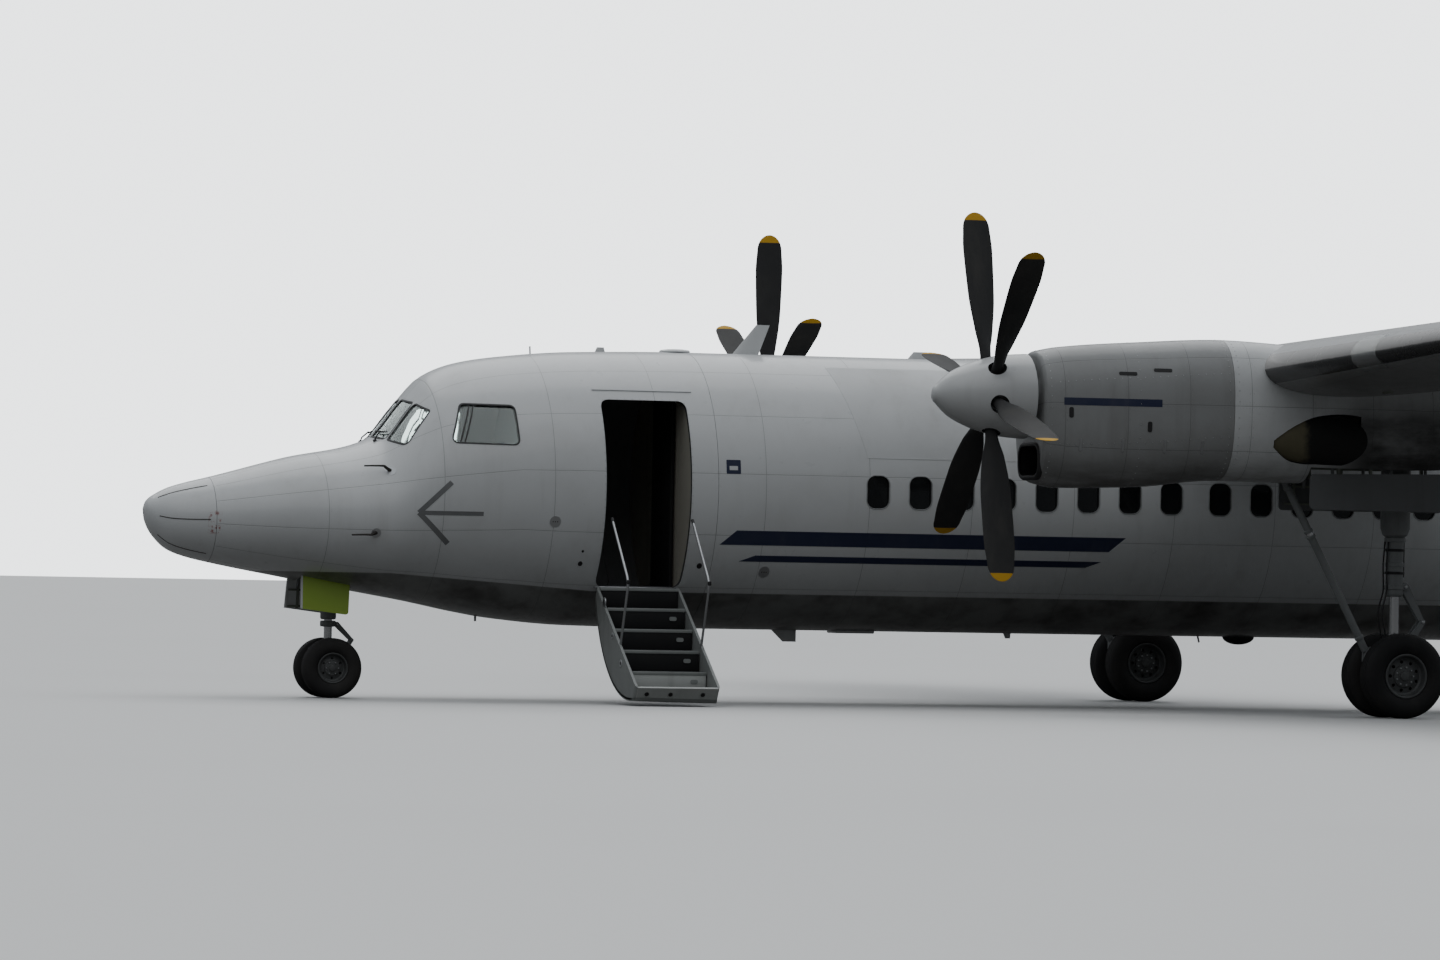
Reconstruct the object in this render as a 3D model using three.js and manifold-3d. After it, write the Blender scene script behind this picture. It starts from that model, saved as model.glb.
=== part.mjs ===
// Twin-engine turboprop airliner standing on its landing gear with the passenger stairs down.
// Lengths are in millimetres. While building, X is the station aft of the nose wheel axle,
// Y is to starboard and Z is up from the ground. The last step moves X to the middle of the length.
import * as THREE from 'three';
import { mergeVertices } from 'three/addons/utils/BufferGeometryUtils.js';
import Module from 'manifold-3d';

const wasm = await Module();
wasm.setup();

// Driving dimensions
const NOSE_TIP = -1860;
const TAIL_TIP = 23390;
const MID_STATION = (NOSE_TIP + TAIL_TIP) / 2;
const SEAT_GAP = 0.3;
const MOVING_GAP = 8;
const PIN_RADIUS = 14;
const PIN_HOLE_RADIUS = 14.8;
const PIN_SIDES = 12;
const PIN_REACH = 45;

const SKIN = 45;
const TUBE_WALL = 55;
const REAR_WALL = 32;
const TAIL_WALL = 22;
const HULL_POINTS = 32;
const RADOME_JOINT = -1230;
const CABIN_FRONT = 3550;
const CABIN_REAR = 16000;
const FLIGHT_FLOOR = 1250;
const DOOR_SILL = 1130;
const FLIGHT_ROOM = [420, 1950];
const VESTIBULE = [2050, 3450];
const DOORWAY_DEPTH = [800, 1500];
const NOSE_BAY = { front: -345, rear: 160, half: 270, top: 1650 };

const WING_ROOT_CHORD = 3464;
const WING_TIP_CHORD = 1400;
const WING_ROOT_THICKNESS = 727;
const WING_TIP_THICKNESS = 210;
const WING_ROOT_EDGE = 8000;
const WING_TIP_EDGE = 8520;
const HALF_SPAN = 14500;
const WING_ROOT_HEIGHT = 3137;
const WING_DIHEDRAL = THREE.MathUtils.degToRad(2.5);
const WING_CAMBER = 0.02;
const WING_JOINT = 1500;
const FLAP_CHORD_FRACTION = 0.74;
const INNER_FLAP = { span: [1560, 2950], drop: 250, arms: [0.25, 0.75] };
const OUTER_FLAP = { span: [4260, 9300], drop: 225, arms: [0.2, 0.8] };
const AILERON_SPAN = [9420, 14050];
const ELEVATOR_SPAN = [700, 4640];
const ELEVATOR_CHORD_FRACTION = 0.64;
const AILERON_CHORD_FRACTION = 0.76;
const AILERON_SWING = THREE.MathUtils.degToRad(20);
const TAIL_SWING = THREE.MathUtils.degToRad(20);
const RUDDER_SWING = THREE.MathUtils.degToRad(25);

const ENGINE_SIDE = 3600;
const PROP_PLANE = 5530;
const PROP_HEIGHT = 3011;
const PROP_RADIUS = 1830;
const BLADES = 6;
const BLADE_POINTS = 6;
const COWL_FRONT = 5950;
const FIREWALL = 7830;
const HUB = { front: 5390, rear: 5930, radius: 170 };
const SHAFT_RADIUS = 60;

const MAIN_AXLE = 9700;
const MAIN_TYRE_RADIUS = 410;
const NOSE_TYRE_RADIUS = 292;
const MAIN_BAY = [8660, 10700];
const MAIN_BAY_HALF = 400;
const MAIN_LEG_TOP = 2849.7;
const NOSE_LEG_TOP = 1649.7;
const STAY_RADIUS = 45;

const DOOR_FRONT = 2420;
const DOOR_REAR = 3280;
const DOOR_TOP = 2950;
const STAIR_HINGE = [-942, 1124];
const STAIR_OPEN = THREE.MathUtils.degToRad(122.9);
const SERVICE_DOOR = { front: 2450, rear: 3100, top: 2450 };

// Solids from geometry and back
const volumeOf = (geometry) => {
  const at = geometry.attributes.position;
  const index = geometry.index;
  const [a, b, c] = [new THREE.Vector3(), new THREE.Vector3(), new THREE.Vector3()];
  let total = 0;
  for (let i = 0; i < index.count; i += 3) {
    a.fromBufferAttribute(at, index.getX(i));
    b.fromBufferAttribute(at, index.getX(i + 1));
    c.fromBufferAttribute(at, index.getX(i + 2));
    total += a.dot(b.cross(c));
  }
  return total / 6;
};

const flipped = (geometry) => {
  const index = geometry.index;
  for (let i = 0; i < index.count; i += 3) {
    const first = index.getX(i);
    index.setX(i, index.getX(i + 2));
    index.setX(i + 2, first);
  }
  return geometry;
};

const closed = (geometry) => {
  const bare = geometry.clone();
  bare.deleteAttribute('normal');
  bare.deleteAttribute('uv');
  const merged = mergeVertices(bare, 1e-3);
  return volumeOf(merged) < 0 ? flipped(merged) : merged;
};

const solid = (geometry) => {
  const merged = closed(geometry);
  return new wasm.Manifold(new wasm.Mesh({
    numProp: 3,
    vertProperties: new Float32Array(merged.attributes.position.array),
    triVerts: new Uint32Array(merged.index.array),
  }));
};

const surface = (body) => {
  const mesh = body.getMesh();
  const geometry = new THREE.BufferGeometry();
  const [points, corners] = [new Float32Array(mesh.vertProperties), new Uint32Array(mesh.triVerts)];
  geometry.setAttribute('position', new THREE.BufferAttribute(points, 3));
  geometry.setIndex(new THREE.BufferAttribute(corners, 1));
  return geometry;
};

const joined = (...bodies) => bodies.reduce((sum, next) => sum.add(next));
const cutBy = (body, ...cutters) => cutters.reduce((left, next) => left.subtract(next), body);
const moved = (body, matrix) => solid(surface(body).applyMatrix4(matrix));
const mirrored = (body) => moved(body, new THREE.Matrix4().makeScale(1, -1, 1));

// Simple shapes
const box = (x0, x1, y0, y1, z0, z1) => {
  const geometry = new THREE.BoxGeometry(x1 - x0, y1 - y0, z1 - z0);
  return solid(geometry.translate((x0 + x1) / 2, (y0 + y1) / 2, (z0 + z1) / 2));
};

const rod = (start, end, radius, sides = 16, endRadius = radius) => {
  const from = new THREE.Vector3(...start);
  const along = new THREE.Vector3(...end).sub(from);
  const upward = new THREE.Vector3(0, 1, 0);
  const turn = new THREE.Quaternion().setFromUnitVectors(upward, along.clone().normalize());
  const middle = from.addScaledVector(along, 0.5);
  return solid(
    new THREE.CylinderGeometry(endRadius, radius, along.length(), sides)
      .applyQuaternion(turn).translate(middle.x, middle.y, middle.z),
  );
};

const socket = (start, end, radius, sides = 16) => {
  const [from, to] = [new THREE.Vector3(...start), new THREE.Vector3(...end)];
  const reach = to.clone().sub(from).setLength(SEAT_GAP);
  return rod(from.sub(reach).toArray(), to.add(reach).toArray(), radius + SEAT_GAP, sides);
};

// Profile rows are [radius, distance along the axis]; the axis is X or Y
const revolved = (profile, sides, axis, centre) => {
  const points = profile.map(([radius, along]) => new THREE.Vector2(radius, along));
  const geometry = new THREE.LatheGeometry(points, sides);
  if (axis === 'x') {
    geometry.rotateZ(-Math.PI / 2);
  }
  return solid(geometry.translate(...centre));
};

const prism = (outline, normal, from, to) => {
  const shape = new THREE.Shape(outline.map(([u, v]) => new THREE.Vector2(u, v)));
  const options = { depth: to - from, bevelEnabled: false, curveSegments: 1 };
  const geometry = new THREE.ExtrudeGeometry(shape, options);
  const basis = {
    x: [[0, 1, 0], [0, 0, 1], [1, 0, 0]],
    y: [[1, 0, 0], [0, 0, 1], [0, 1, 0]],
    z: [[1, 0, 0], [0, 1, 0], [0, 0, 1]],
  }[normal].map((row) => new THREE.Vector3(...row));
  const shift = basis[2].clone().multiplyScalar(from);
  return solid(geometry.applyMatrix4(new THREE.Matrix4().makeBasis(...basis).setPosition(shift)));
};

const loft = (rings) => {
  const count = rings[0].length;
  const vertices = rings.flat(2);
  const triangles = [];
  for (let r = 0; r < rings.length - 1; r += 1) {
    for (let i = 0; i < count; i += 1) {
      const [a, b] = [r * count + i, r * count + ((i + 1) % count)];
      triangles.push(a, b, a + count, b, b + count, a + count);
    }
  }
  for (const [ring, side] of [[0, 1], [rings.length - 1, -1]]) {
    const points = rings[ring];
    const centre = [0, 1, 2].map((k) => points.reduce((sum, p) => sum + p[k], 0) / count);
    const hub = vertices.length / 3;
    vertices.push(...centre);
    for (let i = 0; i < count; i += 1) {
      const [a, b] = [ring * count + i, ring * count + ((i + 1) % count)];
      triangles.push(hub, ...(side > 0 ? [b, a] : [a, b]));
    }
  }
  const geometry = new THREE.BufferGeometry();
  geometry.setAttribute('position', new THREE.BufferAttribute(new Float32Array(vertices), 3));
  geometry.setIndex(triangles);
  return solid(geometry);
};

// Fuselage sections: crown, keel and half breadth at each station
const HULL = [
  { x: NOSE_TIP, crown: 1815, keel: 1785, half: 15 },
  { x: -1830, crown: 1885, keel: 1665, half: 125 },
  { x: -1740, crown: 1955, keel: 1520, half: 235 },
  { x: -1610, crown: 2020, keel: 1410, half: 330 },
  { x: -1430, crown: 2075, keel: 1345, half: 410 },
  { x: RADOME_JOINT, crown: 2125, keel: 1300, half: 480 },
  { x: -480, crown: 2330, keel: 1165, half: 760 },
  { x: 330, crown: 2520, keel: 1025, half: 1000 },
  { x: 690, crown: 2930, keel: 965, half: 1120 },
  { x: 900, crown: 3160, keel: 925, half: 1180 },
  { x: 1200, crown: 3290, keel: 865, half: 1245 },
  { x: 1610, crown: 3365, keel: 800, half: 1300 },
  { x: 2400, crown: 3435, keel: 740, half: 1343 },
  { x: CABIN_FRONT, crown: 3460, keel: 728, half: 1350 },
  { x: CABIN_REAR, crown: 3460, keel: 735, half: 1350 },
  { x: 17500, crown: 3455, keel: 960, half: 1295 },
  { x: 19000, crown: 3430, keel: 1390, half: 1120 },
  { x: 20500, crown: 3390, keel: 1865, half: 870 },
  { x: 22000, crown: 3330, keel: 2330, half: 570 },
  { x: 23000, crown: 3240, keel: 2680, half: 310 },
  { x: TAIL_TIP, crown: 3090, keel: 2900, half: 90 },
];

const hullAt = (x) => {
  const next = HULL.findIndex((row) => row.x >= x);
  const [low, high] = [HULL[Math.max(next - 1, 0)], HULL[next]];
  const share = high.x === low.x ? 0 : (x - low.x) / (high.x - low.x);
  const mix = (key) => THREE.MathUtils.lerp(low[key], high[key], share);
  return { x, crown: mix('crown'), keel: mix('keel'), half: mix('half') };
};

const ovalRing = ({ x, crown, keel, half, side = 0 }, inset, power, points) => {
  const middle = (crown + keel) / 2;
  const rise = (crown - keel) / 2 - inset;
  const bend = (value) => Math.sign(value) * Math.abs(value) ** (2 / power);
  return Array.from({ length: points }, (_, i) => {
    const angle = (2 * Math.PI * (i + 0.5)) / points;
    return [x, side + (half - inset) * bend(Math.cos(angle)), middle + rise * bend(Math.sin(angle))];
  });
};

const hull = (from, to, inset = 0) => {
  const stations = [from, ...HULL.map((row) => row.x).filter((x) => x > from && x < to), to];
  return loft(stations.map((x) => ovalRing(hullAt(x), inset, 2, HULL_POINTS)));
};

const grownHull = hull(NOSE_TIP, TAIL_TIP, -SEAT_GAP);

// Lifting surfaces: a ring of the wing section at one span position
const CHORD_STEPS = [1, 0.86, 0.7, 0.52, 0.36, 0.22, 0.11, 0.04, 0.01, 0];
const halfThickness = (share) => 5 * (
  0.2969 * Math.sqrt(share) - 0.126 * share - 0.3516 * share ** 2 + 0.2843 * share ** 3 - 0.1036 * share ** 4
);
const camberLine = (share, camber) => 4 * camber * share * (1 - share);

const EDGE_HALF = 5;
const sectionRing = ({ edge, chord, thick, camber = 0, blunt = EDGE_HALF }, place) => {
  const upper = CHORD_STEPS.map((share) => [share, 1]);
  const lower = [...CHORD_STEPS].reverse().slice(1).map((share) => [share, -1]);
  return [...upper, ...lower].map(([share, sign]) => {
    const depth = halfThickness(share) * thick + blunt * share;
    return place(edge + share * chord, camberLine(share, camber) * chord + sign * depth);
  });
};

// A ring a wall's thickness inside the section, ahead of the hinge line
const CORE_STEPS = [0.1, 0.22, 0.4, 0.58];
const coreRing = ({ edge, chord, thick }, wall, place) => {
  const corner = (share, sign) => place(edge + share * chord, sign * (halfThickness(share) * thick - wall));
  const upper = CORE_STEPS.map((share) => corner(share, 1));
  const lower = CORE_STEPS.map((share) => corner(share, -1)).reverse();
  return [...upper, ...lower];
};

const wingAt = (y) => {
  const share = Math.abs(y) / HALF_SPAN;
  return {
    y,
    edge: THREE.MathUtils.lerp(WING_ROOT_EDGE, WING_TIP_EDGE, share),
    chord: THREE.MathUtils.lerp(WING_ROOT_CHORD, WING_TIP_CHORD, share),
    thick: THREE.MathUtils.lerp(WING_ROOT_THICKNESS, WING_TIP_THICKNESS, share),
    height: WING_ROOT_HEIGHT + Math.abs(y) * Math.tan(WING_DIHEDRAL),
    camber: WING_CAMBER,
  };
};

const wingRing = (y) => {
  const row = wingAt(y);
  return sectionRing(row, (x, z) => [x, y, row.height + z]);
};

const grownWingRing = (y) => {
  const row = wingAt(y);
  const [edge, chord] = [row.edge - SEAT_GAP, row.chord + 2 * SEAT_GAP];
  const wide = { ...row, edge, chord, blunt: EDGE_HALF + SEAT_GAP };
  return sectionRing(wide, (x, z) => [x, y, row.height + z + Math.sign(z - 1) * SEAT_GAP]);
};

const hingePoint = (row, share) => ({
  x: row.edge + share * row.chord,
  z: row.height + camberLine(share, row.camber) * row.chord,
  half: halfThickness(share) * row.thick + EDGE_HALF * share,
});

// Along a hinge line: its own X runs along the line, Y aft and, on the wing, Z down
const hingeFrame = (start, end) => {
  const from = new THREE.Vector3(...start);
  const along = new THREE.Vector3(...end).sub(from);
  const u = along.clone().normalize();
  const v = new THREE.Vector3(1, 0, 0).addScaledVector(u, -u.x).normalize();
  const matrix = new THREE.Matrix4().makeBasis(u, v, u.clone().cross(v)).setPosition(from);
  return { length: along.length(), matrix };
};

// A block aft of a hinge line, square to it: its ends stand in by trim and its face stands back by front
const BLOCK_REACH = 3000;
const BLOCK_HALF = 1200;
const aftBlock = (start, end, trim, front) => {
  const { length, matrix } = hingeFrame(start, end);
  return moved(box(trim, length - trim, front, BLOCK_REACH, -BLOCK_HALF, BLOCK_HALF), matrix);
};

// Splits a hinged surface off a lifting surface: it keeps a round nose about the hinge line,
// and a pin that runs along the line turns in the fixed part beyond both ends
const NOSE_ROUND_SIDES = 16;
const hinged = (whole, start, end, startRadius, endRadius, swing) => {
  const { length, matrix } = hingeFrame(start, end);
  const nose = (trim, grow) => {
    const spread = grow ? Math.cos(swing) : 1;
    const at = (share) => THREE.MathUtils.lerp(startRadius, endRadius, share) / spread + grow;
    const [near, far] = [trim / length, 1 - trim / length];
    return moved(rod([trim, 0, 0], [length - trim, 0, 0], at(near), NOSE_ROUND_SIDES, at(far)), matrix);
  };
  const pin = (radius, reach) => (
    moved(rod([-reach, 0, 0], [length + reach, 0, 0], radius, PIN_SIDES), matrix)
  );
  const hole = pin(PIN_HOLE_RADIUS, PIN_REACH + SEAT_GAP);
  return {
    fixed: cutBy(whole, aftBlock(start, end, 0, 0), nose(0, MOVING_GAP), hole),
    moving: joined(
      whole.intersect(aftBlock(start, end, MOVING_GAP, 0)),
      nose(MOVING_GAP, 0),
      pin(PIN_RADIUS, PIN_REACH),
    ),
  };
};

// A flap drops about a hinge below the wing: brackets reach down from the wing beside arms on the flap.
// The outlines are distances aft of the hinge line and below it
const BRACKET_WIDTH = 26;
const ARM_WIDTH = 20;
const bracketOutline = (drop) => [
  [-430, 130], [-40, 110],
  [-18, drop - 24], [20, drop - 16], [20, drop + 16], [-10, drop + 26], [-300, drop + 5],
];
const armOutline = (drop) => [
  [40, 90], [260, 60], [190, drop - 70], [24, drop + 18], [-16, drop + 18], [-16, drop - 18], [20, drop - 60],
];
const flap = (whole, [start, end], { drop, arms }) => {
  const { length, matrix } = hingeFrame(start, end);
  const plates = (outline, offset, width) => arms.map((share) => moved(
    prism(outline, 'x', share * length + offset, share * length + offset + width), matrix,
  ));
  return {
    fixed: joined(
      whole.subtract(aftBlock(start, end, 0, 0)),
      ...plates(bracketOutline(drop), 0, BRACKET_WIDTH),
    ),
    moving: joined(
      whole.intersect(aftBlock(start, end, MOVING_GAP, MOVING_GAP)),
      ...plates(armOutline(drop), BRACKET_WIDTH + SEAT_GAP, ARM_WIDTH),
    ),
  };
};

const parts = [];
const finish = {
  white: ['white_paint', 0xe4e6e6, 0.35, 0],
  wing: ['wing_paint', 0xc9cccd, 0.4, 0],
  grey: ['grey_paint', 0x9aa0a4, 0.45, 0],
  metal: ['bare_metal', 0xb4b7ba, 0.35, 0.9],
  steel: ['steel', 0x8d9194, 0.35, 0.9],
  dark: ['dark_metal', 0x2c2d2f, 0.55, 0.4],
  blade: ['blade_black', 0x17181a, 0.4, 0],
  tyre: ['tyre', 0x1b1b1c, 0.85, 0],
  glass: ['glass', 0x2b3840, 0.08, 0],
  inside: ['inside_trim', 0x5c5e60, 0.8, 0],
  lime: ['lime_paint', 0xb8cf3a, 0.5, 0],
  cast: ['engine_cast', 0x55585a, 0.6, 0.5],
};
const add = (name, body, paint) => {
  const [slot, color, roughness, metalness] = finish[paint];
  const material = new THREE.MeshStandardMaterial({ color, roughness, metalness });
  material.name = slot;
  const mesh = new THREE.Mesh(surface(body), material);
  mesh.name = name;
  parts.push(mesh);
};
const addBothSides = (name, body, paint) => {
  add(`${name}_right`, body, paint);
  add(`${name}_left`, mirrored(body), paint);
};

// Nose and flight deck
add('radome', hull(NOSE_TIP, RADOME_JOINT - SEAT_GAP), 'white');

// Flight deck windows: the front ones are outlines in front view, the side one is an outline in side view
const FRONT_WINDOWS = [
  [[35, 2560], [430, 2530], [405, 2880], [35, 2915]],
  [[475, 2525], [800, 2470], [745, 2800], [450, 2872]],
];
const SIDE_WINDOW = [[940, 2500], [1570, 2490], [1560, 2860], [1060, 2870]];
const FRONT_WINDOW_REACH = [0, 1200];
const SIDE_WINDOW_REACH = [800, 1400];
const windowCuts = [
  ...FRONT_WINDOWS.map((outline) => prism(outline, 'x', ...FRONT_WINDOW_REACH)),
  prism(SIDE_WINDOW, 'y', ...SIDE_WINDOW_REACH),
].flatMap((cut) => [cut, mirrored(cut)]);

const WIDE = 1500;
const TALL = 3500;
const frontHull = (inset) => hull(RADOME_JOINT, CABIN_FRONT - SEAT_GAP, inset);
const innerHull = frontHull(SKIN);
const room = ([front, rear], floor) => innerHull.intersect(box(front, rear, -WIDE, WIDE, floor, TALL));
const [doorwayNear, doorwayFar] = DOORWAY_DEPTH;
const stairOpening = box(DOOR_FRONT, DOOR_REAR, -doorwayFar, -doorwayNear, DOOR_SILL, DOOR_TOP);
const serviceOpening = box(
  SERVICE_DOOR.front, SERVICE_DOOR.rear, doorwayNear, doorwayFar, DOOR_SILL, SERVICE_DOOR.top,
);
const noseBay = box(NOSE_BAY.front, NOSE_BAY.rear, -NOSE_BAY.half, NOSE_BAY.half, 0, NOSE_BAY.top);
const forwardHull = frontHull(0);

// A jacking pad is a short round boss with a flat foot
const PAD_SIDES = 12;
const NOSE_PAD = { x: 1220, y: 0, foot: 845, top: 1000, radius: 45 };
const pad = ({ x, y, foot, top, radius }) => rod([x, y, foot], [x, y, top], radius, PAD_SIDES);

const HINGE_ROD_RADIUS = 9;
const HINGE_ROD_SIDES = 12;
const hingeGroove = rod(
  [DOOR_FRONT, ...STAIR_HINGE], [DOOR_REAR, ...STAIR_HINGE], HINGE_ROD_RADIUS + 0.7, HINGE_ROD_SIDES,
);
add('forward_fuselage', cutBy(
  joined(forwardHull, pad(NOSE_PAD)),
  room(FLIGHT_ROOM, FLIGHT_FLOOR),
  room(VESTIBULE, DOOR_SILL),
  stairOpening,
  serviceOpening,
  noseBay,
  ...windowCuts,
  hingeGroove,
), 'white');

const GLASS_THICKNESS = 11.7;
const GLASS_ZONE = { front: 421, rear: 1640, low: 2430, high: 2960 };
add('cockpit_glazing', cutBy(
  frontHull(SKIN + SEAT_GAP).intersect(
    box(GLASS_ZONE.front, GLASS_ZONE.rear, -WIDE, WIDE, GLASS_ZONE.low, GLASS_ZONE.high),
  ),
  frontHull(SKIN + SEAT_GAP + GLASS_THICKNESS),
), 'glass');

// Flight deck furniture: each row is front, rear, half width, low and high
const DECK_TOP = 1280;
const DECK = [520, 1900, 640, FLIGHT_FLOOR + SEAT_GAP, DECK_TOP + 5];
const PANEL = [560, 700, 600, DECK_TOP, 2280];
const PEDESTAL = [640, 860, 150, DECK_TOP, 1950];
const SEAT_SIDE = 420;
const SEAT = [
  [1180, 1500, 150, DECK_TOP, 1620],
  [1120, 1640, 220, 1600, 1720],
  [1560, 1680, 210, 1700, 2330],
  [1580, 1670, 120, 2320, 2540],
];
const block = ([front, rear, half, low, high], side = 0) => (
  box(front, rear, side - half, side + half, low, high)
);
add('flight_deck', joined(
  ...[DECK, PANEL, PEDESTAL].map((row) => block(row)),
  ...[-SEAT_SIDE, SEAT_SIDE].flatMap((side) => SEAT.map((row) => block(row, side))),
), 'inside');

// Cabin, wing and tail
const wingCentre = loft([-WING_JOINT + SEAT_GAP, 0, WING_JOINT - SEAT_GAP].map(wingRing));
const grownCentre = loft([-WING_JOINT, 0, WING_JOINT].map(grownWingRing));
const OVERRUN = 10;
const REAR_ROOM_END = 22900;
add('centre_fuselage', cutBy(
  hull(CABIN_FRONT, CABIN_REAR - SEAT_GAP),
  hull(CABIN_FRONT - OVERRUN, CABIN_REAR + OVERRUN, TUBE_WALL),
  grownCentre,
), 'white');
add('rear_fuselage', cutBy(
  hull(CABIN_REAR, TAIL_TIP),
  hull(CABIN_REAR - OVERRUN, REAR_ROOM_END, REAR_WALL),
), 'white');
add('wing_centre', wingCentre, 'wing');

// The last quarter metre of the wing thins and rounds off
const TIP_START = 14250;
const WING_TIP = { setBack: 180, shortened: 300, thick: 80 };
const wingTipRow = () => {
  const row = wingAt(HALF_SPAN);
  const [edge, chord] = [row.edge + WING_TIP.setBack, row.chord - WING_TIP.shortened];
  return { ...row, edge, chord, thick: WING_TIP.thick };
};
const wingTipRing = ({ height, ...row }) => sectionRing(row, (x, z) => [x, HALF_SPAN, height + z]);
const wingBlade = loft([wingRing(WING_JOINT), wingRing(TIP_START), wingTipRing(wingTipRow())]);
const WING_PAD = { x: 9150, y: 4700, foot: 3095, top: 3300, radius: 50 };
const spanLine = (span, share) => span.map((y) => {
  const point = hingePoint(wingAt(y), share);
  return [point.x, y, point.z];
});
const innerFlap = flap(wingBlade, spanLine(INNER_FLAP.span, FLAP_CHORD_FRACTION), INNER_FLAP);
const outerFlap = flap(innerFlap.fixed, spanLine(OUTER_FLAP.span, FLAP_CHORD_FRACTION), OUTER_FLAP);
const aileron = hinged(
  outerFlap.fixed,
  ...spanLine(AILERON_SPAN, AILERON_CHORD_FRACTION),
  ...AILERON_SPAN.map((y) => hingePoint(wingAt(y), AILERON_CHORD_FRACTION).half),
  AILERON_SWING,
);
addBothSides('wing', joined(aileron.fixed, pad(WING_PAD)), 'wing');
addBothSides('flap_inner', innerFlap.moving, 'wing');
addBothSides('flap_outer', outerFlap.moving, 'wing');
addBothSides('aileron', aileron.moving, 'wing');

// Fin rows are heights, tailplane rows are span positions
const FIN = [
  { z: 2900, edge: 18390, chord: 4560, thick: 500 },
  { z: 3300, edge: 18600, chord: 4320, thick: 475 },
  { z: 8150, edge: 21210, chord: 1560, thick: 160 },
  { z: 8320, edge: 21480, chord: 1180, thick: 60 },
];
const finRing = (row) => sectionRing(row, (x, y) => [x, y, row.z]);
const DORSAL_HALF = 35;
const DORSAL = [[15900, 3300], [15900, 3470], [18550, 3950], [19150, 4450], [19300, 4450], [19300, 3300]];
const RUDDER_LINE = [{ x: 21470, z: 3920 }, { x: 22235, z: 8080 }];
const finAt = (z) => {
  const share = (z - FIN[1].z) / (FIN[2].z - FIN[1].z);
  const mix = (key) => THREE.MathUtils.lerp(FIN[1][key], FIN[2][key], share);
  return { edge: mix('edge'), chord: mix('chord'), thick: mix('thick') };
};
const finHalfAt = (z, x) => {
  const row = finAt(z);
  const share = (x - row.edge) / row.chord;
  return halfThickness(share) * row.thick + EDGE_HALF * share;
};
const finWhole = loft(FIN.map(finRing));
const rudder = hinged(
  finWhole,
  ...RUDDER_LINE.map(({ x, z }) => [x, 0, z]),
  ...RUDDER_LINE.map(({ x, z }) => finHalfAt(z, x)),
  RUDDER_SWING,
);
const FIN_CORE = [2850, 7600];
const finCore = loft(FIN_CORE.map((z) => coreRing(finAt(z), TAIL_WALL, (x, y) => [x, y, z])));
const dorsal = prism(DORSAL, 'y', -DORSAL_HALF, DORSAL_HALF);
add('fin', cutBy(joined(rudder.fixed, dorsal), grownHull, finCore), 'white');
add('rudder', rudder.moving, 'white');

const TAILPLANE = [
  { y: 0, edge: 20330, chord: 2450, thick: 295, height: 3600 },
  { y: 4780, edge: 21080, chord: 1300, thick: 145, height: 4100 },
  { y: 4875, edge: 21250, chord: 1000, thick: 50, height: 4110 },
];
const tailRing = (row) => sectionRing(row, (x, z) => [x, row.y, row.height + z]);
const tailAt = (y) => {
  const share = y / TAILPLANE[1].y;
  const mix = (key) => THREE.MathUtils.lerp(TAILPLANE[0][key], TAILPLANE[1][key], share);
  return { edge: mix('edge'), chord: mix('chord'), thick: mix('thick'), height: mix('height'), camber: 0 };
};
const elevatorLine = ELEVATOR_SPAN.map((y) => hingePoint(tailAt(y), ELEVATOR_CHORD_FRACTION));
const elevator = hinged(
  loft(TAILPLANE.map(tailRing)),
  ...elevatorLine.map((point, i) => [point.x, ELEVATOR_SPAN[i], point.z]),
  ...elevatorLine.map((point) => point.half),
  TAIL_SWING,
);
const grownFin = loft(FIN.map((row) => sectionRing(
  { ...row, edge: row.edge - SEAT_GAP, chord: row.chord + 2 * SEAT_GAP },
  (x, y) => [x, y + Math.sign(y) * SEAT_GAP, row.z],
)));
const TAIL_CORE = [-20, 4400];
const tailCore = loft(TAIL_CORE.map((y) => (
  coreRing(tailAt(y), TAIL_WALL, (x, z) => [x, y, tailAt(y).height + z])
)));
addBothSides('tailplane', cutBy(elevator.fixed, grownFin, grownHull, tailCore), 'white');
addBothSides('elevator', elevator.moving, 'white');

// Engines and their nacelles, starboard side first
const NACELLE = [
  { x: COWL_FRONT, crown: 3440, keel: 2200, half: 440 },
  { x: 6200, crown: 3490, keel: 2150, half: 475 },
  { x: 6970, crown: 3555, keel: 2170, half: 505 },
  { x: FIREWALL, crown: 3600, keel: 2250, half: 520 },
  { x: 8700, crown: 3560, keel: 2240, half: 525 },
  { x: 9800, crown: 3500, keel: 2225, half: 510 },
  { x: 10900, crown: 3400, keel: 2320, half: 430 },
  { x: 11700, crown: 3290, keel: 2720, half: 260 },
  { x: 12150, crown: 3200, keel: 2980, half: 80 },
].map((row) => ({ ...row, side: ENGINE_SIDE }));
const NACELLE_POINTS = 20;
const NACELLE_POWER = 2.6;
const nacelleLoft = (rows, inset) => (
  loft(rows.map((row) => ovalRing(row, inset, NACELLE_POWER, NACELLE_POINTS)))
);
const grownWing = loft([WING_JOINT, TIP_START].map(grownWingRing));
const rearRows = NACELLE.filter((row) => row.x >= FIREWALL);
const grownNacelle = nacelleLoft(rearRows, -SEAT_GAP);
const EXHAUST = [
  { x: 8250, crown: 2790, keel: 2520, half: 95, side: ENGINE_SIDE + 360 },
  { x: 8600, crown: 2880, keel: 2430, half: 125, side: ENGINE_SIDE + 440 },
  { x: 9000, crown: 2890, keel: 2410, half: 130, side: ENGINE_SIDE + 560 },
];
const EXHAUST_POINTS = 20;
const EXHAUST_WALL = 20;
const EXHAUST_FLOOR = 8300;
const exhaustLoft = (inset, rows = EXHAUST) => (
  loft(rows.map((row) => ovalRing(row, inset, 2, EXHAUST_POINTS)))
);
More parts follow.
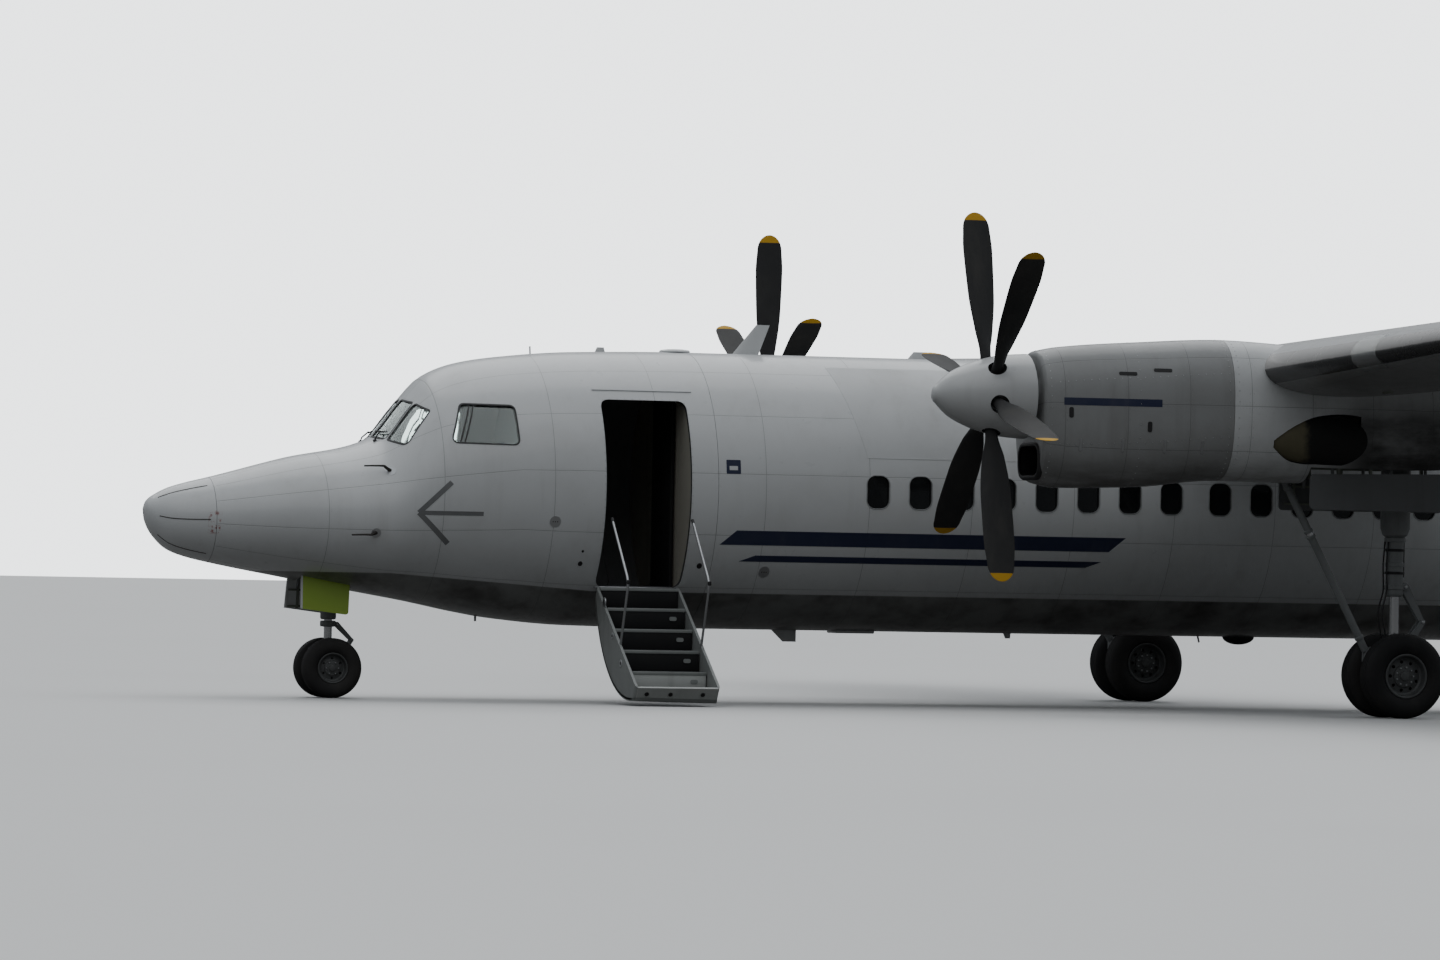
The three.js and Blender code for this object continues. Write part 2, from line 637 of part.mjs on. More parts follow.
const exhaustBore = exhaustLoft(EXHAUST_WALL, [
  { ...EXHAUST[0], x: EXHAUST_FLOOR },
  EXHAUST[1],
  { ...EXHAUST[2], x: EXHAUST[2].x + EXHAUST_WALL, side: EXHAUST[2].side + 6 },
]);

const mainBay = box(
  ...MAIN_BAY, ENGINE_SIDE - MAIN_BAY_HALF, ENGINE_SIDE + MAIN_BAY_HALF, 0, MAIN_LEG_TOP + SEAT_GAP,
);
const STAY_ENDS = [[8490, ENGINE_SIDE, 2375], [9440, ENGINE_SIDE, 591]];
const staySocket = socket(...STAY_ENDS, STAY_RADIUS);
addBothSides('nacelle', cutBy(
  nacelleLoft(rearRows, 0),
  grownWing,
  mainBay,
  exhaustLoft(-SEAT_GAP),
  staySocket,
), 'white');
addBothSides('exhaust', cutBy(exhaustLoft(0), exhaustBore), 'dark');

// The cowl is open behind, and in front for the shaft and the chin intake
const COWL_LIP = 35;
const COWL_WALL = 30;
const COWL_MOUTH = [COWL_FRONT - 50, COWL_FRONT + 80];
const SHAFT_MOUTH_RADIUS = 180;
const SHAFT_SIDES = 24;
const CHIN = { half: 270, low: 2260, high: 2540 };
const frontRows = NACELLE.filter((row) => row.x < FIREWALL);
const cowlRows = [...frontRows, { ...rearRows[0], x: FIREWALL - SEAT_GAP }];
const cowlRoom = [
  { ...frontRows[0], x: COWL_FRONT + COWL_LIP },
  ...frontRows.slice(1),
  { ...rearRows[0], x: FIREWALL + 20 },
];
const onShaft = (x, side) => [x, side, PROP_HEIGHT];
addBothSides('cowl', cutBy(
  nacelleLoft(cowlRows, 0),
  nacelleLoft(cowlRoom, COWL_WALL),
  rod(...COWL_MOUTH.map((x) => onShaft(x, ENGINE_SIDE)), SHAFT_MOUTH_RADIUS, SHAFT_SIDES),
  box(...COWL_MOUTH, ENGINE_SIDE - CHIN.half, ENGINE_SIDE + CHIN.half, CHIN.low, CHIN.high),
), 'grey');

// Each engine is one plain block with the propeller's shaft
const ENGINE = { front: 6350, half: 300, low: 2600, high: 3290 };
const GEARBOX = { radius: 150, sides: 20 };
const HUB_BORE_DEPTH = 70;
const HUB_BORE_RADIUS = SHAFT_RADIUS + 0.9;
const gearboxEnd = onShaft(ENGINE.front + 10, ENGINE_SIDE);
const [engineNear, engineFar] = [ENGINE_SIDE - ENGINE.half, ENGINE_SIDE + ENGINE.half];
addBothSides('engine', joined(
  box(ENGINE.front, FIREWALL - SEAT_GAP, engineNear, engineFar, ENGINE.low, ENGINE.high),
  rod(onShaft(HUB.rear + MOVING_GAP, ENGINE_SIDE), gearboxEnd, GEARBOX.radius, GEARBOX.sides),
  rod(onShaft(HUB.rear - HUB_BORE_DEPTH + 10, ENGINE_SIDE), gearboxEnd, SHAFT_RADIUS, SHAFT_SIDES),
), 'cast');

// Propellers: feathered blades, so the chord lies along the shaft
const BLADE = [
  { at: 150, chord: 110, thick: 110, twist: 0 },
  { at: 400, chord: 120, thick: 90, twist: 0.5 },
  { at: 620, chord: 215, thick: 50, twist: 0.4 },
  { at: 1000, chord: 290, thick: 34, twist: 0.22 },
  { at: 1450, chord: 300, thick: 22, twist: 0.06 },
  { at: 1720, chord: 250, thick: 15, twist: 0 },
  { at: PROP_RADIUS, chord: 120, thick: 9, twist: 0 },
];
const bladeRing = ({ at, chord, thick, twist }) => Array.from({ length: BLADE_POINTS }, (_, i) => {
  const angle = (2 * Math.PI * i) / BLADE_POINTS;
  const [along, across] = [Math.cos(angle) * chord / 2, Math.sin(angle) * thick / 2];
  return [
    along * Math.cos(twist) - across * Math.sin(twist),
    along * Math.sin(twist) + across * Math.cos(twist),
    at,
  ];
});
const aroundShaft = (body, turn, side) => {
  const onPlane = new THREE.Matrix4().makeTranslation(PROP_PLANE, side, PROP_HEIGHT);
  return moved(body, onPlane.multiply(new THREE.Matrix4().makeRotationX(turn)));
};

// Spinner rows are radius and station, from the nose to the back plate and round the inside
const SPINNER = [[0, 4960], [95, 5010], [215, 5145], [315, 5360], [380, 5600], [405, 5890]];
const SPINNER_BORE = HUB.radius + SEAT_GAP;
const SPINNER_INSIDE = [
  [SPINNER_BORE, 5890], [SPINNER_BORE, 5872], [386, 5872], [358, 5600], [285, 5360], [0, 5060],
];
const SPINNER_SIDES = 16;
const BLADE_HOLE_RADIUS = 86;
const BLADE_HOLE_REACH = [250, 480];
const BLADE_HOLE_SIDES = 8;
const PROP_TURN = { left: -0.273, right: 0.007 };
const blade = loft(BLADE.map(bladeRing));
const bladeHole = rod(...BLADE_HOLE_REACH.map((z) => [0, 0, z]), BLADE_HOLE_RADIUS, BLADE_HOLE_SIDES);
for (const [name, side] of [['left', -ENGINE_SIDE], ['right', ENGINE_SIDE]]) {
  const turns = Array.from({ length: BLADES }, (_, i) => PROP_TURN[name] + (i * 2 * Math.PI) / BLADES);
  const aboutShaft = (profile) => revolved(
    profile.map(([radius, x]) => [radius, x - PROP_PLANE]), SPINNER_SIDES, 'x', onShaft(PROP_PLANE, side),
  );
  const hub = cutBy(
    aboutShaft([[0, HUB.front], [HUB.radius, HUB.front], [HUB.radius, HUB.rear], [0, HUB.rear]]),
    rod(onShaft(HUB.rear - HUB_BORE_DEPTH, side), onShaft(HUB.rear + 10, side), HUB_BORE_RADIUS, SHAFT_SIDES),
  );
  add(`propeller_${name}`, joined(hub, ...turns.map((turn) => aroundShaft(blade, turn, side))), 'blade');
  add(`spinner_${name}`, cutBy(
    aboutShaft([...SPINNER, ...SPINNER_INSIDE]),
    ...turns.map((turn) => aroundShaft(bladeHole, turn, side)),
  ), 'white');
}

// Landing gear
const across = (x, y, z, half, radius, sides) => rod([x, y - half, z], [x, y + half, z], radius, sides);
const HUB_SIDES = 16;
const AXLE_SIDES = 24;
const MAIN_AXLE_RADIUS = 42;
const MAIN_LEG = [
  { from: 430, to: 1260, radius: 62 },
  { from: 1240, to: 1740, radius: 88 },
  { from: 1720, to: MAIN_LEG_TOP, radius: 145 },
];
const MAIN_LUG = { half: 80, radius: 92 };
const MAIN_BORE = { half: 120, radius: MAIN_AXLE_RADIUS + 0.8 };
const STAY_LUG = [[9650, 350], [9650, 520], [9490, 690], [9400, 640], [9400, 540], [9560, 350]];
const STAY_LUG_HALF = 60;
addBothSides('main_leg', cutBy(
  joined(
    ...MAIN_LEG.map(({ from, to, radius }) => (
      rod([MAIN_AXLE, ENGINE_SIDE, from], [MAIN_AXLE, ENGINE_SIDE, to], radius, HUB_SIDES)
    )),
    across(MAIN_AXLE, ENGINE_SIDE, MAIN_TYRE_RADIUS, MAIN_LUG.half, MAIN_LUG.radius, HUB_SIDES),
    prism(STAY_LUG, 'y', ENGINE_SIDE - STAY_LUG_HALF, ENGINE_SIDE + STAY_LUG_HALF),
  ),
  across(MAIN_AXLE, ENGINE_SIDE, MAIN_TYRE_RADIUS, MAIN_BORE.half, MAIN_BORE.radius, AXLE_SIDES),
  staySocket,
), 'steel');
addBothSides('main_stay', rod(...STAY_ENDS, STAY_RADIUS), 'steel');

// The bay doors hang straight down beside the legs: front, rear, half thickness, low and high
const MAIN_DOOR = [8650, 10350, 12, 1990, 2600];
const MAIN_DOOR_OFFSET = 412;
for (const [name, sign] of [['outer', 1], ['inner', -1]]) {
  const leaf = block(MAIN_DOOR, ENGINE_SIDE + sign * MAIN_DOOR_OFFSET);
  addBothSides(`main_door_${name}`, cutBy(leaf, grownNacelle), 'white');
}

// Tyre and rim profiles are radius and distance across the wheel
const tyreProfile = ({ radius, width, bore }) => {
  const half = width / 2;
  const [bead, wall, shoulder, tread] = [half * 0.72, half, half * 0.82, half * 0.4];
  const wallRadius = bore + (radius - bore) * 0.45;
  const shoulderRadius = radius * 0.93;
  return [
    [bore, -bead], [wallRadius, -wall], [shoulderRadius, -shoulder], [radius, -tread],
    [radius, tread], [shoulderRadius, shoulder], [wallRadius, wall], [bore, bead], [bore, -bead],
  ];
};
const rimProfile = ({ width, bore, axle }) => {
  const half = width / 2;
  const rim = bore - SEAT_GAP;
  const [cap, boss, web, flange] = [half * 0.6, half * 0.5, half * 0.3, half * 0.8];
  const [bossRadius, webRadius, flangeRadius] = [axle * 1.6, rim * 0.8, rim * 0.88];
  return [
    [0, -cap], [bossRadius, -boss], [webRadius, -web], [flangeRadius, -flange], [rim, -flange],
    [rim, flange], [flangeRadius, flange], [webRadius, web], [bossRadius, boss], [0, cap],
  ];
};
const wheelPair = (name, wheel, [x, y, z]) => {
  const { offset, axle, sides } = wheel;
  const rims = [-1, 1].map((s) => revolved(rimProfile(wheel), sides, 'y', [x, y + s * offset, z]));
  add(`${name}_rims`, joined(...rims, across(x, y, z, offset, axle, AXLE_SIDES)), 'metal');
  for (const [label, s] of [['a', -1], ['b', 1]]) {
    add(`${name}_tyre_${label}`, revolved(tyreProfile(wheel), sides, 'y', [x, y + s * offset, z]), 'tyre');
  }
};
const MAIN_WHEEL = {
  radius: MAIN_TYRE_RADIUS, width: 273, bore: 215, axle: MAIN_AXLE_RADIUS, offset: 242, sides: 20,
};
wheelPair('main_wheels_left', MAIN_WHEEL, [MAIN_AXLE, -ENGINE_SIDE, MAIN_TYRE_RADIUS]);
wheelPair('main_wheels_right', MAIN_WHEEL, [MAIN_AXLE, ENGINE_SIDE, MAIN_TYRE_RADIUS]);

const NOSE_AXLE_RADIUS = 29;
const NOSE_SIDES = 20;
const NOSE_LEG = { foot: 760, radius: 78 };
const STEERING_COLUMN = { foot: 300, top: 1130, radius: 40 };
const STEERING_GAP = 0.9;
const SLEEVE_REACH = [700, 1150];
const NOSE_LUG = { half: 55, radius: 62 };
const NOSE_BORE = { half: 80, radius: NOSE_AXLE_RADIUS + 0.7 };
const TOW_BOSS = { face: -95, half: 34, low: 410, high: 480 };
const upright = (from, to, radius) => rod([0, 0, from], [0, 0, to], radius, NOSE_SIDES);
add('nose_leg', cutBy(
  upright(NOSE_LEG.foot, NOSE_LEG_TOP, NOSE_LEG.radius),
  upright(...SLEEVE_REACH, STEERING_COLUMN.radius + STEERING_GAP),
), 'steel');
add('nose_steering', cutBy(
  joined(
    upright(STEERING_COLUMN.foot, STEERING_COLUMN.top, STEERING_COLUMN.radius),
    across(0, 0, NOSE_TYRE_RADIUS, NOSE_LUG.half, NOSE_LUG.radius, NOSE_SIDES),
    box(TOW_BOSS.face, 0, -TOW_BOSS.half, TOW_BOSS.half, TOW_BOSS.low, TOW_BOSS.high),
  ),
  across(0, 0, NOSE_TYRE_RADIUS, NOSE_BORE.half, NOSE_BORE.radius, AXLE_SIDES),
), 'steel');
wheelPair(
  'nose_wheels',
  { radius: NOSE_TYRE_RADIUS, width: 196, bore: 150, axle: NOSE_AXLE_RADIUS, offset: 172, sides: 16 },
  [0, 0, NOSE_TYRE_RADIUS],
);

// The nose doors hang outwards; outlines are in side view and in front view
const NOSE_DOOR_SIDE = [[-330, 1400], [-360, 867], [110, 810], [145, 1400]];
const NOSE_DOOR_FRONT = [[243, 1400], [366, 790], [386, 790], [263, 1400]];
const noseDoor = prism(NOSE_DOOR_SIDE, 'y', 0, 500).intersect(prism(NOSE_DOOR_FRONT, 'x', -500, 500));
add('nose_door_left', cutBy(mirrored(noseDoor), grownHull), 'lime');
add('nose_door_right', cutBy(noseDoor, grownHull), 'white');

// Passenger stairs are built shut in the doorway, then turned down about the sill
const turnStair = (angle) => new THREE.Matrix4().makeTranslation(0, ...STAIR_HINGE)
  .multiply(new THREE.Matrix4().makeRotationX(angle))
  .multiply(new THREE.Matrix4().makeTranslation(0, -STAIR_HINGE[0], -STAIR_HINGE[1]));
const [leafFront, leafRear] = [DOOR_FRONT + MOVING_GAP, DOOR_REAR - MOVING_GAP];
const [leafLow, leafHigh] = [DOOR_SILL + 20, DOOR_TOP - MOVING_GAP];
const LEAF_SKIN = 32;
const leafBlock = (x0, x1, near) => box(x0, x1, -doorwayFar, -near, leafLow, leafHigh);
const leafSkin = cutBy(
  forwardHull.intersect(leafBlock(leafFront, leafRear, doorwayNear)),
  frontHull(LEAF_SKIN),
);

const CHEEK = { width: 28, near: 905 };
const cheeks = [leafFront, leafRear - CHEEK.width].map((x) => (
  forwardHull.intersect(leafBlock(x, x + CHEEK.width, CHEEK.near))
));

// Treads are level when the stairs are down; each row is the side and height of a tread's top
const TREADS = [[-1216, 930], [-1471, 730], [-1726, 530], [-1981, 330], [-2215, 140]];
const TREAD = { half: 115, thick: 28, inset: 10, setIn: 6 };
const treadRoom = frontHull(TREAD.setIn).intersect(leafBlock(leafFront + 5, leafRear - 5, doorwayNear));
const treads = TREADS.map(([y, z]) => moved(
  box(leafFront + TREAD.inset, leafRear - TREAD.inset, y - TREAD.half, y + TREAD.half, z - TREAD.thick, z),
  turnStair(-STAIR_OPEN),
).intersect(treadRoom));

const HINGE_ARM = { width: 60, half: 7 };
const armStarts = [leafFront, (leafFront + leafRear - HINGE_ARM.width) / 2, leafRear - HINGE_ARM.width];
const hingeArms = armStarts.map((x) => box(
  x, x + HINGE_ARM.width,
  STAIR_HINGE[0] - HINGE_ARM.half, STAIR_HINGE[0] + HINGE_ARM.half,
  STAIR_HINGE[1], leafLow + LEAF_SKIN - 2,
));
const hingeRod = rod(
  [leafFront, ...STAIR_HINGE], [leafRear, ...STAIR_HINGE], HINGE_ROD_RADIUS, HINGE_ROD_SIDES,
);
const leafShut = joined(leafSkin, ...cheeks, ...treads, hingeRod, ...hingeArms);

// Each rail is a bent tube with its foot in the leaf; the points are side and height with the stairs down
const RAIL = [[-1470, 1790], [-2090, 1180], [-1790, 430]];
const RAIL_TUBE = { inset: 18, radius: 16, sides: 10 };
const railPoints = [leafFront + RAIL_TUBE.inset, leafRear - RAIL_TUBE.inset].map((x) => (
  RAIL.map((point) => [x, ...point])
));
const railTube = ([top, knee, foot]) => joined(
  rod(top, knee, RAIL_TUBE.radius, RAIL_TUBE.sides),
  rod(knee, foot, RAIL_TUBE.radius, RAIL_TUBE.sides),
);
add('stair_leaf', cutBy(
  moved(leafShut, turnStair(STAIR_OPEN)),
  ...railPoints.map(([, knee, foot]) => socket(knee, foot, RAIL_TUBE.radius, RAIL_TUBE.sides)),
), 'metal');
add('stair_rail_front', railTube(railPoints[0]), 'metal');
add('stair_rail_rear', railTube(railPoints[1]), 'metal');

add('service_door', cutBy(forwardHull.intersect(box(
  SERVICE_DOOR.front + SEAT_GAP, SERVICE_DOOR.rear - SEAT_GAP,
  doorwayNear, doorwayFar,
  DOOR_SILL + SEAT_GAP, SERVICE_DOOR.top - SEAT_GAP,
)), innerHull), 'white');

const group = new THREE.Group();
for (const mesh of parts) {
  mesh.geometry.translate(-MID_STATION, 0, 0);
  group.add(mesh);
}
export default group;
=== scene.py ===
import math

import bmesh
import bpy
import numpy as np
from bpy.props import FloatProperty, FloatVectorProperty, PointerProperty
from mathutils import Matrix, Vector


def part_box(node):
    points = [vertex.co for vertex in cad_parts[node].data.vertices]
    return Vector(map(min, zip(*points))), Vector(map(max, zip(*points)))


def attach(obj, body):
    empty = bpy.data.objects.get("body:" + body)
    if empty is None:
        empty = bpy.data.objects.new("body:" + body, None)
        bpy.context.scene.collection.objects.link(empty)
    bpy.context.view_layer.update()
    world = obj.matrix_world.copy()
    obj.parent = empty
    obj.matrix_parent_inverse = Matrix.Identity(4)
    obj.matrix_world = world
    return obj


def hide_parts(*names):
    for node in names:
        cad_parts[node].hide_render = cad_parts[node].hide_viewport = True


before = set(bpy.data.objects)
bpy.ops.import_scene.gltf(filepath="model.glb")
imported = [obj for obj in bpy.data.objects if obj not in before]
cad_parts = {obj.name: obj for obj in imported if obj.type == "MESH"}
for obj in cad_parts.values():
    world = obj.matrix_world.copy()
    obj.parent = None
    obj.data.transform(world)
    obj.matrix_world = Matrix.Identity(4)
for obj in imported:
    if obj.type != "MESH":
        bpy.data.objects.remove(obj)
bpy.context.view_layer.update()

bl_info = {
    "name": "Turboprop airliner",
    "version": (1, 0, 0),
    "blender": (4, 5, 0),
    "location": "View3D > Sidebar > Airliner",
    "description": "Builds the skins, glazing, propellers and landing gear of a parked turboprop airliner",
    "category": "Object",
}


def middle(node):
    """The middle of a node's box."""
    low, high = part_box(node)
    return (low + high) / 2


# Stations are metres aft of the nose wheel axle, Y is to starboard and Z is up from the ground
AXLE = middle("nose_wheels_rims").x
NOSE_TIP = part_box("radome")[0].x - AXLE
RADOME_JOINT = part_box("forward_fuselage")[0].x - AXLE
CABIN_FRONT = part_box("centre_fuselage")[0].x - AXLE
CABIN_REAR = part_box("rear_fuselage")[0].x - AXLE
TAIL_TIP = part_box("rear_fuselage")[1].x - AXLE
ENGINE_SIDE = abs(middle("engine_left").y)
MAIN_AXLE = middle("main_wheels_left_rims").x - AXLE
MAIN_RADIUS = middle("main_wheels_left_rims").z
NOSE_RADIUS = middle("nose_wheels_rims").z

# Fuselage sections: station, crown, keel and half breadth
HULL = (
    (NOSE_TIP, 1.815, 1.785, 0.015),
    (-1.830, 1.885, 1.665, 0.125),
    (-1.740, 1.955, 1.520, 0.235),
    (-1.610, 2.020, 1.410, 0.330),
    (-1.430, 2.075, 1.345, 0.410),
    (-1.230, 2.125, 1.300, 0.480),
    (-0.480, 2.330, 1.165, 0.760),
    (0.330, 2.520, 1.025, 1.000),
    (0.690, 2.930, 0.965, 1.120),
    (0.900, 3.160, 0.925, 1.180),
    (1.200, 3.290, 0.865, 1.245),
    (1.610, 3.365, 0.800, 1.300),
    (2.400, 3.435, 0.740, 1.343),
    (3.550, 3.460, 0.728, 1.350),
    (16.000, 3.460, 0.735, 1.350),
    (17.500, 3.455, 0.960, 1.295),
    (19.000, 3.430, 1.390, 1.120),
    (20.500, 3.390, 1.865, 0.870),
    (22.000, 3.330, 2.330, 0.570),
    (23.000, 3.240, 2.680, 0.310),
    (TAIL_TIP, 3.090, 2.900, 0.090),
)
# Nacelle sections: station, crown, keel and half breadth
NACELLE = (
    (5.950, 3.440, 2.200, 0.440),
    (6.200, 3.490, 2.150, 0.475),
    (6.970, 3.555, 2.170, 0.505),
    (7.830, 3.600, 2.250, 0.520),
    (8.700, 3.560, 2.240, 0.525),
    (9.800, 3.500, 2.225, 0.510),
    (10.900, 3.400, 2.320, 0.430),
    (11.700, 3.290, 2.720, 0.260),
    (12.150, 3.200, 2.980, 0.080),
)
NACELLE_POWER = 2.6
COWL_FRONT = 5.950
FIREWALL = 7.830

WING_ROOT = {"edge": 8.000, "chord": 3.464, "thick": 0.727}
WING_TIP = {"edge": 8.520, "chord": 1.400, "thick": 0.210}
HALF_SPAN = 14.5
WING_HEIGHT = 3.137
DIHEDRAL = math.radians(2.5)
WING_CAMBER = 0.02
WING_JOINT = 1.5

PROP_PLANE = 5.530
PROP_HEIGHT = 3.011
PROP_TURNS = {"left": -0.273, "right": 0.007}
BLADES = 6

DOOR = {"front": 2.420, "rear": 3.280, "sill": 1.130, "top": 2.950, "corner": 0.09}
STAIR_HINGE = (-0.942, 1.124)
HINGE_ROD = 0.009
STAIR_OPEN = math.radians(122.9)

SEAM = 0.004
SIDES = {"left": -1, "right": 1}


def steady_slopes(rows):
    """Slopes at each station of a table that let a cubic pass without overshoot."""
    table = np.array(rows, float)
    step = np.diff(table[:, 0])[:, None]
    rate = np.diff(table[:, 1:], axis=0) / step
    slopes = np.zeros_like(table[:, 1:])
    slopes[0] = rate[0]
    slopes[-1] = rate[-1]
    for i in range(1, len(table) - 1):
        before, after = rate[i - 1], rate[i]
        same = before * after > 0
        wide, narrow = 2 * step[i] + step[i - 1], step[i] + 2 * step[i - 1]
        with np.errstate(divide="ignore", invalid="ignore"):
            blended = (wide + narrow) / (wide / before + narrow / after)
        slopes[i] = np.where(same, blended, 0)
    return table, slopes


class Fair:
    """A fair curve through a table whose first column is the place along it."""

    def __init__(self, rows):
        self.table, self.slopes = steady_slopes(rows)

    def at(self, place):
        places = self.table[:, 0]
        i = int(np.clip(np.searchsorted(places, place) - 1, 0, len(places) - 2))
        step = places[i + 1] - places[i]
        t = min(max((place - places[i]) / step, 0), 1)
        a, b = self.table[i, 1:], self.table[i + 1, 1:]
        ma, mb = self.slopes[i] * step, self.slopes[i + 1] * step
        return (
            (2 * t**3 - 3 * t**2 + 1) * a
            + (t**3 - 2 * t**2 + t) * ma
            + (3 * t**2 - 2 * t**3) * b
            + (t**3 - t**2) * mb
        )


HULL_LINES = Fair(HULL)
NACELLE_LINES = Fair(NACELLE)


def oval(lines, x, angle, inset=0.0, power=2.0, side=0.0):
    """A point on an oval section of a body at a station."""
    crown, keel, half = lines.at(x)
    rise = (crown - keel) / 2 - inset
    wide = half - inset
    c, s = math.cos(angle), math.sin(angle)
    bend = 2 / power
    y = wide * math.copysign(abs(c) ** bend, c)
    z = rise * math.copysign(abs(s) ** bend, s)
    return (x, side + y, (crown + keel) / 2 + z)


# Exhaust sections: station, crown, keel, half breadth and distance out from the engine
EXHAUST = (
    (8.250, 2.780, 2.520, 0.095, 0.395),
    (8.450, 2.860, 2.450, 0.115, 0.420),
    (8.700, 2.890, 2.420, 0.130, 0.470),
    (9.120, 2.890, 2.410, 0.130, 0.575),
)
EXHAUST_LINES = Fair(EXHAUST)
EXHAUST_FLOOR = 8.300
EXHAUST_WALL = 0.012
MAIN_BAY = {"front": 8.660, "rear": 10.700, "half": 0.400, "top": 2.850}
NACELLE_TIP = NACELLE[-1][0]
STAY_TOP = (8.490, 2.375)
STAY_FOOT = (9.440, 0.591)


def hull_point(x, angle, inset=0.0):
    return oval(HULL_LINES, x, angle, inset)


def hull_normal(x, angle):
    """The outward direction of the fuselage surface."""
    step = 0.01
    here = Vector(hull_point(x, angle))
    round_it = Vector(hull_point(x, angle + step)) - Vector(hull_point(x, angle - step))
    along = Vector(hull_point(x + step, angle)) - Vector(hull_point(x - step, angle))
    normal = round_it.cross(along).normalized()
    crown, keel, _ = HULL_LINES.at(x)
    outward = here - Vector((x, 0, (crown + keel) / 2))
    return normal if normal.dot(outward) > 0 else -normal


def hull_side(x, z, side, lift=0.0):
    """The point of the fuselage side at a station and a height."""
    crown, keel, half = HULL_LINES.at(x)
    rise = (crown - keel) / 2
    share = min(max((z - (crown + keel) / 2) / rise, -0.999), 0.999)
    normal = hull_normal(x, math.asin(share) if side > 0 else math.pi - math.asin(share))
    at = Vector((x, side * half * math.sqrt(1 - share**2), z))
    return at + normal * lift


# Shapes


ON_AXIS = 1e-6
MERGE = 1e-5


class Shape:
    """Points and faces of one piece, with a finish number for each face."""

    def __init__(self):
        self.points = []
        self.faces = []
        self.finishes = []

    def add(self, mesh, paint=0):
        points, faces = mesh
        start = len(self.points)
        self.points.extend(tuple(p) for p in points)
        self.faces.extend([start + i for i in face] for face in faces)
        self.finishes.extend([paint] * len(faces))
        return self


def changed(mesh, matrix):
    points, faces = mesh
    return [tuple(matrix @ Vector(p)) for p in points], faces


def on_side(mesh, side):
    points, faces = mesh
    if side > 0:
        return points, faces
    return [(x, -y, z) for x, y, z in points], [list(reversed(face)) for face in faces]


def loft(rings, ends=True):
    """A skin over closed rings of equal count, from the first to the last."""
    count = len(rings[0])
    points = [p for ring in rings for p in ring]
    faces = []
    for r in range(len(rings) - 1):
        for i in range(count):
            a, b = r * count + i, r * count + (i + 1) % count
            faces.append([a, b, b + count, a + count])
    if ends:
        faces.append(list(reversed(range(count))))
        faces.append([(len(rings) - 1) * count + i for i in range(count)])
    return points, faces


def lathe(profile, centre, axis, sides=48):
    """A profile of (radius, place along the axis) rows turned about an axis through a point."""
    points, rows = [], []
    for radius, along in profile:
        turns = 1 if radius < ON_AXIS else sides
        rows.append((len(points), turns))
        for i in range(turns):
            angle = 2 * math.pi * i / turns
            u, v = radius * math.cos(angle), radius * math.sin(angle)
            spot = {"x": (along, u, v), "y": (u, along, v), "z": (u, v, along)}[axis]
            points.append(tuple(c + d for c, d in zip(centre, spot)))
    faces = []
    for (a, na), (b, nb) in zip(rows, rows[1:]):
        for i in range(max(na, nb)):
            corner = [a + i % na, a + (i + 1) % na, b + (i + 1) % nb, b + i % nb]
            face = list(dict.fromkeys(corner))
            if len(face) > 2:
                faces.append(face)
    return points, faces


def pipe(path, radius, sides=14, end_radius=None):
    """A round bar along a path, with flat ends."""
    path = [Vector(p) for p in path]
    last = radius if end_radius is None else end_radius
    rings = []
    aside = None
    for i, at in enumerate(path):
        ahead = path[min(i + 1, len(path) - 1)] - path[max(i - 1, 0)]
        ahead.normalize()
        if aside is None:
            aside = ahead.orthogonal().normalized()
        aside = (aside - ahead * aside.dot(ahead)).normalized()
        across = ahead.cross(aside)
        size = radius + (last - radius) * i / (len(path) - 1)
        rings.append([
            tuple(at + (aside * math.cos(t) + across * math.sin(t)) * size)
            for t in (2 * math.pi * k / sides for k in range(sides))
        ])
    return loft(rings)


def bar(start, end, radius, sides=20, edge=0.0):
    """A straight round bar, with its end edges rounded over."""
    start, end = Vector(start), Vector(end)
    ahead = (end - start).normalized()
    if edge <= 0:
        return pipe([start, end], radius, sides)
    aside = ahead.orthogonal().normalized()
    across = ahead.cross(aside)
    length = (end - start).length
    rings = []
    rows = ((0, radius - edge), (edge, radius), (length - edge, radius), (length, radius - edge))
    for along, size in rows:
        rings.append([
            tuple(start + ahead * along + (aside * math.cos(t) + across * math.sin(t)) * size)
            for t in (2 * math.pi * k / sides for k in range(sides))
        ])
    return loft(rings)


def block(low, high, edge=0.0, steps=2):
    """A box between two corners, with its edges rounded."""
    work = bmesh.new()
    bmesh.ops.create_cube(work, size=1.0)
    size = Vector(high) - Vector(low)
    half = Vector((0.5, 0.5, 0.5))
    for vert in work.verts:
        vert.co = Vector(low) + (vert.co + half) * size
    if edge > 0:
        bmesh.ops.bevel(work, geom=work.edges[:], offset=edge, segments=steps, affect="EDGES", profile=0.5)
    work.verts.index_update()
    mesh = [tuple(v.co) for v in work.verts], [[v.index for v in f.verts] for f in work.faces]
    work.free()
    return mesh


def rounded(outline, radius, steps=6):
    """An outline whose corners are turned into arcs."""
    result = []
    count = len(outline)
    for i in range(count):
        at = Vector(outline[i])
        back = Vector(outline[i - 1]) - at
        ahead = Vector(outline[(i + 1) % count]) - at
        half = back.angle(ahead) / 2
        reach = min(radius / math.tan(half), back.length * 0.49, ahead.length * 0.49)
        start, end = at + back.normalized() * reach, at + ahead.normalized() * reach
        for k in range(steps + 1):
            t = k / steps
            result.append(tuple(start * (1 - t) ** 2 + at * 2 * t * (1 - t) + end * t**2))
    return result


def prism(outline, axis, low, high):
    """An outline pushed along an axis: it is (y, z) for x, (x, z) for y and (x, y) for z."""
    def place(u, v, w):
        return {"x": (w, u, v), "y": (u, w, v), "z": (u, v, w)}[axis]
    rings = [[place(u, v, w) for u, v in outline] for w in (low, high)]
    return loft(rings)


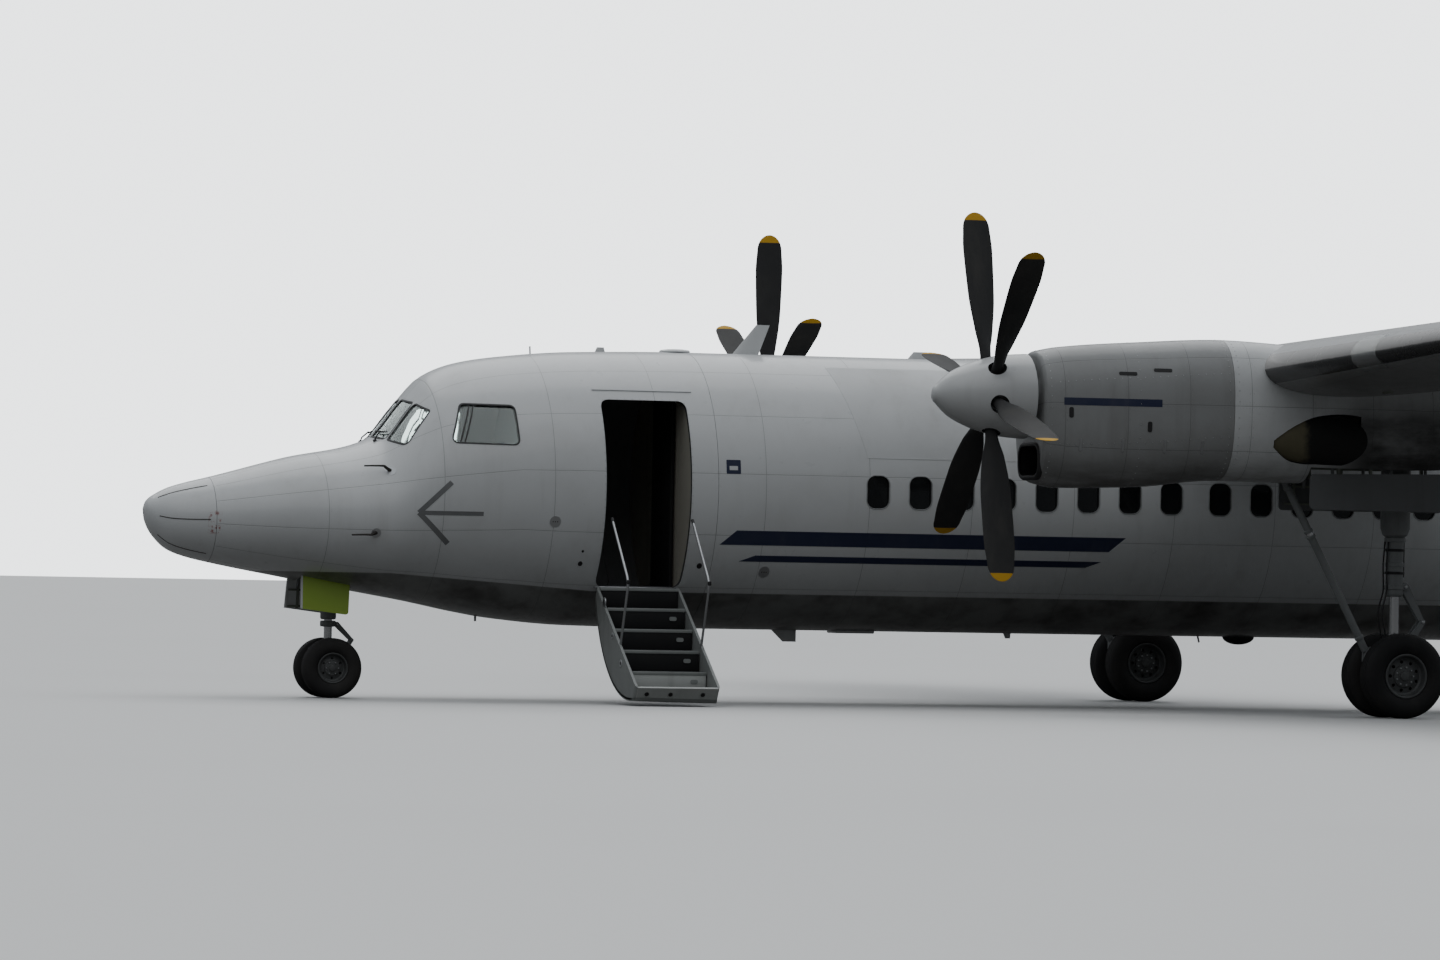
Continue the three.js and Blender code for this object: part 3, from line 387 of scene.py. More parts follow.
def box_outline(u0, u1, v0, v1):
    return [(u0, v0), (u1, v0), (u1, v1), (u0, v1)]


# Pieces


def mesh_of(name, shape, finishes, shift=True):
    """A Blender object from a shape, with merged points and faces that point outwards."""
    mesh = bpy.data.meshes.new(name)
    offset = AXLE if shift else 0.0
    mesh.from_pydata([(x + offset, y, z) for x, y, z in shape.points], [], shape.faces)
    mesh.polygons.foreach_set("material_index", shape.finishes)
    for material in finishes:
        mesh.materials.append(material)
    work = bmesh.new()
    work.from_mesh(mesh)
    bmesh.ops.remove_doubles(work, verts=work.verts[:], dist=MERGE)
    bmesh.ops.recalc_face_normals(work, faces=work.faces[:])
    work.to_mesh(mesh)
    work.free()
    obj = bpy.data.objects.new(name, mesh)
    bpy.context.scene.collection.objects.link(obj)
    return obj


def smooth(obj, crease=32):
    """Smooth shading that keeps edges sharper than an angle."""
    mesh = obj.data
    mesh.polygons.foreach_set("use_smooth", [True] * len(mesh.polygons))
    mesh.set_sharp_from_angle(angle=math.radians(crease))


def fitted(obj, body, stands_for=(), slot=None):
    """Puts a finished piece on its body and hides the nodes it stands for."""
    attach(obj, body)
    if stands_for:
        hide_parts(*stands_for)
    return obj


def piece(name, shape, body, finishes, stands_for=(), slot=None, crease=32):
    obj = mesh_of(name, shape, finishes)
    smooth(obj, crease)
    return fitted(obj, body, stands_for, slot)


def baked(obj):
    """The object's mesh with its modifiers worked in."""
    bpy.context.view_layer.update()
    graph = bpy.context.evaluated_depsgraph_get()
    final = obj.evaluated_get(graph)
    mesh = bpy.data.meshes.new_from_object(final, preserve_all_data_layers=True, depsgraph=graph)
    obj.modifiers.clear()
    old = obj.data
    obj.data = mesh
    bpy.data.meshes.remove(old)
    return obj


def carved(obj, cutters, operation="DIFFERENCE"):
    """Cuts or keeps what solid shapes cover; the cut faces take the shapes' finish number."""
    helpers = []
    for i, shape in enumerate(cutters):
        helper = mesh_of(f"{obj.name}_cutter_{i}", shape, list(obj.data.materials))
        modifier = obj.modifiers.new("cut", "BOOLEAN")
        modifier.operation = operation
        modifier.solver = "EXACT"
        modifier.object = helper
        helpers.append(helper)
    baked(obj)
    for helper in helpers:
        mesh = helper.data
        bpy.data.objects.remove(helper)
        bpy.data.meshes.remove(mesh)
    return obj


def faired(obj, normal_at, paint=0, near=0.9):
    """Gives the outer faces the normals of the surface that they approximate."""
    mesh = obj.data
    normals = np.zeros(len(mesh.loops) * 3, np.float32)
    mesh.corner_normals.foreach_get("vector", normals)
    normals = normals.reshape(-1, 3)
    for face in mesh.polygons:
        if face.material_index != paint:
            continue
        for loop in face.loop_indices:
            wanted = normal_at(mesh.vertices[mesh.loops[loop].vertex_index].co)
            if wanted.dot(face.normal) > near:
                normals[loop] = wanted
    mesh.normals_split_custom_set([tuple(n) for n in normals])
    return obj


def hull_normal_at(co):
    x = min(max(co.x - AXLE, NOSE_TIP + 0.02), TAIL_TIP - 0.02)
    crown, keel, half = HULL_LINES.at(x)
    rise = (crown - keel) / 2
    return hull_normal(x, math.atan2((co.z - (crown + keel) / 2) / rise, co.y / half))


# Materials


class Nodes:
    """Short ways to add nodes to one node tree."""

    def __init__(self, tree):
        self.tree = tree

    def add(self, kind, **settings):
        node = self.tree.nodes.new(kind)
        for key, value in settings.items():
            setattr(node, key, value)
        return node

    def put(self, socket, value):
        if isinstance(value, bpy.types.NodeSocket):
            self.tree.links.new(value, socket)
        elif value is not None:
            socket.default_value = value

    def maths(self, operation, a, b=None, c=None, clamp=False):
        node = self.add("ShaderNodeMath", operation=operation, use_clamp=clamp)
        for socket, value in zip(node.inputs, (a, b, c)):
            self.put(socket, value)
        return node.outputs[0]

    def times(self, a, b, clamp=False):
        return self.maths("MULTIPLY", a, b, clamp=clamp)

    def plus(self, a, b, clamp=False):
        return self.maths("ADD", a, b, clamp=clamp)

    def minus(self, a, b):
        return self.maths("SUBTRACT", a, b)

    def size(self, value):
        return self.maths("ABSOLUTE", value)

    def between(self, value, low, high, edge):
        """One between two values and zero outside them, with soft edges."""
        return self.times(self.ramp(value, low, low + edge), self.ramp(value, high - edge, high, 1.0, 0.0))

    def ramp(self, value, low, high, to_low=0.0, to_high=1.0, soft=True):
        kind = "SMOOTHSTEP" if soft else "LINEAR"
        node = self.add("ShaderNodeMapRange", interpolation_type=kind, clamp=True)
        for socket, given in zip(node.inputs, (value, low, high, to_low, to_high)):
            self.put(socket, given)
        return node.outputs[0]

    def noise(self, vector, scale, detail=3.0, rough=0.55, stretch=None):
        if stretch:
            mapping = self.add("ShaderNodeMapping")
            self.put(mapping.inputs["Vector"], vector)
            self.put(mapping.inputs["Scale"], stretch)
            vector = mapping.outputs[0]
        node = self.add("ShaderNodeTexNoise")
        self.put(node.inputs["Vector"], vector)
        self.put(node.inputs["Scale"], scale)
        self.put(node.inputs["Detail"], detail)
        self.put(node.inputs["Roughness"], rough)
        return node.outputs["Fac"]

    def mix(self, share, a, b, blend="MIX"):
        node = self.add("ShaderNodeMix", data_type="RGBA", blend_type=blend)
        colours = [s for s in node.inputs if s.type == "RGBA"]
        self.put(node.inputs[0], share)
        self.put(colours[0], a)
        self.put(colours[1], b)
        return [s for s in node.outputs if s.type == "RGBA"][0]

    def split(self, vector):
        node = self.add("ShaderNodeSeparateXYZ")
        self.put(node.inputs[0], vector)
        return node.outputs

    def nearest(self, value, pitch):
        """The distance from a value to the closest multiple of a pitch."""
        turns = self.maths("DIVIDE", value, pitch)
        off = self.maths("SUBTRACT", turns, self.maths("ROUND", turns))
        return self.maths("MULTIPLY", self.maths("ABSOLUTE", off), pitch)

    def rivet_rows(self, joints, gap=0.018, pitch=0.032):
        """Rows of rivet heads beside joints, from each joint's distance and the place along it."""
        rows = []
        for away, along in joints:
            off_row = self.maths("ABSOLUTE", self.maths("SUBTRACT", away, gap))
            rows.append(self.maths("MAXIMUM", off_row, self.nearest(along, pitch)))
        return self.ramp(self.maths("MINIMUM", *rows), 0.0015, 0.0035, 1.0, 0.0)

    def group(self, tree, **values):
        node = self.add("ShaderNodeGroup", node_tree=tree)
        for key, value in values.items():
            self.put(node.inputs[key.replace("_", " ")], value)
        return node.outputs


def rgba(colour):
    return (*colour, 1.0)


GROUPS = {}


def new_group(name, inputs, outputs):
    """An empty shader node group with named sockets."""
    tree = bpy.data.node_groups.new(name, "ShaderNodeTree")
    for label, kind, value in inputs:
        socket = tree.interface.new_socket(label, in_out="INPUT", socket_type=kind)
        if value is not None:
            socket.default_value = value
    for label, kind in outputs:
        tree.interface.new_socket(label, in_out="OUTPUT", socket_type=kind)
    nodes = Nodes(tree)
    source = nodes.add("NodeGroupInput").outputs
    target = nodes.add("NodeGroupOutput").inputs
    return tree, nodes, source, target


def weather_group():
    """Uneven paint: soft stains, rain streaks and fine grain over a base colour."""
    if "weather" in GROUPS:
        return GROUPS["weather"]
    tree, n, source, target = new_group(
        "Weathered finish",
        (
            ("Position", "NodeSocketVector", None),
            ("Base", "NodeSocketColor", (0.8, 0.8, 0.8, 1)),
            ("Grime", "NodeSocketColor", (0.2, 0.19, 0.17, 1)),
            ("Amount", "NodeSocketFloat", 0.3),
            ("Roughness", "NodeSocketFloat", 0.35),
            ("Grain", "NodeSocketFloat", 60.0),
        ),
        (("Colour", "NodeSocketColor"), ("Roughness", "NodeSocketFloat"), ("Height", "NodeSocketFloat")),
    )
    position = source["Position"]
    stains = n.ramp(n.noise(position, 0.9, 5.0, 0.62), 0.42, 0.78)
    streaks = n.ramp(n.noise(position, 1.0, 4.0, 0.6, stretch=(5.0, 5.0, 0.35)), 0.5, 0.8)
    specks = n.ramp(n.noise(position, source["Grain"], 2.0, 0.5), 0.62, 0.75)
    dirt = n.plus(n.times(stains, 0.55), n.times(streaks, 0.45))
    dirt = n.plus(dirt, n.times(specks, 0.12))
    share = n.times(dirt, source["Amount"], clamp=True)
    n.put(target["Colour"], n.mix(share, source["Base"], source["Grime"]))
    uneven = n.maths("MULTIPLY_ADD", n.noise(position, 7.0, 4.0), 0.16, -0.08)
    rough = n.plus(source["Roughness"], n.plus(uneven, n.times(share, 0.35)), clamp=True)
    n.put(target["Roughness"], rough)
    n.put(target["Height"], n.plus(n.noise(position, 3.0, 2.0), n.times(specks, 0.05)))
    GROUPS["weather"] = tree
    return tree


def weathered(n, position, base, grime, amount, roughness, grain):
    """The colour, roughness and height of the uneven paint."""
    return n.group(
        weather_group(), Position=position, Base=rgba(base), Grime=rgba(grime),
        Amount=amount, Roughness=roughness, Grain=grain,
    )


def coated(n, shader, colour, rough):
    n.put(shader.inputs["Base Color"], colour)
    n.put(shader.inputs["Roughness"], rough)


def seam_group():
    """Panel joints: hoops at an even pitch along X, and lines at even angles about the body's axis."""
    if "seam" in GROUPS:
        return GROUPS["seam"]
    tree, n, source, target = new_group(
        "Panel joints",
        (
            ("Position", "NodeSocketVector", None),
            ("Pitch", "NodeSocketFloat", 1.0),
            ("Offset", "NodeSocketFloat", 0.0),
            ("Strips", "NodeSocketFloat", 12.0),
            ("Axis height", "NodeSocketFloat", 2.1),
            ("Axis side", "NodeSocketFloat", 0.0),
            ("Width", "NodeSocketFloat", 0.004),
        ),
        (("Line", "NodeSocketFloat"), ("Rivets", "NodeSocketFloat")),
    )
    x, y, z = n.split(source["Position"])
    y = n.minus(y, source["Axis side"])
    z = n.minus(z, source["Axis height"])
    radius = n.maths("SQRT", n.plus(n.times(y, y), n.times(z, z)))

    hoop = n.nearest(n.plus(x, source["Offset"]), source["Pitch"])
    angle = n.maths("ARCTAN2", z, y)
    strip = n.maths("DIVIDE", 2 * math.pi, source["Strips"])
    lengthwise = n.times(n.nearest(n.plus(angle, 0.11), strip), radius)
    closest = n.maths("MINIMUM", hoop, lengthwise)
    n.put(target["Line"], n.ramp(closest, n.times(source["Width"], 0.4), source["Width"], 1.0, 0.0))
    n.put(target["Rivets"], n.rivet_rows(((hoop, n.times(angle, radius)), (lengthwise, x))))
    GROUPS["seam"] = tree
    return tree


def base_material(name, metallic=0.0, coat=0.0):
    """A material with its object position and its shader."""
    material = bpy.data.materials.new(name)
    material.use_nodes = True
    material.node_tree.nodes.clear()
    n = Nodes(material.node_tree)
    shader = n.add("ShaderNodeBsdfPrincipled")
    shader.inputs["Metallic"].default_value = metallic
    shader.inputs["Coat Weight"].default_value = coat
    shader.inputs["Coat Roughness"].default_value = 0.12
    output = n.add("ShaderNodeOutputMaterial")
    n.put(output.inputs["Surface"], shader.outputs[0])
    position = n.add("ShaderNodeTexCoord").outputs["Object"]
    return material, n, shader, position


def bumped(n, shader, height, strength, distance):
    node = n.add("ShaderNodeBump")
    n.put(node.inputs["Height"], height)
    node.inputs["Strength"].default_value = strength
    node.inputs["Distance"].default_value = distance
    n.put(shader.inputs["Normal"], node.outputs[0])


def worn(name, base, grime, amount, roughness, metallic=0.0, coat=0.0, grain=60.0, bump=0.25, depth=0.004):
    """A painted, moulded or metal surface with stains, streaks and uneven gloss."""
    material, n, shader, position = base_material(name, metallic, coat)
    colour, rough, height = weathered(n, position, base, grime, amount, roughness, grain)
    coated(n, shader, colour, rough)
    bumped(n, shader, height, bump, depth)
    return material


MATERIALS = {}

# Top of the grey belly paint: station and height at the nose, and where it levels out
BELLY_LINE = ((0.44, 1.225), (2.4, 1.085))
# Worn patch on the nose: from, to and soft edge, along the body and upwards
WORN_PATCH = {"along": (-1.315, -1.175, 0.025), "up": (1.56, 1.81, 0.04)}


def hull_paint():
    """White paint with a grey belly, panel joints and rivet rows."""
    look = bpy.context.scene.airliner_colours
    material, n, shader, position = base_material("fuselage_paint", coat=0.35)
    colour, rough, height = weathered(n, position, look.white, (0.33, 0.32, 0.29), 0.30, 0.30, 45.0)
    x, _, z = n.split(position)
    (front, front_height), (rear, rear_height) = BELLY_LINE
    belly_line = n.ramp(x, front + AXLE, rear + AXLE, front_height, rear_height, soft=False)
    belly = n.ramp(n.minus(z, belly_line), -0.004, 0.004, 1.0, 0.0)
    belly_colour = n.mix(
        n.ramp(n.noise(position, 2.2, 5.0), 0.35, 0.75), rgba(look.belly), (0.11, 0.105, 0.10, 1),
    )
    colour = n.mix(belly, colour, belly_colour)
    axis = n.ramp(x, NOSE_TIP + AXLE, 1.6 + AXLE, 1.78, 2.1, soft=False)
    line, rivets = n.group(
        seam_group(), Position=position, Pitch=1.06, Offset=0.37, Strips=14.0,
        Axis_height=axis, Axis_side=0.0, Width=0.0045,
    )
    jointed = n.ramp(x, RADOME_JOINT + AXLE, RADOME_JOINT + AXLE + 0.02)
    line, rivets = n.times(line, jointed), n.times(rivets, jointed)
    near, far, edge = WORN_PATCH["along"]
    scuffed = n.times(n.between(x, near + AXLE, far + AXLE, edge), n.between(z, *WORN_PATCH["up"]))
    scuffed = n.times(scuffed, n.ramp(n.noise(position, 22.0, 4.0, 0.7), 0.50, 0.60))
    colour = n.mix(n.times(scuffed, 0.75), colour, (0.30, 0.045, 0.03, 1))
    colour = n.mix(n.times(line, 0.42), colour, (0.12, 0.12, 0.115, 1))
    colour = n.mix(n.times(rivets, 0.16), colour, (0.2, 0.2, 0.19, 1))
    coated(n, shader, colour, n.plus(rough, n.times(belly, 0.15), clamp=True))
    relief = n.minus(n.times(height, 0.3), n.times(line, 1.0))
    relief = n.minus(relief, n.times(rivets, 0.4))
    bumped(n, shader, relief, 0.5, 0.0025)
    return material


def joint_group():
    """Panel joints of a wing or fin: ribs at an even pitch, and lines that follow its sweep."""
    if "joints" in GROUPS:
        return GROUPS["joints"]
    tree, n, source, target = new_group(
        "Surface joints",
        (
            ("Along", "NodeSocketFloat", 0.0),
            ("Across", "NodeSocketFloat", 0.0),
            ("Rib pitch", "NodeSocketFloat", 1.2),
            ("Line pitch", "NodeSocketFloat", 0.8),
            ("Width", "NodeSocketFloat", 0.004),
        ),
        (("Line", "NodeSocketFloat"), ("Rivets", "NodeSocketFloat")),
    )
    rib = n.nearest(source["Along"], source["Rib pitch"])
    line = n.nearest(source["Across"], source["Line pitch"])
    closest = n.maths("MINIMUM", rib, line)
    n.put(target["Line"], n.ramp(closest, n.times(source["Width"], 0.4), source["Width"], 1.0, 0.0))
    n.put(target["Rivets"], n.rivet_rows(((rib, source["Across"]), (line, source["Along"]))))
    GROUPS["joints"] = tree
    return tree


def surface_paint(name, base, span, sweep):
    """Paint of a wing, tailplane or fin with panel joints, rivet rows, dirt from the airstream, and painted
    shade on the undersides of the wing and tailplane.
    """
    material, n, shader, position = base_material(name, coat=0.15)
    colour, rough, height = weathered(n, position, base, (0.20, 0.19, 0.17), 0.36, 0.40, 45.0)
    x, y, z = n.split(position)
    along = n.size(y) if span == "y" else z
    across = n.minus(x, n.times(along, sweep))
    line, rivets = n.group(
        joint_group(), Along=along, Across=across, Rib_pitch=1.13, Line_pitch=0.74, Width=0.004,
    )
    streaks = n.ramp(n.noise(position, 1.6, 5.0, 0.6, stretch=(0.3, 3.0, 3.0)), 0.48, 0.76)
    colour = n.mix(n.times(streaks, 0.22), colour, (0.16, 0.15, 0.135, 1))
    # Painted shade: faces of the wing and tailplane that point down are darkened
    if span == "y":
        _, _, facing = n.split(n.add("ShaderNodeTexCoord").outputs["Normal"])
        colour = n.mix(n.ramp(facing, -0.15, -0.6, 0.0, 0.6), colour, (0.13, 0.13, 0.125, 1))
    colour = n.mix(n.times(line, 0.45), colour, (0.10, 0.10, 0.095, 1))
    colour = n.mix(n.times(rivets, 0.2), colour, (0.17, 0.17, 0.16, 1))
    coated(n, shader, colour, rough)
    relief = n.minus(n.times(height, 0.3), n.plus(line, n.times(rivets, 0.4)))
    bumped(n, shader, relief, 0.5, 0.002)
    return material


def ice_boot():
    """Black rubber along a leading edge, with a painted sky reflection in pale grey on its upper half."""
    material, n, shader, position = base_material("leading_edge_rubber", coat=0.25)
    colour, rough, height = weathered(
        n, position, (0.024, 0.024, 0.025), (0.10, 0.095, 0.085), 0.35, 0.24, 80.0,
    )
    _, y, _ = n.split(position)
    _, _, facing_up = n.split(n.add("ShaderNodeTexCoord").outputs["Normal"])
    off_centre = n.ramp(n.size(y), 0.5, 0.8)
    # Painted reflection: the upper half of the edge, away from the fuselage middle, turns pale grey as if
    # it mirrored the sky
    upper = n.ramp(n.maths("MULTIPLY_ADD", n.noise(position, 6.0, 3.0), 0.10, facing_up), -0.02, 0.14)
    painted_sky_reflection = n.mix(n.noise(position, 3.0, 4.0), (0.40, 0.385, 0.37, 1), (0.50, 0.485, 0.47, 1))
    coated(n, shader, n.mix(n.times(upper, off_centre), colour, painted_sky_reflection), rough)
    shader.inputs["Coat Roughness"].default_value = 0.18
    bumped(n, shader, height, 0.12, 0.002)
    return material


def nacelle_paint(name, base, side):
    """Paint of an engine nacelle with panel joints, oil stains below, and exhaust soot behind the outboard
    exhaust, made dark enough to be painted shade from the wing as well.
    """
    material, n, shader, position = base_material(name, coat=0.25)
    colour, rough, height = weathered(n, position, base, (0.10, 0.09, 0.075), 0.42, 0.36, 30.0)
    x, y, z = n.split(position)
    low = n.ramp(z, 2.55, 2.15, 0.0, 0.55)
    oil = n.times(low, n.ramp(n.noise(position, 3.2, 6.0, 0.65, stretch=(0.35, 1.0, 1.4)), 0.38, 0.66))
    colour = n.mix(oil, colour, (0.055, 0.048, 0.04, 1))
    # Exhaust soot on the outboard side behind the exhaust: partly real soot, partly painted shade of the
    # wing over the nacelle
    out = n.minus(n.times(y, float(side)), ENGINE_SIDE)
    start = EXHAUST[-1][0] + AXLE
    soot = n.times(n.ramp(x, start - 0.45, start + 0.15), n.ramp(x, start + 0.6, start + 2.6, 1.0, 0.25))
    rise = n.size(n.minus(z, 2.60))
    soot = n.times(soot, n.times(n.ramp(rise, 0.16, 0.55, 1.0, 0.15), n.ramp(out, 0.0, 0.3)))
    cloud = n.ramp(n.noise(position, 2.4, 5.0, 0.6, stretch=(0.5, 1.0, 1.3)), 0.2, 0.62, 0.55, 1.0)
    colour = n.mix(n.times(soot, cloud, clamp=True), colour, (0.022, 0.021, 0.020, 1))
    line, rivets = n.group(
        seam_group(), Position=position, Pitch=0.62, Offset=0.28, Strips=8.0,
        Axis_height=2.9, Axis_side=side * ENGINE_SIDE, Width=0.004,
    )
    colour = n.mix(n.times(line, 0.5), colour, (0.08, 0.08, 0.08, 1))
    colour = n.mix(n.times(rivets, 0.3), colour, (0.13, 0.13, 0.13, 1))
    coated(n, shader, colour, rough)
    relief = n.minus(n.times(height, 0.3), line)
    bumped(n, shader, relief, 0.5, 0.002)
    return material


def brushed_metal(name, base, roughness, grime_amount=0.25):
    """Bare metal with fine lengthwise scratches."""
    material, n, shader, position = base_material(name, metallic=0.92)
    colour, rough, height = weathered(n, position, base, (0.12, 0.11, 0.10), grime_amount, roughness, 120.0)
    scratches = n.noise(position, 90.0, 3.0, 0.6, stretch=(0.06, 1.0, 1.0))
    coated(n, shader, colour, n.plus(rough, n.maths("MULTIPLY_ADD", scratches, 0.18, -0.09), clamp=True))
    bumped(n, shader, n.plus(height, n.times(scratches, 0.4)), 0.15, 0.0012)
    return material


def rubber():
    """Tyre rubber, greyer and duller where it is dusty."""
    return worn(
        "tyre_rubber", (0.020, 0.020, 0.021), (0.11, 0.10, 0.09), 0.55, 0.78, grain=90.0, bump=0.4,
        depth=0.002,
    )


def window_glass():
    """Cabin window panes: painted dark as the shade of the unlit cabin behind, with the window blind and
    lining just showing.
    """
    material, n, shader, position = base_material("cabin_glass", coat=1.0)
    # The pane's near-black colour is painted shade of the cabin behind it
    _, _, z = n.split(position)
    shade = n.ramp(z, 2.16, 2.24)
    uneven = n.ramp(n.noise(position, 1.1, 1.0), 0.35, 0.7)
    coated(
        n,
        shader,
        n.mix(n.times(shade, uneven), (0.010, 0.012, 0.013, 1), (0.05, 0.055, 0.055, 1)),
        n.ramp(n.noise(position, 6.0, 3.0), 0.3, 0.7, 0.05, 0.13),
    )
    shader.inputs["Coat Roughness"].default_value = 0.03
    bumped(n, shader, n.noise(position, 2.0, 1.0), 0.06, 0.01)
    return material


def clear_glass():
    """Flight deck glazing with a faint green tint."""
    material, n, shader, position = base_material("flight_deck_glass")
    shader.inputs["Transmission Weight"].default_value = 1.0
    shader.inputs["IOR"].default_value = 1.45
    coated(
        n,
        shader,
        n.mix(n.noise(position, 2.0), (0.80, 0.90, 0.87, 1), (0.86, 0.93, 0.91, 1)),
        n.ramp(n.noise(position, 12.0, 4.0), 0.55, 0.8, 0.0, 0.02),
    )
    return material


def lens(name, colour):
    """Clear or coloured lamp glass with moulded ridges."""
    material, n, shader, position = base_material(name, coat=0.6)
    shader.inputs["Transmission Weight"].default_value = 0.75
    _, y, z = n.split(position)
    ridges = n.maths("SINE", n.times(n.plus(y, z), 420.0))
    tone = n.ramp(n.noise(position, 40.0), 0.3, 0.7)
    coated(
        n,
        shader,
        n.mix(tone, rgba(colour), rgba(tuple(c * 0.86 for c in colour))),
        n.ramp(n.noise(position, 25.0), 0.3, 0.8, 0.04, 0.16),
    )
    bumped(n, shader, ridges, 0.25, 0.001)
    return material


def burnt_pipe():
    """Heat-stained exhaust steel: brown where it leaves the nacelle and sooty behind."""
    material, n, shader, position = base_material("exhaust_steel", metallic=0.35)
    colour, rough, height = weathered(
        n, position, (0.17, 0.155, 0.095), (0.05, 0.044, 0.03), 0.6, 0.58, 35.0,
    )
    x, _, _ = n.split(position)
    wavy = n.maths("MULTIPLY_ADD", n.noise(position, 9.0, 4.0), 0.14, -0.07)
    soot = n.ramp(n.plus(x, wavy), EXHAUST[0][0] + 0.26 + AXLE, EXHAUST[0][0] + 0.36 + AXLE)
    coated(n, shader, n.mix(soot, colour, (0.020, 0.020, 0.019, 1)), rough)
    bumped(n, shader, height, 0.3, 0.003)
    return material


def screen_glass():
    """Dark display glass, unlit."""
    material, n, shader, position = base_material("display_glass", coat=1.0)
    coated(
        n,
        shader,
        n.mix(n.noise(position, 30.0), (0.008, 0.009, 0.011, 1), (0.02, 0.022, 0.025, 1)),
        n.ramp(n.noise(position, 60.0), 0.3, 0.7, 0.06, 0.14),
    )
    bumped(n, shader, n.noise(position, 200.0), 0.03, 0.0005)
    return material


def seat_cloth():
    """Woven seat cloth over a soft pad."""
    material, n, shader, position = base_material("seat_cloth")
    x, y, z = n.split(position)
    shader.inputs["Sheen Weight"].default_value = 0.3
    pitch = 900.0
    across = n.maths("SINE", n.times(y, pitch))
    along = n.maths("SINE", n.times(n.plus(x, z), pitch))
    weave = n.times(across, along)
    colour, rough, height = weathered(
        n, position, (0.035, 0.045, 0.075), (0.10, 0.10, 0.11), 0.3, 0.9, 200.0,
    )
    coated(n, shader, colour, rough)
    bumped(n, shader, n.plus(height, n.times(weave, 0.3)), 0.4, 0.001)
    return material


def blade_black():
    """Satin black blades with yellow bands at the tips."""
    look = bpy.context.scene.airliner_colours
    material, n, shader, position = base_material("blade_black")
    shader.inputs["Specular IOR Level"].default_value = 0.22
    _, y, z = n.split(position)
    across = n.minus(n.size(y), ENGINE_SIDE)
    up = n.minus(z, PROP_HEIGHT)
    radius = n.maths("SQRT", n.plus(n.times(across, across), n.times(up, up)))
    colour, rough, height = weathered(
        n, position, (0.044, 0.044, 0.045), (0.13, 0.125, 0.11), 0.5, 0.58, 70.0,
    )
    band = n.ramp(radius, 1.745, 1.752)
    colour = n.mix(band, colour, rgba(look.blade_tip))
    coated(n, shader, colour, rough)
    bumped(n, shader, height, 0.25, 0.002)
    return material


def apron():
    """Pale floor with a faint unevenness."""
    material, n, shader, position = base_material("pale_floor")
    soft = n.noise(position, 0.12, 4.0)
    fine = n.noise(position, 9.0, 5.0, 0.6)
    shade = n.maths("MULTIPLY_ADD", fine, 0.25, n.times(soft, 0.5))
    seen = n.mix(shade, (0.84, 0.84, 0.83, 1), (0.90, 0.90, 0.89, 1))
    direct = n.add("ShaderNodeLightPath").outputs["Is Camera Ray"]
    coated(n, shader, n.mix(direct, (0.10, 0.098, 0.095, 1), seen), n.ramp(soft, 0.3, 0.7, 0.5, 0.68))
    bumped(n, shader, fine, 0.12, 0.003)
    return material


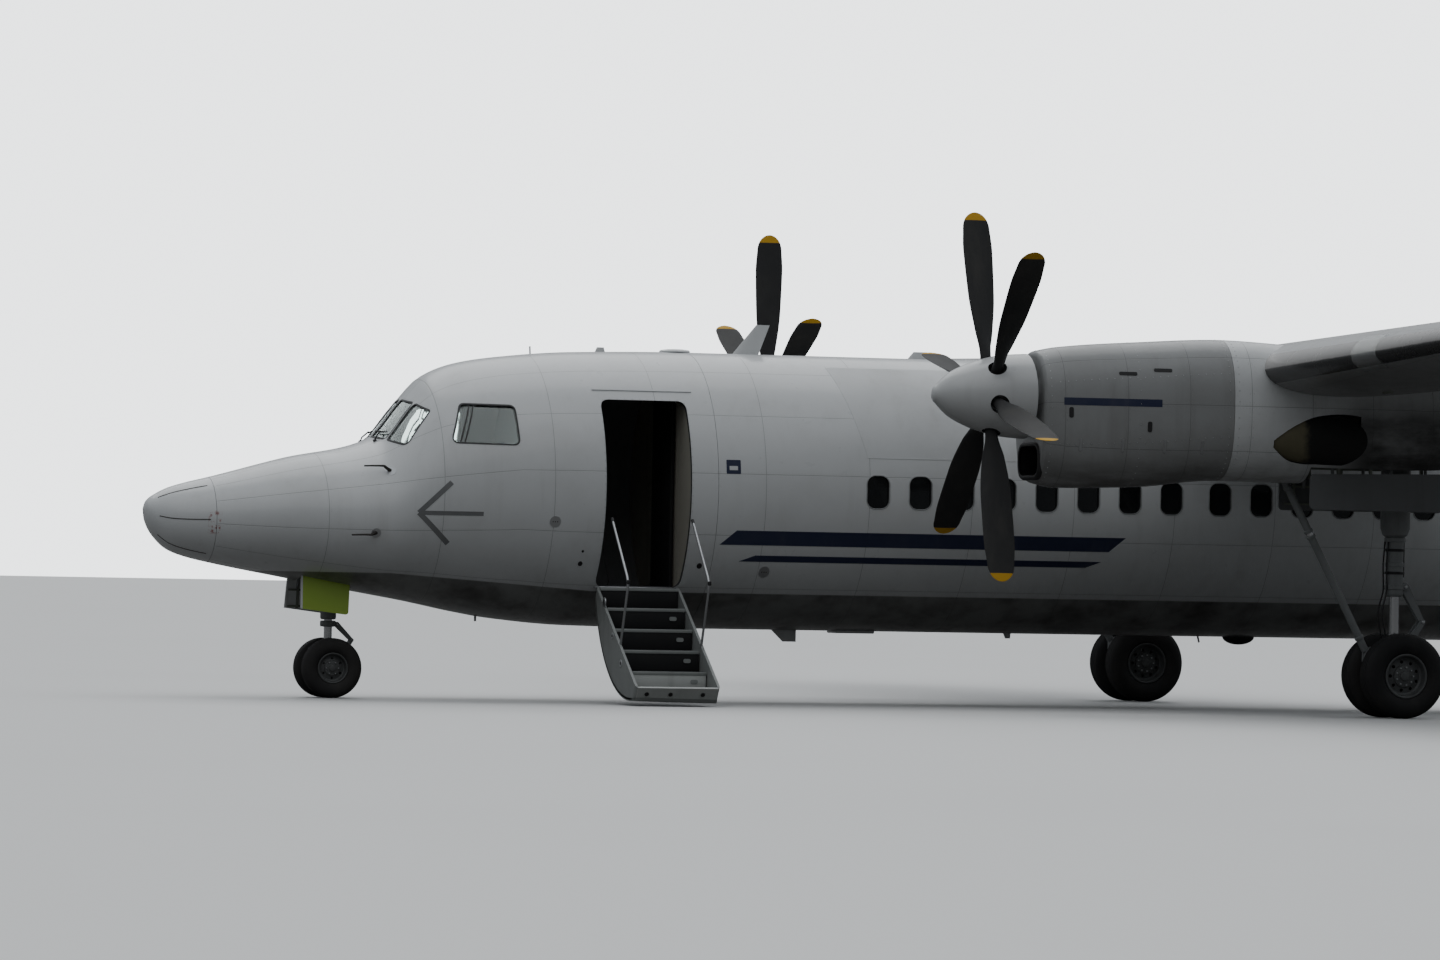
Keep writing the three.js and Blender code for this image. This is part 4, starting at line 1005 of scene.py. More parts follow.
def finish(name):
    """The material of that name, made when it is first asked for."""
    look = bpy.context.scene.airliner_colours
    makers = {
        "hull": hull_paint,
        "white": lambda: worn("white_paint", look.white, (0.33, 0.32, 0.29), 0.30, 0.32, coat=0.3),
        "wing": lambda: surface_paint("wing_paint", look.wing, "y", WING_SWEEP),
        "tail": lambda: surface_paint("tail_paint", look.white, "y", TAIL_SWEEP),
        "fin": lambda: surface_paint("fin_paint", look.white, "z", FIN_SWEEP),
        "cowl_left": lambda: nacelle_paint("cowl_paint_left", look.cowl, -1),
        "cowl_right": lambda: nacelle_paint("cowl_paint_right", look.cowl, 1),
        "nacelle_left": lambda: nacelle_paint("nacelle_paint_left", look.white, -1),
        "nacelle_right": lambda: nacelle_paint("nacelle_paint_right", look.white, 1),
        "metal": lambda: brushed_metal("bare_aluminium", (0.60, 0.61, 0.62), 0.34),
        "ice_boot": ice_boot,
        # Grey gear paint, made darker than its own colour as painted shade on the legs and stays
        "steel": lambda: worn(
            "grey_gear_paint", (0.25, 0.262, 0.265), (0.05, 0.047, 0.04), 0.65, 0.42, coat=0.1, grain=25.0,
        ),
        "chrome": lambda: brushed_metal("oleo_chrome", (0.78, 0.78, 0.79), 0.12, 0.1),
        "dark": lambda: brushed_metal("burnt_steel", (0.075, 0.07, 0.065), 0.5, 0.5),
        "blade": blade_black,
        "spinner": lambda: worn(
            "spinner_paint", (0.62, 0.63, 0.63), (0.15, 0.145, 0.14), 0.4, 0.3, coat=0.3, grain=40.0,
        ),
        # Painted shade: the main wheel bay doors are painted near black for the shade under the wing
        "bay_door": lambda: worn(
            "bay_door_paint", (0.17, 0.175, 0.18), (0.05, 0.047, 0.042), 0.55, 0.45, coat=0.1, grain=30.0,
        ),
        # Painted shade: the black risers stand for the shaded open gaps between the treads
        "riser": lambda: worn(
            "riser_black", (0.012, 0.012, 0.013), (0.035, 0.034, 0.032), 0.4, 0.8, grain=120.0,
        ),
        "boot": lambda: worn(
            "black_boot", (0.020, 0.020, 0.021), (0.075, 0.07, 0.065), 0.4, 0.5, grain=80.0,
        ),
        "tyre": rubber,
        "cabin_glass": window_glass,
        "clear_glass": clear_glass,
        "gasket": lambda: worn(
            "window_gasket", (0.055, 0.056, 0.057), (0.12, 0.115, 0.1), 0.5, 0.62, grain=90.0,
        ),
        "trim": lambda: worn("cabin_trim", (0.20, 0.205, 0.21), (0.10, 0.095, 0.09), 0.4, 0.7, grain=120.0),
        "dark_trim": lambda: worn(
            "dark_trim", (0.035, 0.036, 0.038), (0.09, 0.085, 0.08), 0.4, 0.7, grain=140.0,
        ),
        "carpet": lambda: worn(
            "floor_covering", (0.07, 0.072, 0.08), (0.03, 0.03, 0.03), 0.6, 0.92, grain=220.0, bump=0.8,
            depth=0.003,
        ),
        "primer": lambda: worn(
            "bay_primer", (0.24, 0.26, 0.22), (0.06, 0.055, 0.045), 0.65, 0.6, grain=30.0,
        ),
        "lime": lambda: worn("lime_paint", look.door_lime, (0.16, 0.17, 0.06), 0.35, 0.38, coat=0.25),
        "seam": lambda: worn(
            "joint_shadow", (0.075, 0.076, 0.076), (0.16, 0.155, 0.15), 0.5, 0.7, grain=90.0,
        ),
        "exhaust": burnt_pipe,
        "rim": lambda: worn(
            "wheel_paint", (0.15, 0.155, 0.155), (0.022, 0.021, 0.02), 0.75, 0.45, 0.2, grain=30.0,
        ),
        "lens": lambda: lens("lamp_lens", (0.85, 0.87, 0.86)),
        "screen": screen_glass,
        "seat": seat_cloth,
        "lining": lambda: worn(
            "entrance_panels", (0.46, 0.44, 0.38), (0.22, 0.20, 0.17), 0.5, 0.6, grain=120.0,
        ),
        "lamp_panel": lambda: worn(
            "ceiling_lamp", (0.55, 0.53, 0.48), (0.2, 0.19, 0.17), 0.3, 0.5, grain=60.0,
        ),
        "tread": lambda: worn(
            "tread_grip", (0.045, 0.046, 0.048), (0.14, 0.135, 0.125), 0.6, 0.85, grain=200.0, bump=0.8,
            depth=0.002,
        ),
        "stair_edge": lambda: worn(
            "stair_edge", (0.34, 0.36, 0.35), (0.12, 0.12, 0.11), 0.5, 0.45, 0.3, grain=60.0,
        ),
        "stair_pale": lambda: worn(
            "stair_pale", (0.56, 0.58, 0.56), (0.20, 0.21, 0.19), 0.6, 0.5, coat=0.1, grain=30.0,
        ),
        "stair_grey": lambda: worn(
            "stair_grey", (0.33, 0.345, 0.335), (0.09, 0.09, 0.08), 0.5, 0.5, coat=0.1, grain=40.0,
        ),
        "red_lens": lambda: lens("red_lamp_glass", (0.65, 0.03, 0.02)),
        "green_lens": lambda: lens("green_lamp_glass", (0.02, 0.45, 0.12)),
        "window_frame": lambda: worn(
            "window_frame", (0.40, 0.41, 0.41), (0.12, 0.12, 0.11), 0.5, 0.45, 0.2, grain=90.0,
        ),
        "ice_panel": lambda: worn(
            "ice_panel_paint", tuple(c * 0.97 for c in look.white), (0.34, 0.33, 0.30), 0.42, 0.40,
            grain=35.0,
        ),
        "mark_grey": lambda: worn(
            "grey_mark", (0.20, 0.205, 0.21), (0.36, 0.36, 0.35), 0.5, 0.4, grain=60.0,
        ),
        "navy": lambda: worn("navy_stripe", look.navy, (0.20, 0.20, 0.21), 0.3, 0.32, coat=0.3),
        "floor": apron,
    }
    if name not in MATERIALS:
        MATERIALS[name] = makers[name]()
    return MATERIALS[name]


# Fuselage


def stations(low, high, pitch):
    """Even stations between two ends."""
    count = max(2, round((high - low) / pitch) + 1)
    return [low + (high - low) * i / (count - 1) for i in range(count)]


def around(count, start=0.5):
    return [2 * math.pi * (i + start) / count for i in range(count)]


def hull_loft(low, high, inset=0.0, pitch=0.06, points=96, floor=None):
    """The fuselage's solid between two stations; a floor flattens its underside."""
    rings = []
    for x in stations(low, high, pitch):
        ring = [hull_point(x, a, inset) for a in around(points)]
        if floor is not None:
            ring = [(px, py, max(pz, floor)) for px, py, pz in ring]
        rings.append(ring)
    return loft(rings)


# Flight deck windows: outlines are (y, z) in front view and (x, z) in side view
FRONT_PANE = [(0.035, 2.560), (0.430, 2.530), (0.405, 2.880), (0.035, 2.915)]
CORNER_PANE = [(0.475, 2.525), (0.800, 2.470), (0.745, 2.800), (0.450, 2.872)]
SIDE_PANE = [(0.940, 2.500), (1.570, 2.490), (1.560, 2.860), (1.060, 2.870)]
SERVICE_DOOR = (2.450, 3.100, 1.130, 2.450)
NOSE_BAY = ((-0.345, -0.270, 0.0), (0.160, 0.270, 1.650))


def pane_cutter(finish_number=0):
    shape = Shape()
    for outline in (FRONT_PANE, CORNER_PANE):
        solid = prism(rounded(outline, 0.035), "x", 0.0, 1.2)
        shape.add(solid, finish_number).add(on_side(solid, -1), finish_number)
    solid = prism(rounded(SIDE_PANE, 0.05), "y", 0.85, 1.5)
    return shape.add(solid, finish_number).add(on_side(solid, -1), finish_number)


def door_outline(inset=0.0):
    low, high = DOOR["sill"] + inset, DOOR["top"] - inset
    return rounded(box_outline(DOOR["front"] + inset, DOOR["rear"] - inset, low, high), DOOR["corner"], 8)


def hull_x_at(y, z):
    """The station at which the fuselage surface passes through a point of the front view."""
    low, high = -0.6, 1.6
    for _ in range(40):
        x = (low + high) / 2
        crown, keel, half = HULL_LINES.at(x)
        inside = (y / half) ** 2 + ((z - (crown + keel) / 2) / ((crown - keel) / 2)) ** 2 < 1
        low, high = (low, x) if inside else (x, high)
    return (low + high) / 2


def onto_front(y, z, lift):
    x = hull_x_at(y, z)
    crown, keel, half = HULL_LINES.at(x)
    angle = math.atan2((z - (crown + keel) / 2) / ((crown - keel) / 2), y / half)
    return Vector((x, y, z)) + hull_normal(x, angle) * lift


def grown(outline, distance):
    """An outline moved outwards by a distance."""
    result = []
    count = len(outline)
    middle_point = sum((Vector(p) for p in outline), Vector((0, 0))) / count
    for i in range(count):
        a, b, c = Vector(outline[i - 1]), Vector(outline[i]), Vector(outline[(i + 1) % count])
        ahead = (c - a).normalized()
        out = Vector((ahead.y, -ahead.x))
        if out.dot(b - middle_point) < 0:
            out = -out
        result.append(tuple(b + out * distance))
    return result


def hull_band(outline, width, onto, lift=0.003, sunk=0.012):
    """A raised strip on the skin around an outline."""
    inner, outer = outline, grown(outline, width)
    rows = []
    for path, height in ((inner, -sunk), (inner, lift), (outer, lift), (outer, -sunk)):
        rows.append([tuple(onto(u, v, height)) for u, v in path])
    points = [p for row in rows for p in row]
    count = len(inner)
    faces = []
    for r in range(4):
        for i in range(count):
            a, b = r * count + i, r * count + (i + 1) % count
            c, d = ((r + 1) % 4) * count + (i + 1) % count, ((r + 1) % 4) * count + i
            faces.append([a, b, c, d])
    return points, faces


def side_projector(side):
    return lambda x, z, lift: hull_side(x, z, side, lift)


def into_doorway(x, z, lift):
    """A spot on the edge of the passenger doorway, which goes straight in."""
    return hull_side(x, z, -1) + Vector((0.0, -lift, 0.0))


def denser(outline, pitch):
    """An outline with more points along its straights."""
    result = []
    for i, p in enumerate(outline):
        a, b = Vector(p), Vector(outline[(i + 1) % len(outline)])
        count = max(1, round((b - a).length / pitch))
        result.extend(tuple(a.lerp(b, k / count)) for k in range(count))
    return result


def sheet(rows, onto, lift, sunk=0.004):
    """A thin sheet on a surface over rows of points in side view."""
    count = len(rows[0])
    upper = [tuple(onto(x, z, lift)) for row in rows for x, z in row]
    lower = [tuple(onto(x, z, -sunk)) for row in rows for x, z in row]
    total = len(upper)
    faces = []
    for r in range(len(rows) - 1):
        for i in range(count - 1):
            a = r * count + i
            faces.append([a, a + 1, a + 1 + count, a + count])
            faces.append([total + a + count, total + a + 1 + count, total + a + 1, total + a])
    border = list(range(count)) + [r * count + count - 1 for r in range(1, len(rows))]
    border += [(len(rows) - 1) * count + i for i in range(count - 2, -1, -1)]
    border += [r * count for r in range(len(rows) - 2, 0, -1)]
    for a, b in zip(border, border[1:] + border[:1]):
        faces.append([a, b, total + b, total + a])
    return upper + lower, faces


def hull_sheet(rows, side, lift):
    return sheet(rows, side_projector(side), lift)


def hull_strip(points, width, lift, side):
    """A flat strip on the fuselage side along points in side view."""
    shape_points = [Vector(p) for p in points]
    left, right = [], []
    for i, p in enumerate(shape_points):
        ahead = (shape_points[min(i + 1, len(shape_points) - 1)] - shape_points[max(i - 1, 0)]).normalized()
        aside = Vector((-ahead.y, ahead.x)) * width / 2
        left.append(tuple(p + aside))
        right.append(tuple(p - aside))
    return hull_sheet([left, right], side, lift)


def denser_line(path, pitch):
    """An open line with points at an even pitch."""
    result = []
    for a, b in zip(path, path[1:]):
        a, b = Vector(a), Vector(b)
        count = max(1, round((b - a).length / pitch))
        result += [tuple(a.lerp(b, k / count)) for k in range(count)]
    return result + [tuple(path[-1])]


NOSE_RISE = 1.8
LINING = 0.045
# Rooms inside the hull: front, rear, pitch of the rings, points of a ring and floor
FLIGHT_DECK_ROOM = (0.420, 1.950, 0.09, 64, 1.250)
ENTRANCE_ROOM = (2.050, 3.450, 0.14, 64, DOOR["sill"])
HINGE_GROOVE = HINGE_ROD + 0.002


def room(front, rear, pitch, points, floor):
    """The hollow that lies inside the hull's lining, above a floor."""
    return hull_loft(front, rear, LINING, pitch, points, floor)


class AIRLINER_OT_forward_fuselage(bpy.types.Operator):
    """Builds the nose cone, the forward fuselage skin and its openings"""

    bl_idname = "airliner.forward_fuselage"
    bl_label = "Forward fuselage"

    def execute(self, context):
        front = RADOME_JOINT - SEAM / 2
        tip = [NOSE_TIP + (front - NOSE_TIP) * (i / 40) ** 2 for i in range(1, 41)]
        rings = [[hull_point(x, a) for a in around(96)] for x in tip]
        points, faces = loft(rings)
        faces[-2:] = [faces[-1]]
        points.append((NOSE_TIP, 0.0, NOSE_RISE))
        faces.extend([[(i + 1) % 96, i, len(points) - 1] for i in range(96)])
        cone = mesh_of("nose_cone", Shape().add((points, faces)), [finish("hull")])
        smooth(cone)
        fitted(cone, "airframe", ("radome",), "white_paint")

        finishes = [finish("hull"), finish("trim"), finish("gasket"), finish("primer"), finish("carpet")]
        body = hull_loft(RADOME_JOINT + SEAM / 2, CABIN_FRONT - SEAM / 2)
        skin = mesh_of("forward_skin", Shape().add(body), finishes)
        x0, x1, z0, z1 = SERVICE_DOOR
        carved(skin, [
            Shape().add(room(*FLIGHT_DECK_ROOM), 1),
            Shape().add(room(*ENTRANCE_ROOM), 1),
            Shape().add(prism(door_outline(), "y", -1.6, -0.8), 2),
            Shape().add(prism(rounded(box_outline(x0, x1, z0, z1), 0.07), "y", 0.8, 1.6), 2),
            Shape().add(block(*NOSE_BAY), 3),
            Shape().add(bar((DOOR["front"], *STAIR_HINGE), (DOOR["rear"], *STAIR_HINGE), HINGE_GROOVE), 1),
            pane_cutter(2),
        ])
        smooth(skin)
        faired(skin, hull_normal_at)
        fitted(skin, "airframe", ("forward_fuselage",), "white_paint")
        return {"FINISHED"}


PANE_DEPTH = 0.012
PANE_THICK = 0.010
PANE_STRIP = {"width": 0.014, "lift": 0.002, "pitch": 0.04}
PANE_CORNER = 0.035
SIDE_PANE_CORNER = 0.05
# The sliding side pane's rails: distances behind its front edge, and heights of their ends
SLIDE_RAILS = (0.075, 0.115)
SLIDE_ENDS = (2.505, 2.860)


class AIRLINER_OT_glazing(bpy.types.Operator):
    """Builds the flight deck panes and the strips that hold them"""

    bl_idname = "airliner.glazing"
    bl_label = "Flight deck glazing"

    def execute(self, context):
        outer_face = Shape().add(hull_loft(0.0, 1.8, PANE_DEPTH, 0.05))
        inner_face = Shape().add(hull_loft(-0.1, 1.9, PANE_DEPTH + PANE_THICK, 0.05))
        panes = mesh_of("flight_deck_panes", outer_face, [finish("clear_glass")])
        carved(panes, [pane_cutter()], "INTERSECT")
        carved(panes, [inner_face])
        smooth(panes)
        faired(panes, hull_normal_at)
        fitted(panes, "airframe", ("cockpit_glazing",), "glass")

        strips = Shape()
        width, lift, pitch = PANE_STRIP["width"], PANE_STRIP["lift"], PANE_STRIP["pitch"]
        for outline in (FRONT_PANE, CORNER_PANE):
            line = denser(rounded(outline, PANE_CORNER), pitch)
            for side in (1, -1):
                strips.add(on_side(hull_band(line, width, onto_front, lift), side))
        line = denser(rounded(SIDE_PANE, SIDE_PANE_CORNER), pitch)
        (front_low, _), _, _, (front_high, _) = SIDE_PANE
        for side in (1, -1):
            strips.add(hull_band(line, width, side_projector(side), lift))
            for behind in SLIDE_RAILS:
                ends = zip((front_low + behind, front_high + behind), SLIDE_ENDS)
                strips.add(hull_strip(denser_line(list(ends), pitch), 0.012, 0.001, side))
        piece("pane_strips", strips, "airframe", [finish("gasket")])
        return {"FINISHED"}


WINDOW_MID = 2.10
CABIN_WINDOW = {"half": 0.112, "rise": 0.158, "corner": 0.085, "glass": 1.315}
WINDOW_PITCH = 0.4365
# Rows of cabin windows: first station and count
WINDOW_ROWS = ((5.18, 8), (8.75, 15))


def window_stations():
    """Stations of the cabin windows, with a wider gap at the emergency exits."""
    return [first + WINDOW_PITCH * i for first, count in WINDOW_ROWS for i in range(count)]


class AIRLINER_OT_cabin(bpy.types.Operator):
    """Builds the cabin's skin with its windows, and the rear fuselage"""

    bl_idname = "airliner.cabin"
    bl_label = "Cabin and rear fuselage"

    def execute(self, context):
        finishes = [finish("hull"), finish("gasket"), finish("cabin_glass")]
        body = hull_loft(CABIN_FRONT + SEAM / 2, CABIN_REAR - SEAM / 2, 0.0, 0.5, 128)
        skin = mesh_of("cabin_skin", Shape().add(body), finishes)
        openings = Shape()
        half, rise = CABIN_WINDOW["half"], CABIN_WINDOW["rise"]
        for x in window_stations():
            box = box_outline(x - half, x + half, WINDOW_MID - rise, WINDOW_MID + rise)
            opening = prism(rounded(box, CABIN_WINDOW["corner"]), "y", CABIN_WINDOW["glass"], 1.6)
            for side in (1, -1):
                openings.add(on_side(opening, side), 1)
        carved(skin, [openings])
        for face in skin.data.polygons:
            if face.material_index == 1 and abs(face.normal.y) > 0.99:
                face.material_index = 2
        smooth(skin)
        faired(skin, hull_normal_at)
        fitted(skin, "airframe", ("centre_fuselage",), "white_paint")

        rear = stations(CABIN_REAR + SEAM / 2, 23.0, 0.14)
        rear += [23.0 + (TAIL_TIP - 23.0) * (1 - (1 - i / 12) ** 2) for i in range(1, 13)]
        rings = [[hull_point(x, a) for a in around(128)] for x in rear]
        piece(
            "rear_skin", Shape().add(loft(rings)), "airframe", [finish("hull")], ("rear_fuselage",),
            "white_paint",
        )
        return {"FINISHED"}


# The saddle's ends, its height, the shares of its length that blend, and its span in degrees
SADDLE = {"front": 7.25, "rear": 12.75, "rise": 0.118, "start": 38, "span": 104}
SADDLE_BLEND = {"front": 0.26, "rear": 0.40, "edge": 0.30}


class AIRLINER_OT_wing_fairing(bpy.types.Operator):
    """Builds the saddle that blends the wing into the top of the fuselage"""

    bl_idname = "airliner.wing_fairing"
    bl_label = "Wing fairing"

    def execute(self, context):
        front, rear = SADDLE["front"], SADDLE["rear"]
        rings = []
        for x in stations(front, rear, 0.08):
            share = (x - front) / (rear - front)
            rise = min(share / SADDLE_BLEND["front"], 1.0) * min((1 - share) / SADDLE_BLEND["rear"], 1.0)
            rise = rise * rise * (3 - 2 * rise)
            outer, inner = [], []
            for k in range(41):
                t = k / 40
                angle = math.radians(SADDLE["start"] + SADDLE["span"] * t)
                edge = min(t, 1 - t) / SADDLE_BLEND["edge"]
                lift = SADDLE["rise"] * rise * min(edge, 1.0) ** 0.8 if edge > 0 else 0.0
                outer.append(hull_point(x, angle, -0.004 - lift))
                inner.append(hull_point(x, angle, 0.03))
            rings.append(outer + inner[::-1])
        piece(
            "wing_saddle", Shape().add(loft(rings)), "airframe", [finish("hull")], slot="white_paint",
            crease=50,
        )
        return {"FINISHED"}


def fin_blade(x0, x1, z0, z1, rake, thick, y=0.0, tip_share=0.6):
    """A flat aerial whose section is a slim lens, raked back by a length."""
    rings = []
    for i in range(7):
        t = i / 6
        chord = (x1 - x0) * (1 - (1 - tip_share) * t)
        start = x0 + rake * t
        ring = []
        for a in around(16, 0):
            along, out = start + chord * (0.5 - 0.5 * math.cos(a)), thick / 2 * math.sin(a) * (1 - 0.3 * t)
            ring.append((along, y + out, z0 + (z1 - z0) * t))
        rings.append(ring)
    return loft(rings)


def crown_at(x):
    return float(HULL_LINES.at(x)[0])


def keel_at(x):
    return float(HULL_LINES.at(x)[1])


# Blade aerials: front, rear, station of the root, reach, rake, thickness and chord share at the tip
CROWN_AERIALS = (
    (2.64, 2.76, 2.70, 0.045, 0.03, 0.022, 0.6),
    (5.88, 6.12, 6.00, 0.070, 0.08, 0.030, 0.6),
    (13.90, 14.20, 14.00, 0.240, 0.20, 0.030, 0.5),
)
KEEL_AERIALS = (
    (4.50, 4.78, 4.60, 0.115, 0.14, 0.030, 0.5),
    (6.95, 7.04, 7.00, 0.050, 0.03, 0.018, 0.6),
    (13.20, 13.50, 13.30, 0.160, 0.16, 0.030, 0.5),
)
AERIAL_SUNK = 0.02
TALL_AERIAL_TOP = 3.755
DISC_AERIAL = ((0, 0), (0.15, 0), (0.155, 0.012), (0.14, 0.026), (0.08, 0.034), (0, 0.036))


class AIRLINER_OT_aerials(bpy.types.Operator):
    """Builds the aerials and drains along the fuselage"""

    bl_idname = "airliner.aerials"
    bl_label = "Aerials and drains"

    def execute(self, context):
        shape = Shape()
        top, low = crown_at, keel_at
        for rows, skin_at, sign in ((CROWN_AERIALS, top, 1), (KEEL_AERIALS, low, -1)):
            for x0, x1, root, reach, rake, thick, share in rows:
                skin = skin_at(root)
                foot, tip = skin - sign * AERIAL_SUNK, skin + sign * reach
                shape.add(fin_blade(x0, x1, foot, tip, rake, thick, tip_share=share))
        tall_foot = top(4.2) - AERIAL_SUNK
        shape.add(fin_blade(4.05, 4.33, tall_foot, TALL_AERIAL_TOP, 0.26, 0.03, tip_share=0.5))
        shape.add(lathe(DISC_AERIAL, (3.47, 0, top(3.47) - 0.004), "z", 32))
        shape.add(block((5.15, -0.16, low(5.3) - 0.022), (5.55, 0.16, low(5.3) + 0.01), 0.012))
        rod_foot = top(1.99)
        shape.add(bar((1.99, 0, rod_foot - 0.02), (1.985, 0, rod_foot + 0.075), 0.009, 10, 0.003))
        for x, y, lean, drop, radius in ((1.48, 0, 0.0, 0.05, 0.012), (9.0, -0.1, 0.02, 0.06, 0.010)):
            drain_top, drain_end = (x, y, low(x) + 0.02), (x + lean, y, low(x) - drop)
            shape.add(bar(drain_top, drain_end, radius, 10, 0.003))
        piece("aerials", shape, "airframe", [finish("white")], crease=50)
        return {"FINISHED"}


# Wing and tail


# Terms of the wing section's thickness: factor and power of the chord share
THICKNESS_TERMS = ((0.2969, 0.5), (-0.126, 1), (-0.3516, 2), (0.2843, 3), (-0.1036, 4))


def half_thickness(share):
    return 5 * sum(factor * share**power for factor, power in THICKNESS_TERMS)


def camber_line(share, camber):
    return 4 * camber * share * (1 - share)


EDGE_HALF = 0.005
CHORD_STEPS = [(1 - math.cos(math.pi * i / 26)) / 2 for i in range(27)]


def section(row, place):
    """A ring of the wing section from the trailing edge over the top and back below."""
    camber = row.get("camber", 0.0)
    upper = [(share, 1) for share in reversed(CHORD_STEPS)]
    lower = [(share, -1) for share in CHORD_STEPS[1:]]
    ring = []
    for share, sign in upper + lower:
        depth = half_thickness(share) * row["thick"] + EDGE_HALF * share
        ring.append(
            place(
                row["edge"] + share * row["chord"], camber_line(share, camber) * row["chord"] + sign * depth
            )
        )
    return ring


def blade_loft(rings, edge_share=0.05, edge_finish=1):
    """A lifting surface over its rings, with another finish along the leading edge."""
    mesh = loft(rings)
    count = len(rings[0])
    wide = sum(1 for share in CHORD_STEPS if share <= edge_share)
    nose = range(len(CHORD_STEPS) - wide, len(CHORD_STEPS) + wide - 2)
    finishes = [edge_finish if i % count in nose else 0 for i in range((len(rings) - 1) * count)]
    return mesh, finishes + [0] * (len(mesh[1]) - len(finishes))


def mixed(a, b, share):
    return {key: a[key] + (b[key] - a[key]) * share for key in a}


def wing_row(y):
    share = abs(y) / HALF_SPAN
    row = mixed(WING_ROOT, WING_TIP, share)
    return {**row, "height": WING_HEIGHT + abs(y) * math.tan(DIHEDRAL), "camber": WING_CAMBER}


def wing_ring(y, row=None):
    row = row or wing_row(y)
    return section(row, lambda x, z: (x, y, row["height"] + z))


TIP_START = 14.25


def wing_rings():
    spans = stations(WING_JOINT + SEAM / 2, TIP_START, 0.5)
    rings = [wing_ring(y) for y in spans]
    for i in range(1, 11):
        t = math.sin(math.pi / 2 * i / 10)
        y = TIP_START + (HALF_SPAN - TIP_START) * t
        shrink = 1 - math.sqrt(max(1 - t * t, 0))
        row = wing_row(y)
        row["edge"] += 0.18 * shrink
        row["chord"] -= 0.30 * shrink
        row["thick"] = row["thick"] * (1 - shrink) + 0.05 * shrink
        rings.append(wing_ring(y, row))
    return rings


def hinge_point(row, share):
    """The place and half thickness of a section at a share of its chord."""
    x = row["edge"] + share * row["chord"]
    z = row["height"] + camber_line(share, row.get("camber", 0.0)) * row["chord"]
    return x, z, half_thickness(share) * row["thick"] + EDGE_HALF * share


def hinge_frame(start, end):
    """Along a hinge line: its own X runs along the line and Y aft."""
    start, end = Vector(start), Vector(end)
    u = (end - start).normalized()
    v = (Vector((1, 0, 0)) - u * u.x).normalized()
    matrix = Matrix((u, v, u.cross(v))).transposed().to_4x4()
    return (end - start).length, Matrix.Translation(start) @ matrix


def aft_block(start, end, trim, front):
    length, matrix = hinge_frame(start, end)
    return changed(block((trim, front, -1.2), (length - trim, 3.0, 1.2)), matrix)


def taper_bar(start, end, r0, r1, trim, grow, sides=32):
    """A round bar about a hinge line whose radius follows the surface's half thickness."""
    length, matrix = hinge_frame(start, end)
    def radius(at):
        return r0 + (r1 - r0) * at / length + grow
    ends = (trim, length - trim)
    rings = [
        [(at, radius(at) * math.cos(a), radius(at) * math.sin(a)) for a in around(sides)] for at in ends
    ]
    return changed(loft(rings), matrix)


MOVING_GAP = 0.008
PIN_RADIUS = 0.014
PIN_REACH = 0.045


def pins(start, end, radius=PIN_RADIUS):
    length, matrix = hinge_frame(start, end)
    return changed(bar((-PIN_REACH, 0, 0), (length + PIN_REACH, 0, 0), radius, 16), matrix)


def flap_plates(start, end, outline, shares, offset, width):
    length, matrix = hinge_frame(start, end)
    shape = Shape()
    for share in shares:
        low = share * length + offset
        shape.add(changed(prism(rounded(outline, 0.012, 4), "x", low, low + width), matrix), 2)
    return shape


def bracket_outline(drop):
    return [
        (-0.430, 0.130), (-0.040, 0.110), (-0.018, drop - 0.024), (0.020, drop - 0.016),
        (0.020, drop + 0.016), (-0.010, drop + 0.026), (-0.300, drop + 0.005),
    ]


def arm_outline(drop):
    return [
        (0.040, 0.090), (0.260, 0.060), (0.190, drop - 0.070), (0.024, drop + 0.018),
        (-0.016, drop + 0.018), (-0.016, drop - 0.018), (0.020, drop - 0.060),
    ]


FLAPS = {
    "inner": {"span": (1.560, 2.950), "drop": 0.250, "arms": (0.25, 0.75)},
    "outer": {"span": (4.260, 9.300), "drop": 0.225, "arms": (0.2, 0.8)},
}
FLAP_SHARE = 0.74
AILERON_SPAN = (9.420, 14.050)
AILERON_SHARE = 0.76
AILERON_SWING = math.radians(20)
BRACKET_WIDTH = 0.026
# A round plate under the wing: lathe rows, and its place on the starboard side
WING_PLATE = ((0, 0), (0.046, 0), (0.05, 0.006), (0.05, 0.2), (0, 0.2))
PLATE_SPOT = (9.15, 4.7, 3.095)


def span_line(span, share):
    line = []
    for y in span:
        x, z, _ = hinge_point(wing_row(y), share)
        line.append((x, y, z))
    return line


def surface_mesh(name, lofted, finishes):
    """A Blender object of a lofted surface that keeps its leading edge's finish."""
    shape = Shape()
    mesh, marks = lofted
    shape.add(mesh)
    shape.finishes = marks
    return mesh_of(name, shape, finishes)


def sided(lofted, side):
    mesh, marks = lofted
    return on_side(mesh, side), marks


def added(obj, shape):
    """Adds more closed shells to an object's mesh."""
    extra = mesh_of("extra", shape, list(obj.data.materials))
    work = bmesh.new()
    work.from_mesh(obj.data)
    work.from_mesh(extra.data)
    work.to_mesh(obj.data)
    work.free()
    mesh = extra.data
    bpy.data.objects.remove(extra)
    bpy.data.meshes.remove(mesh)
    return obj


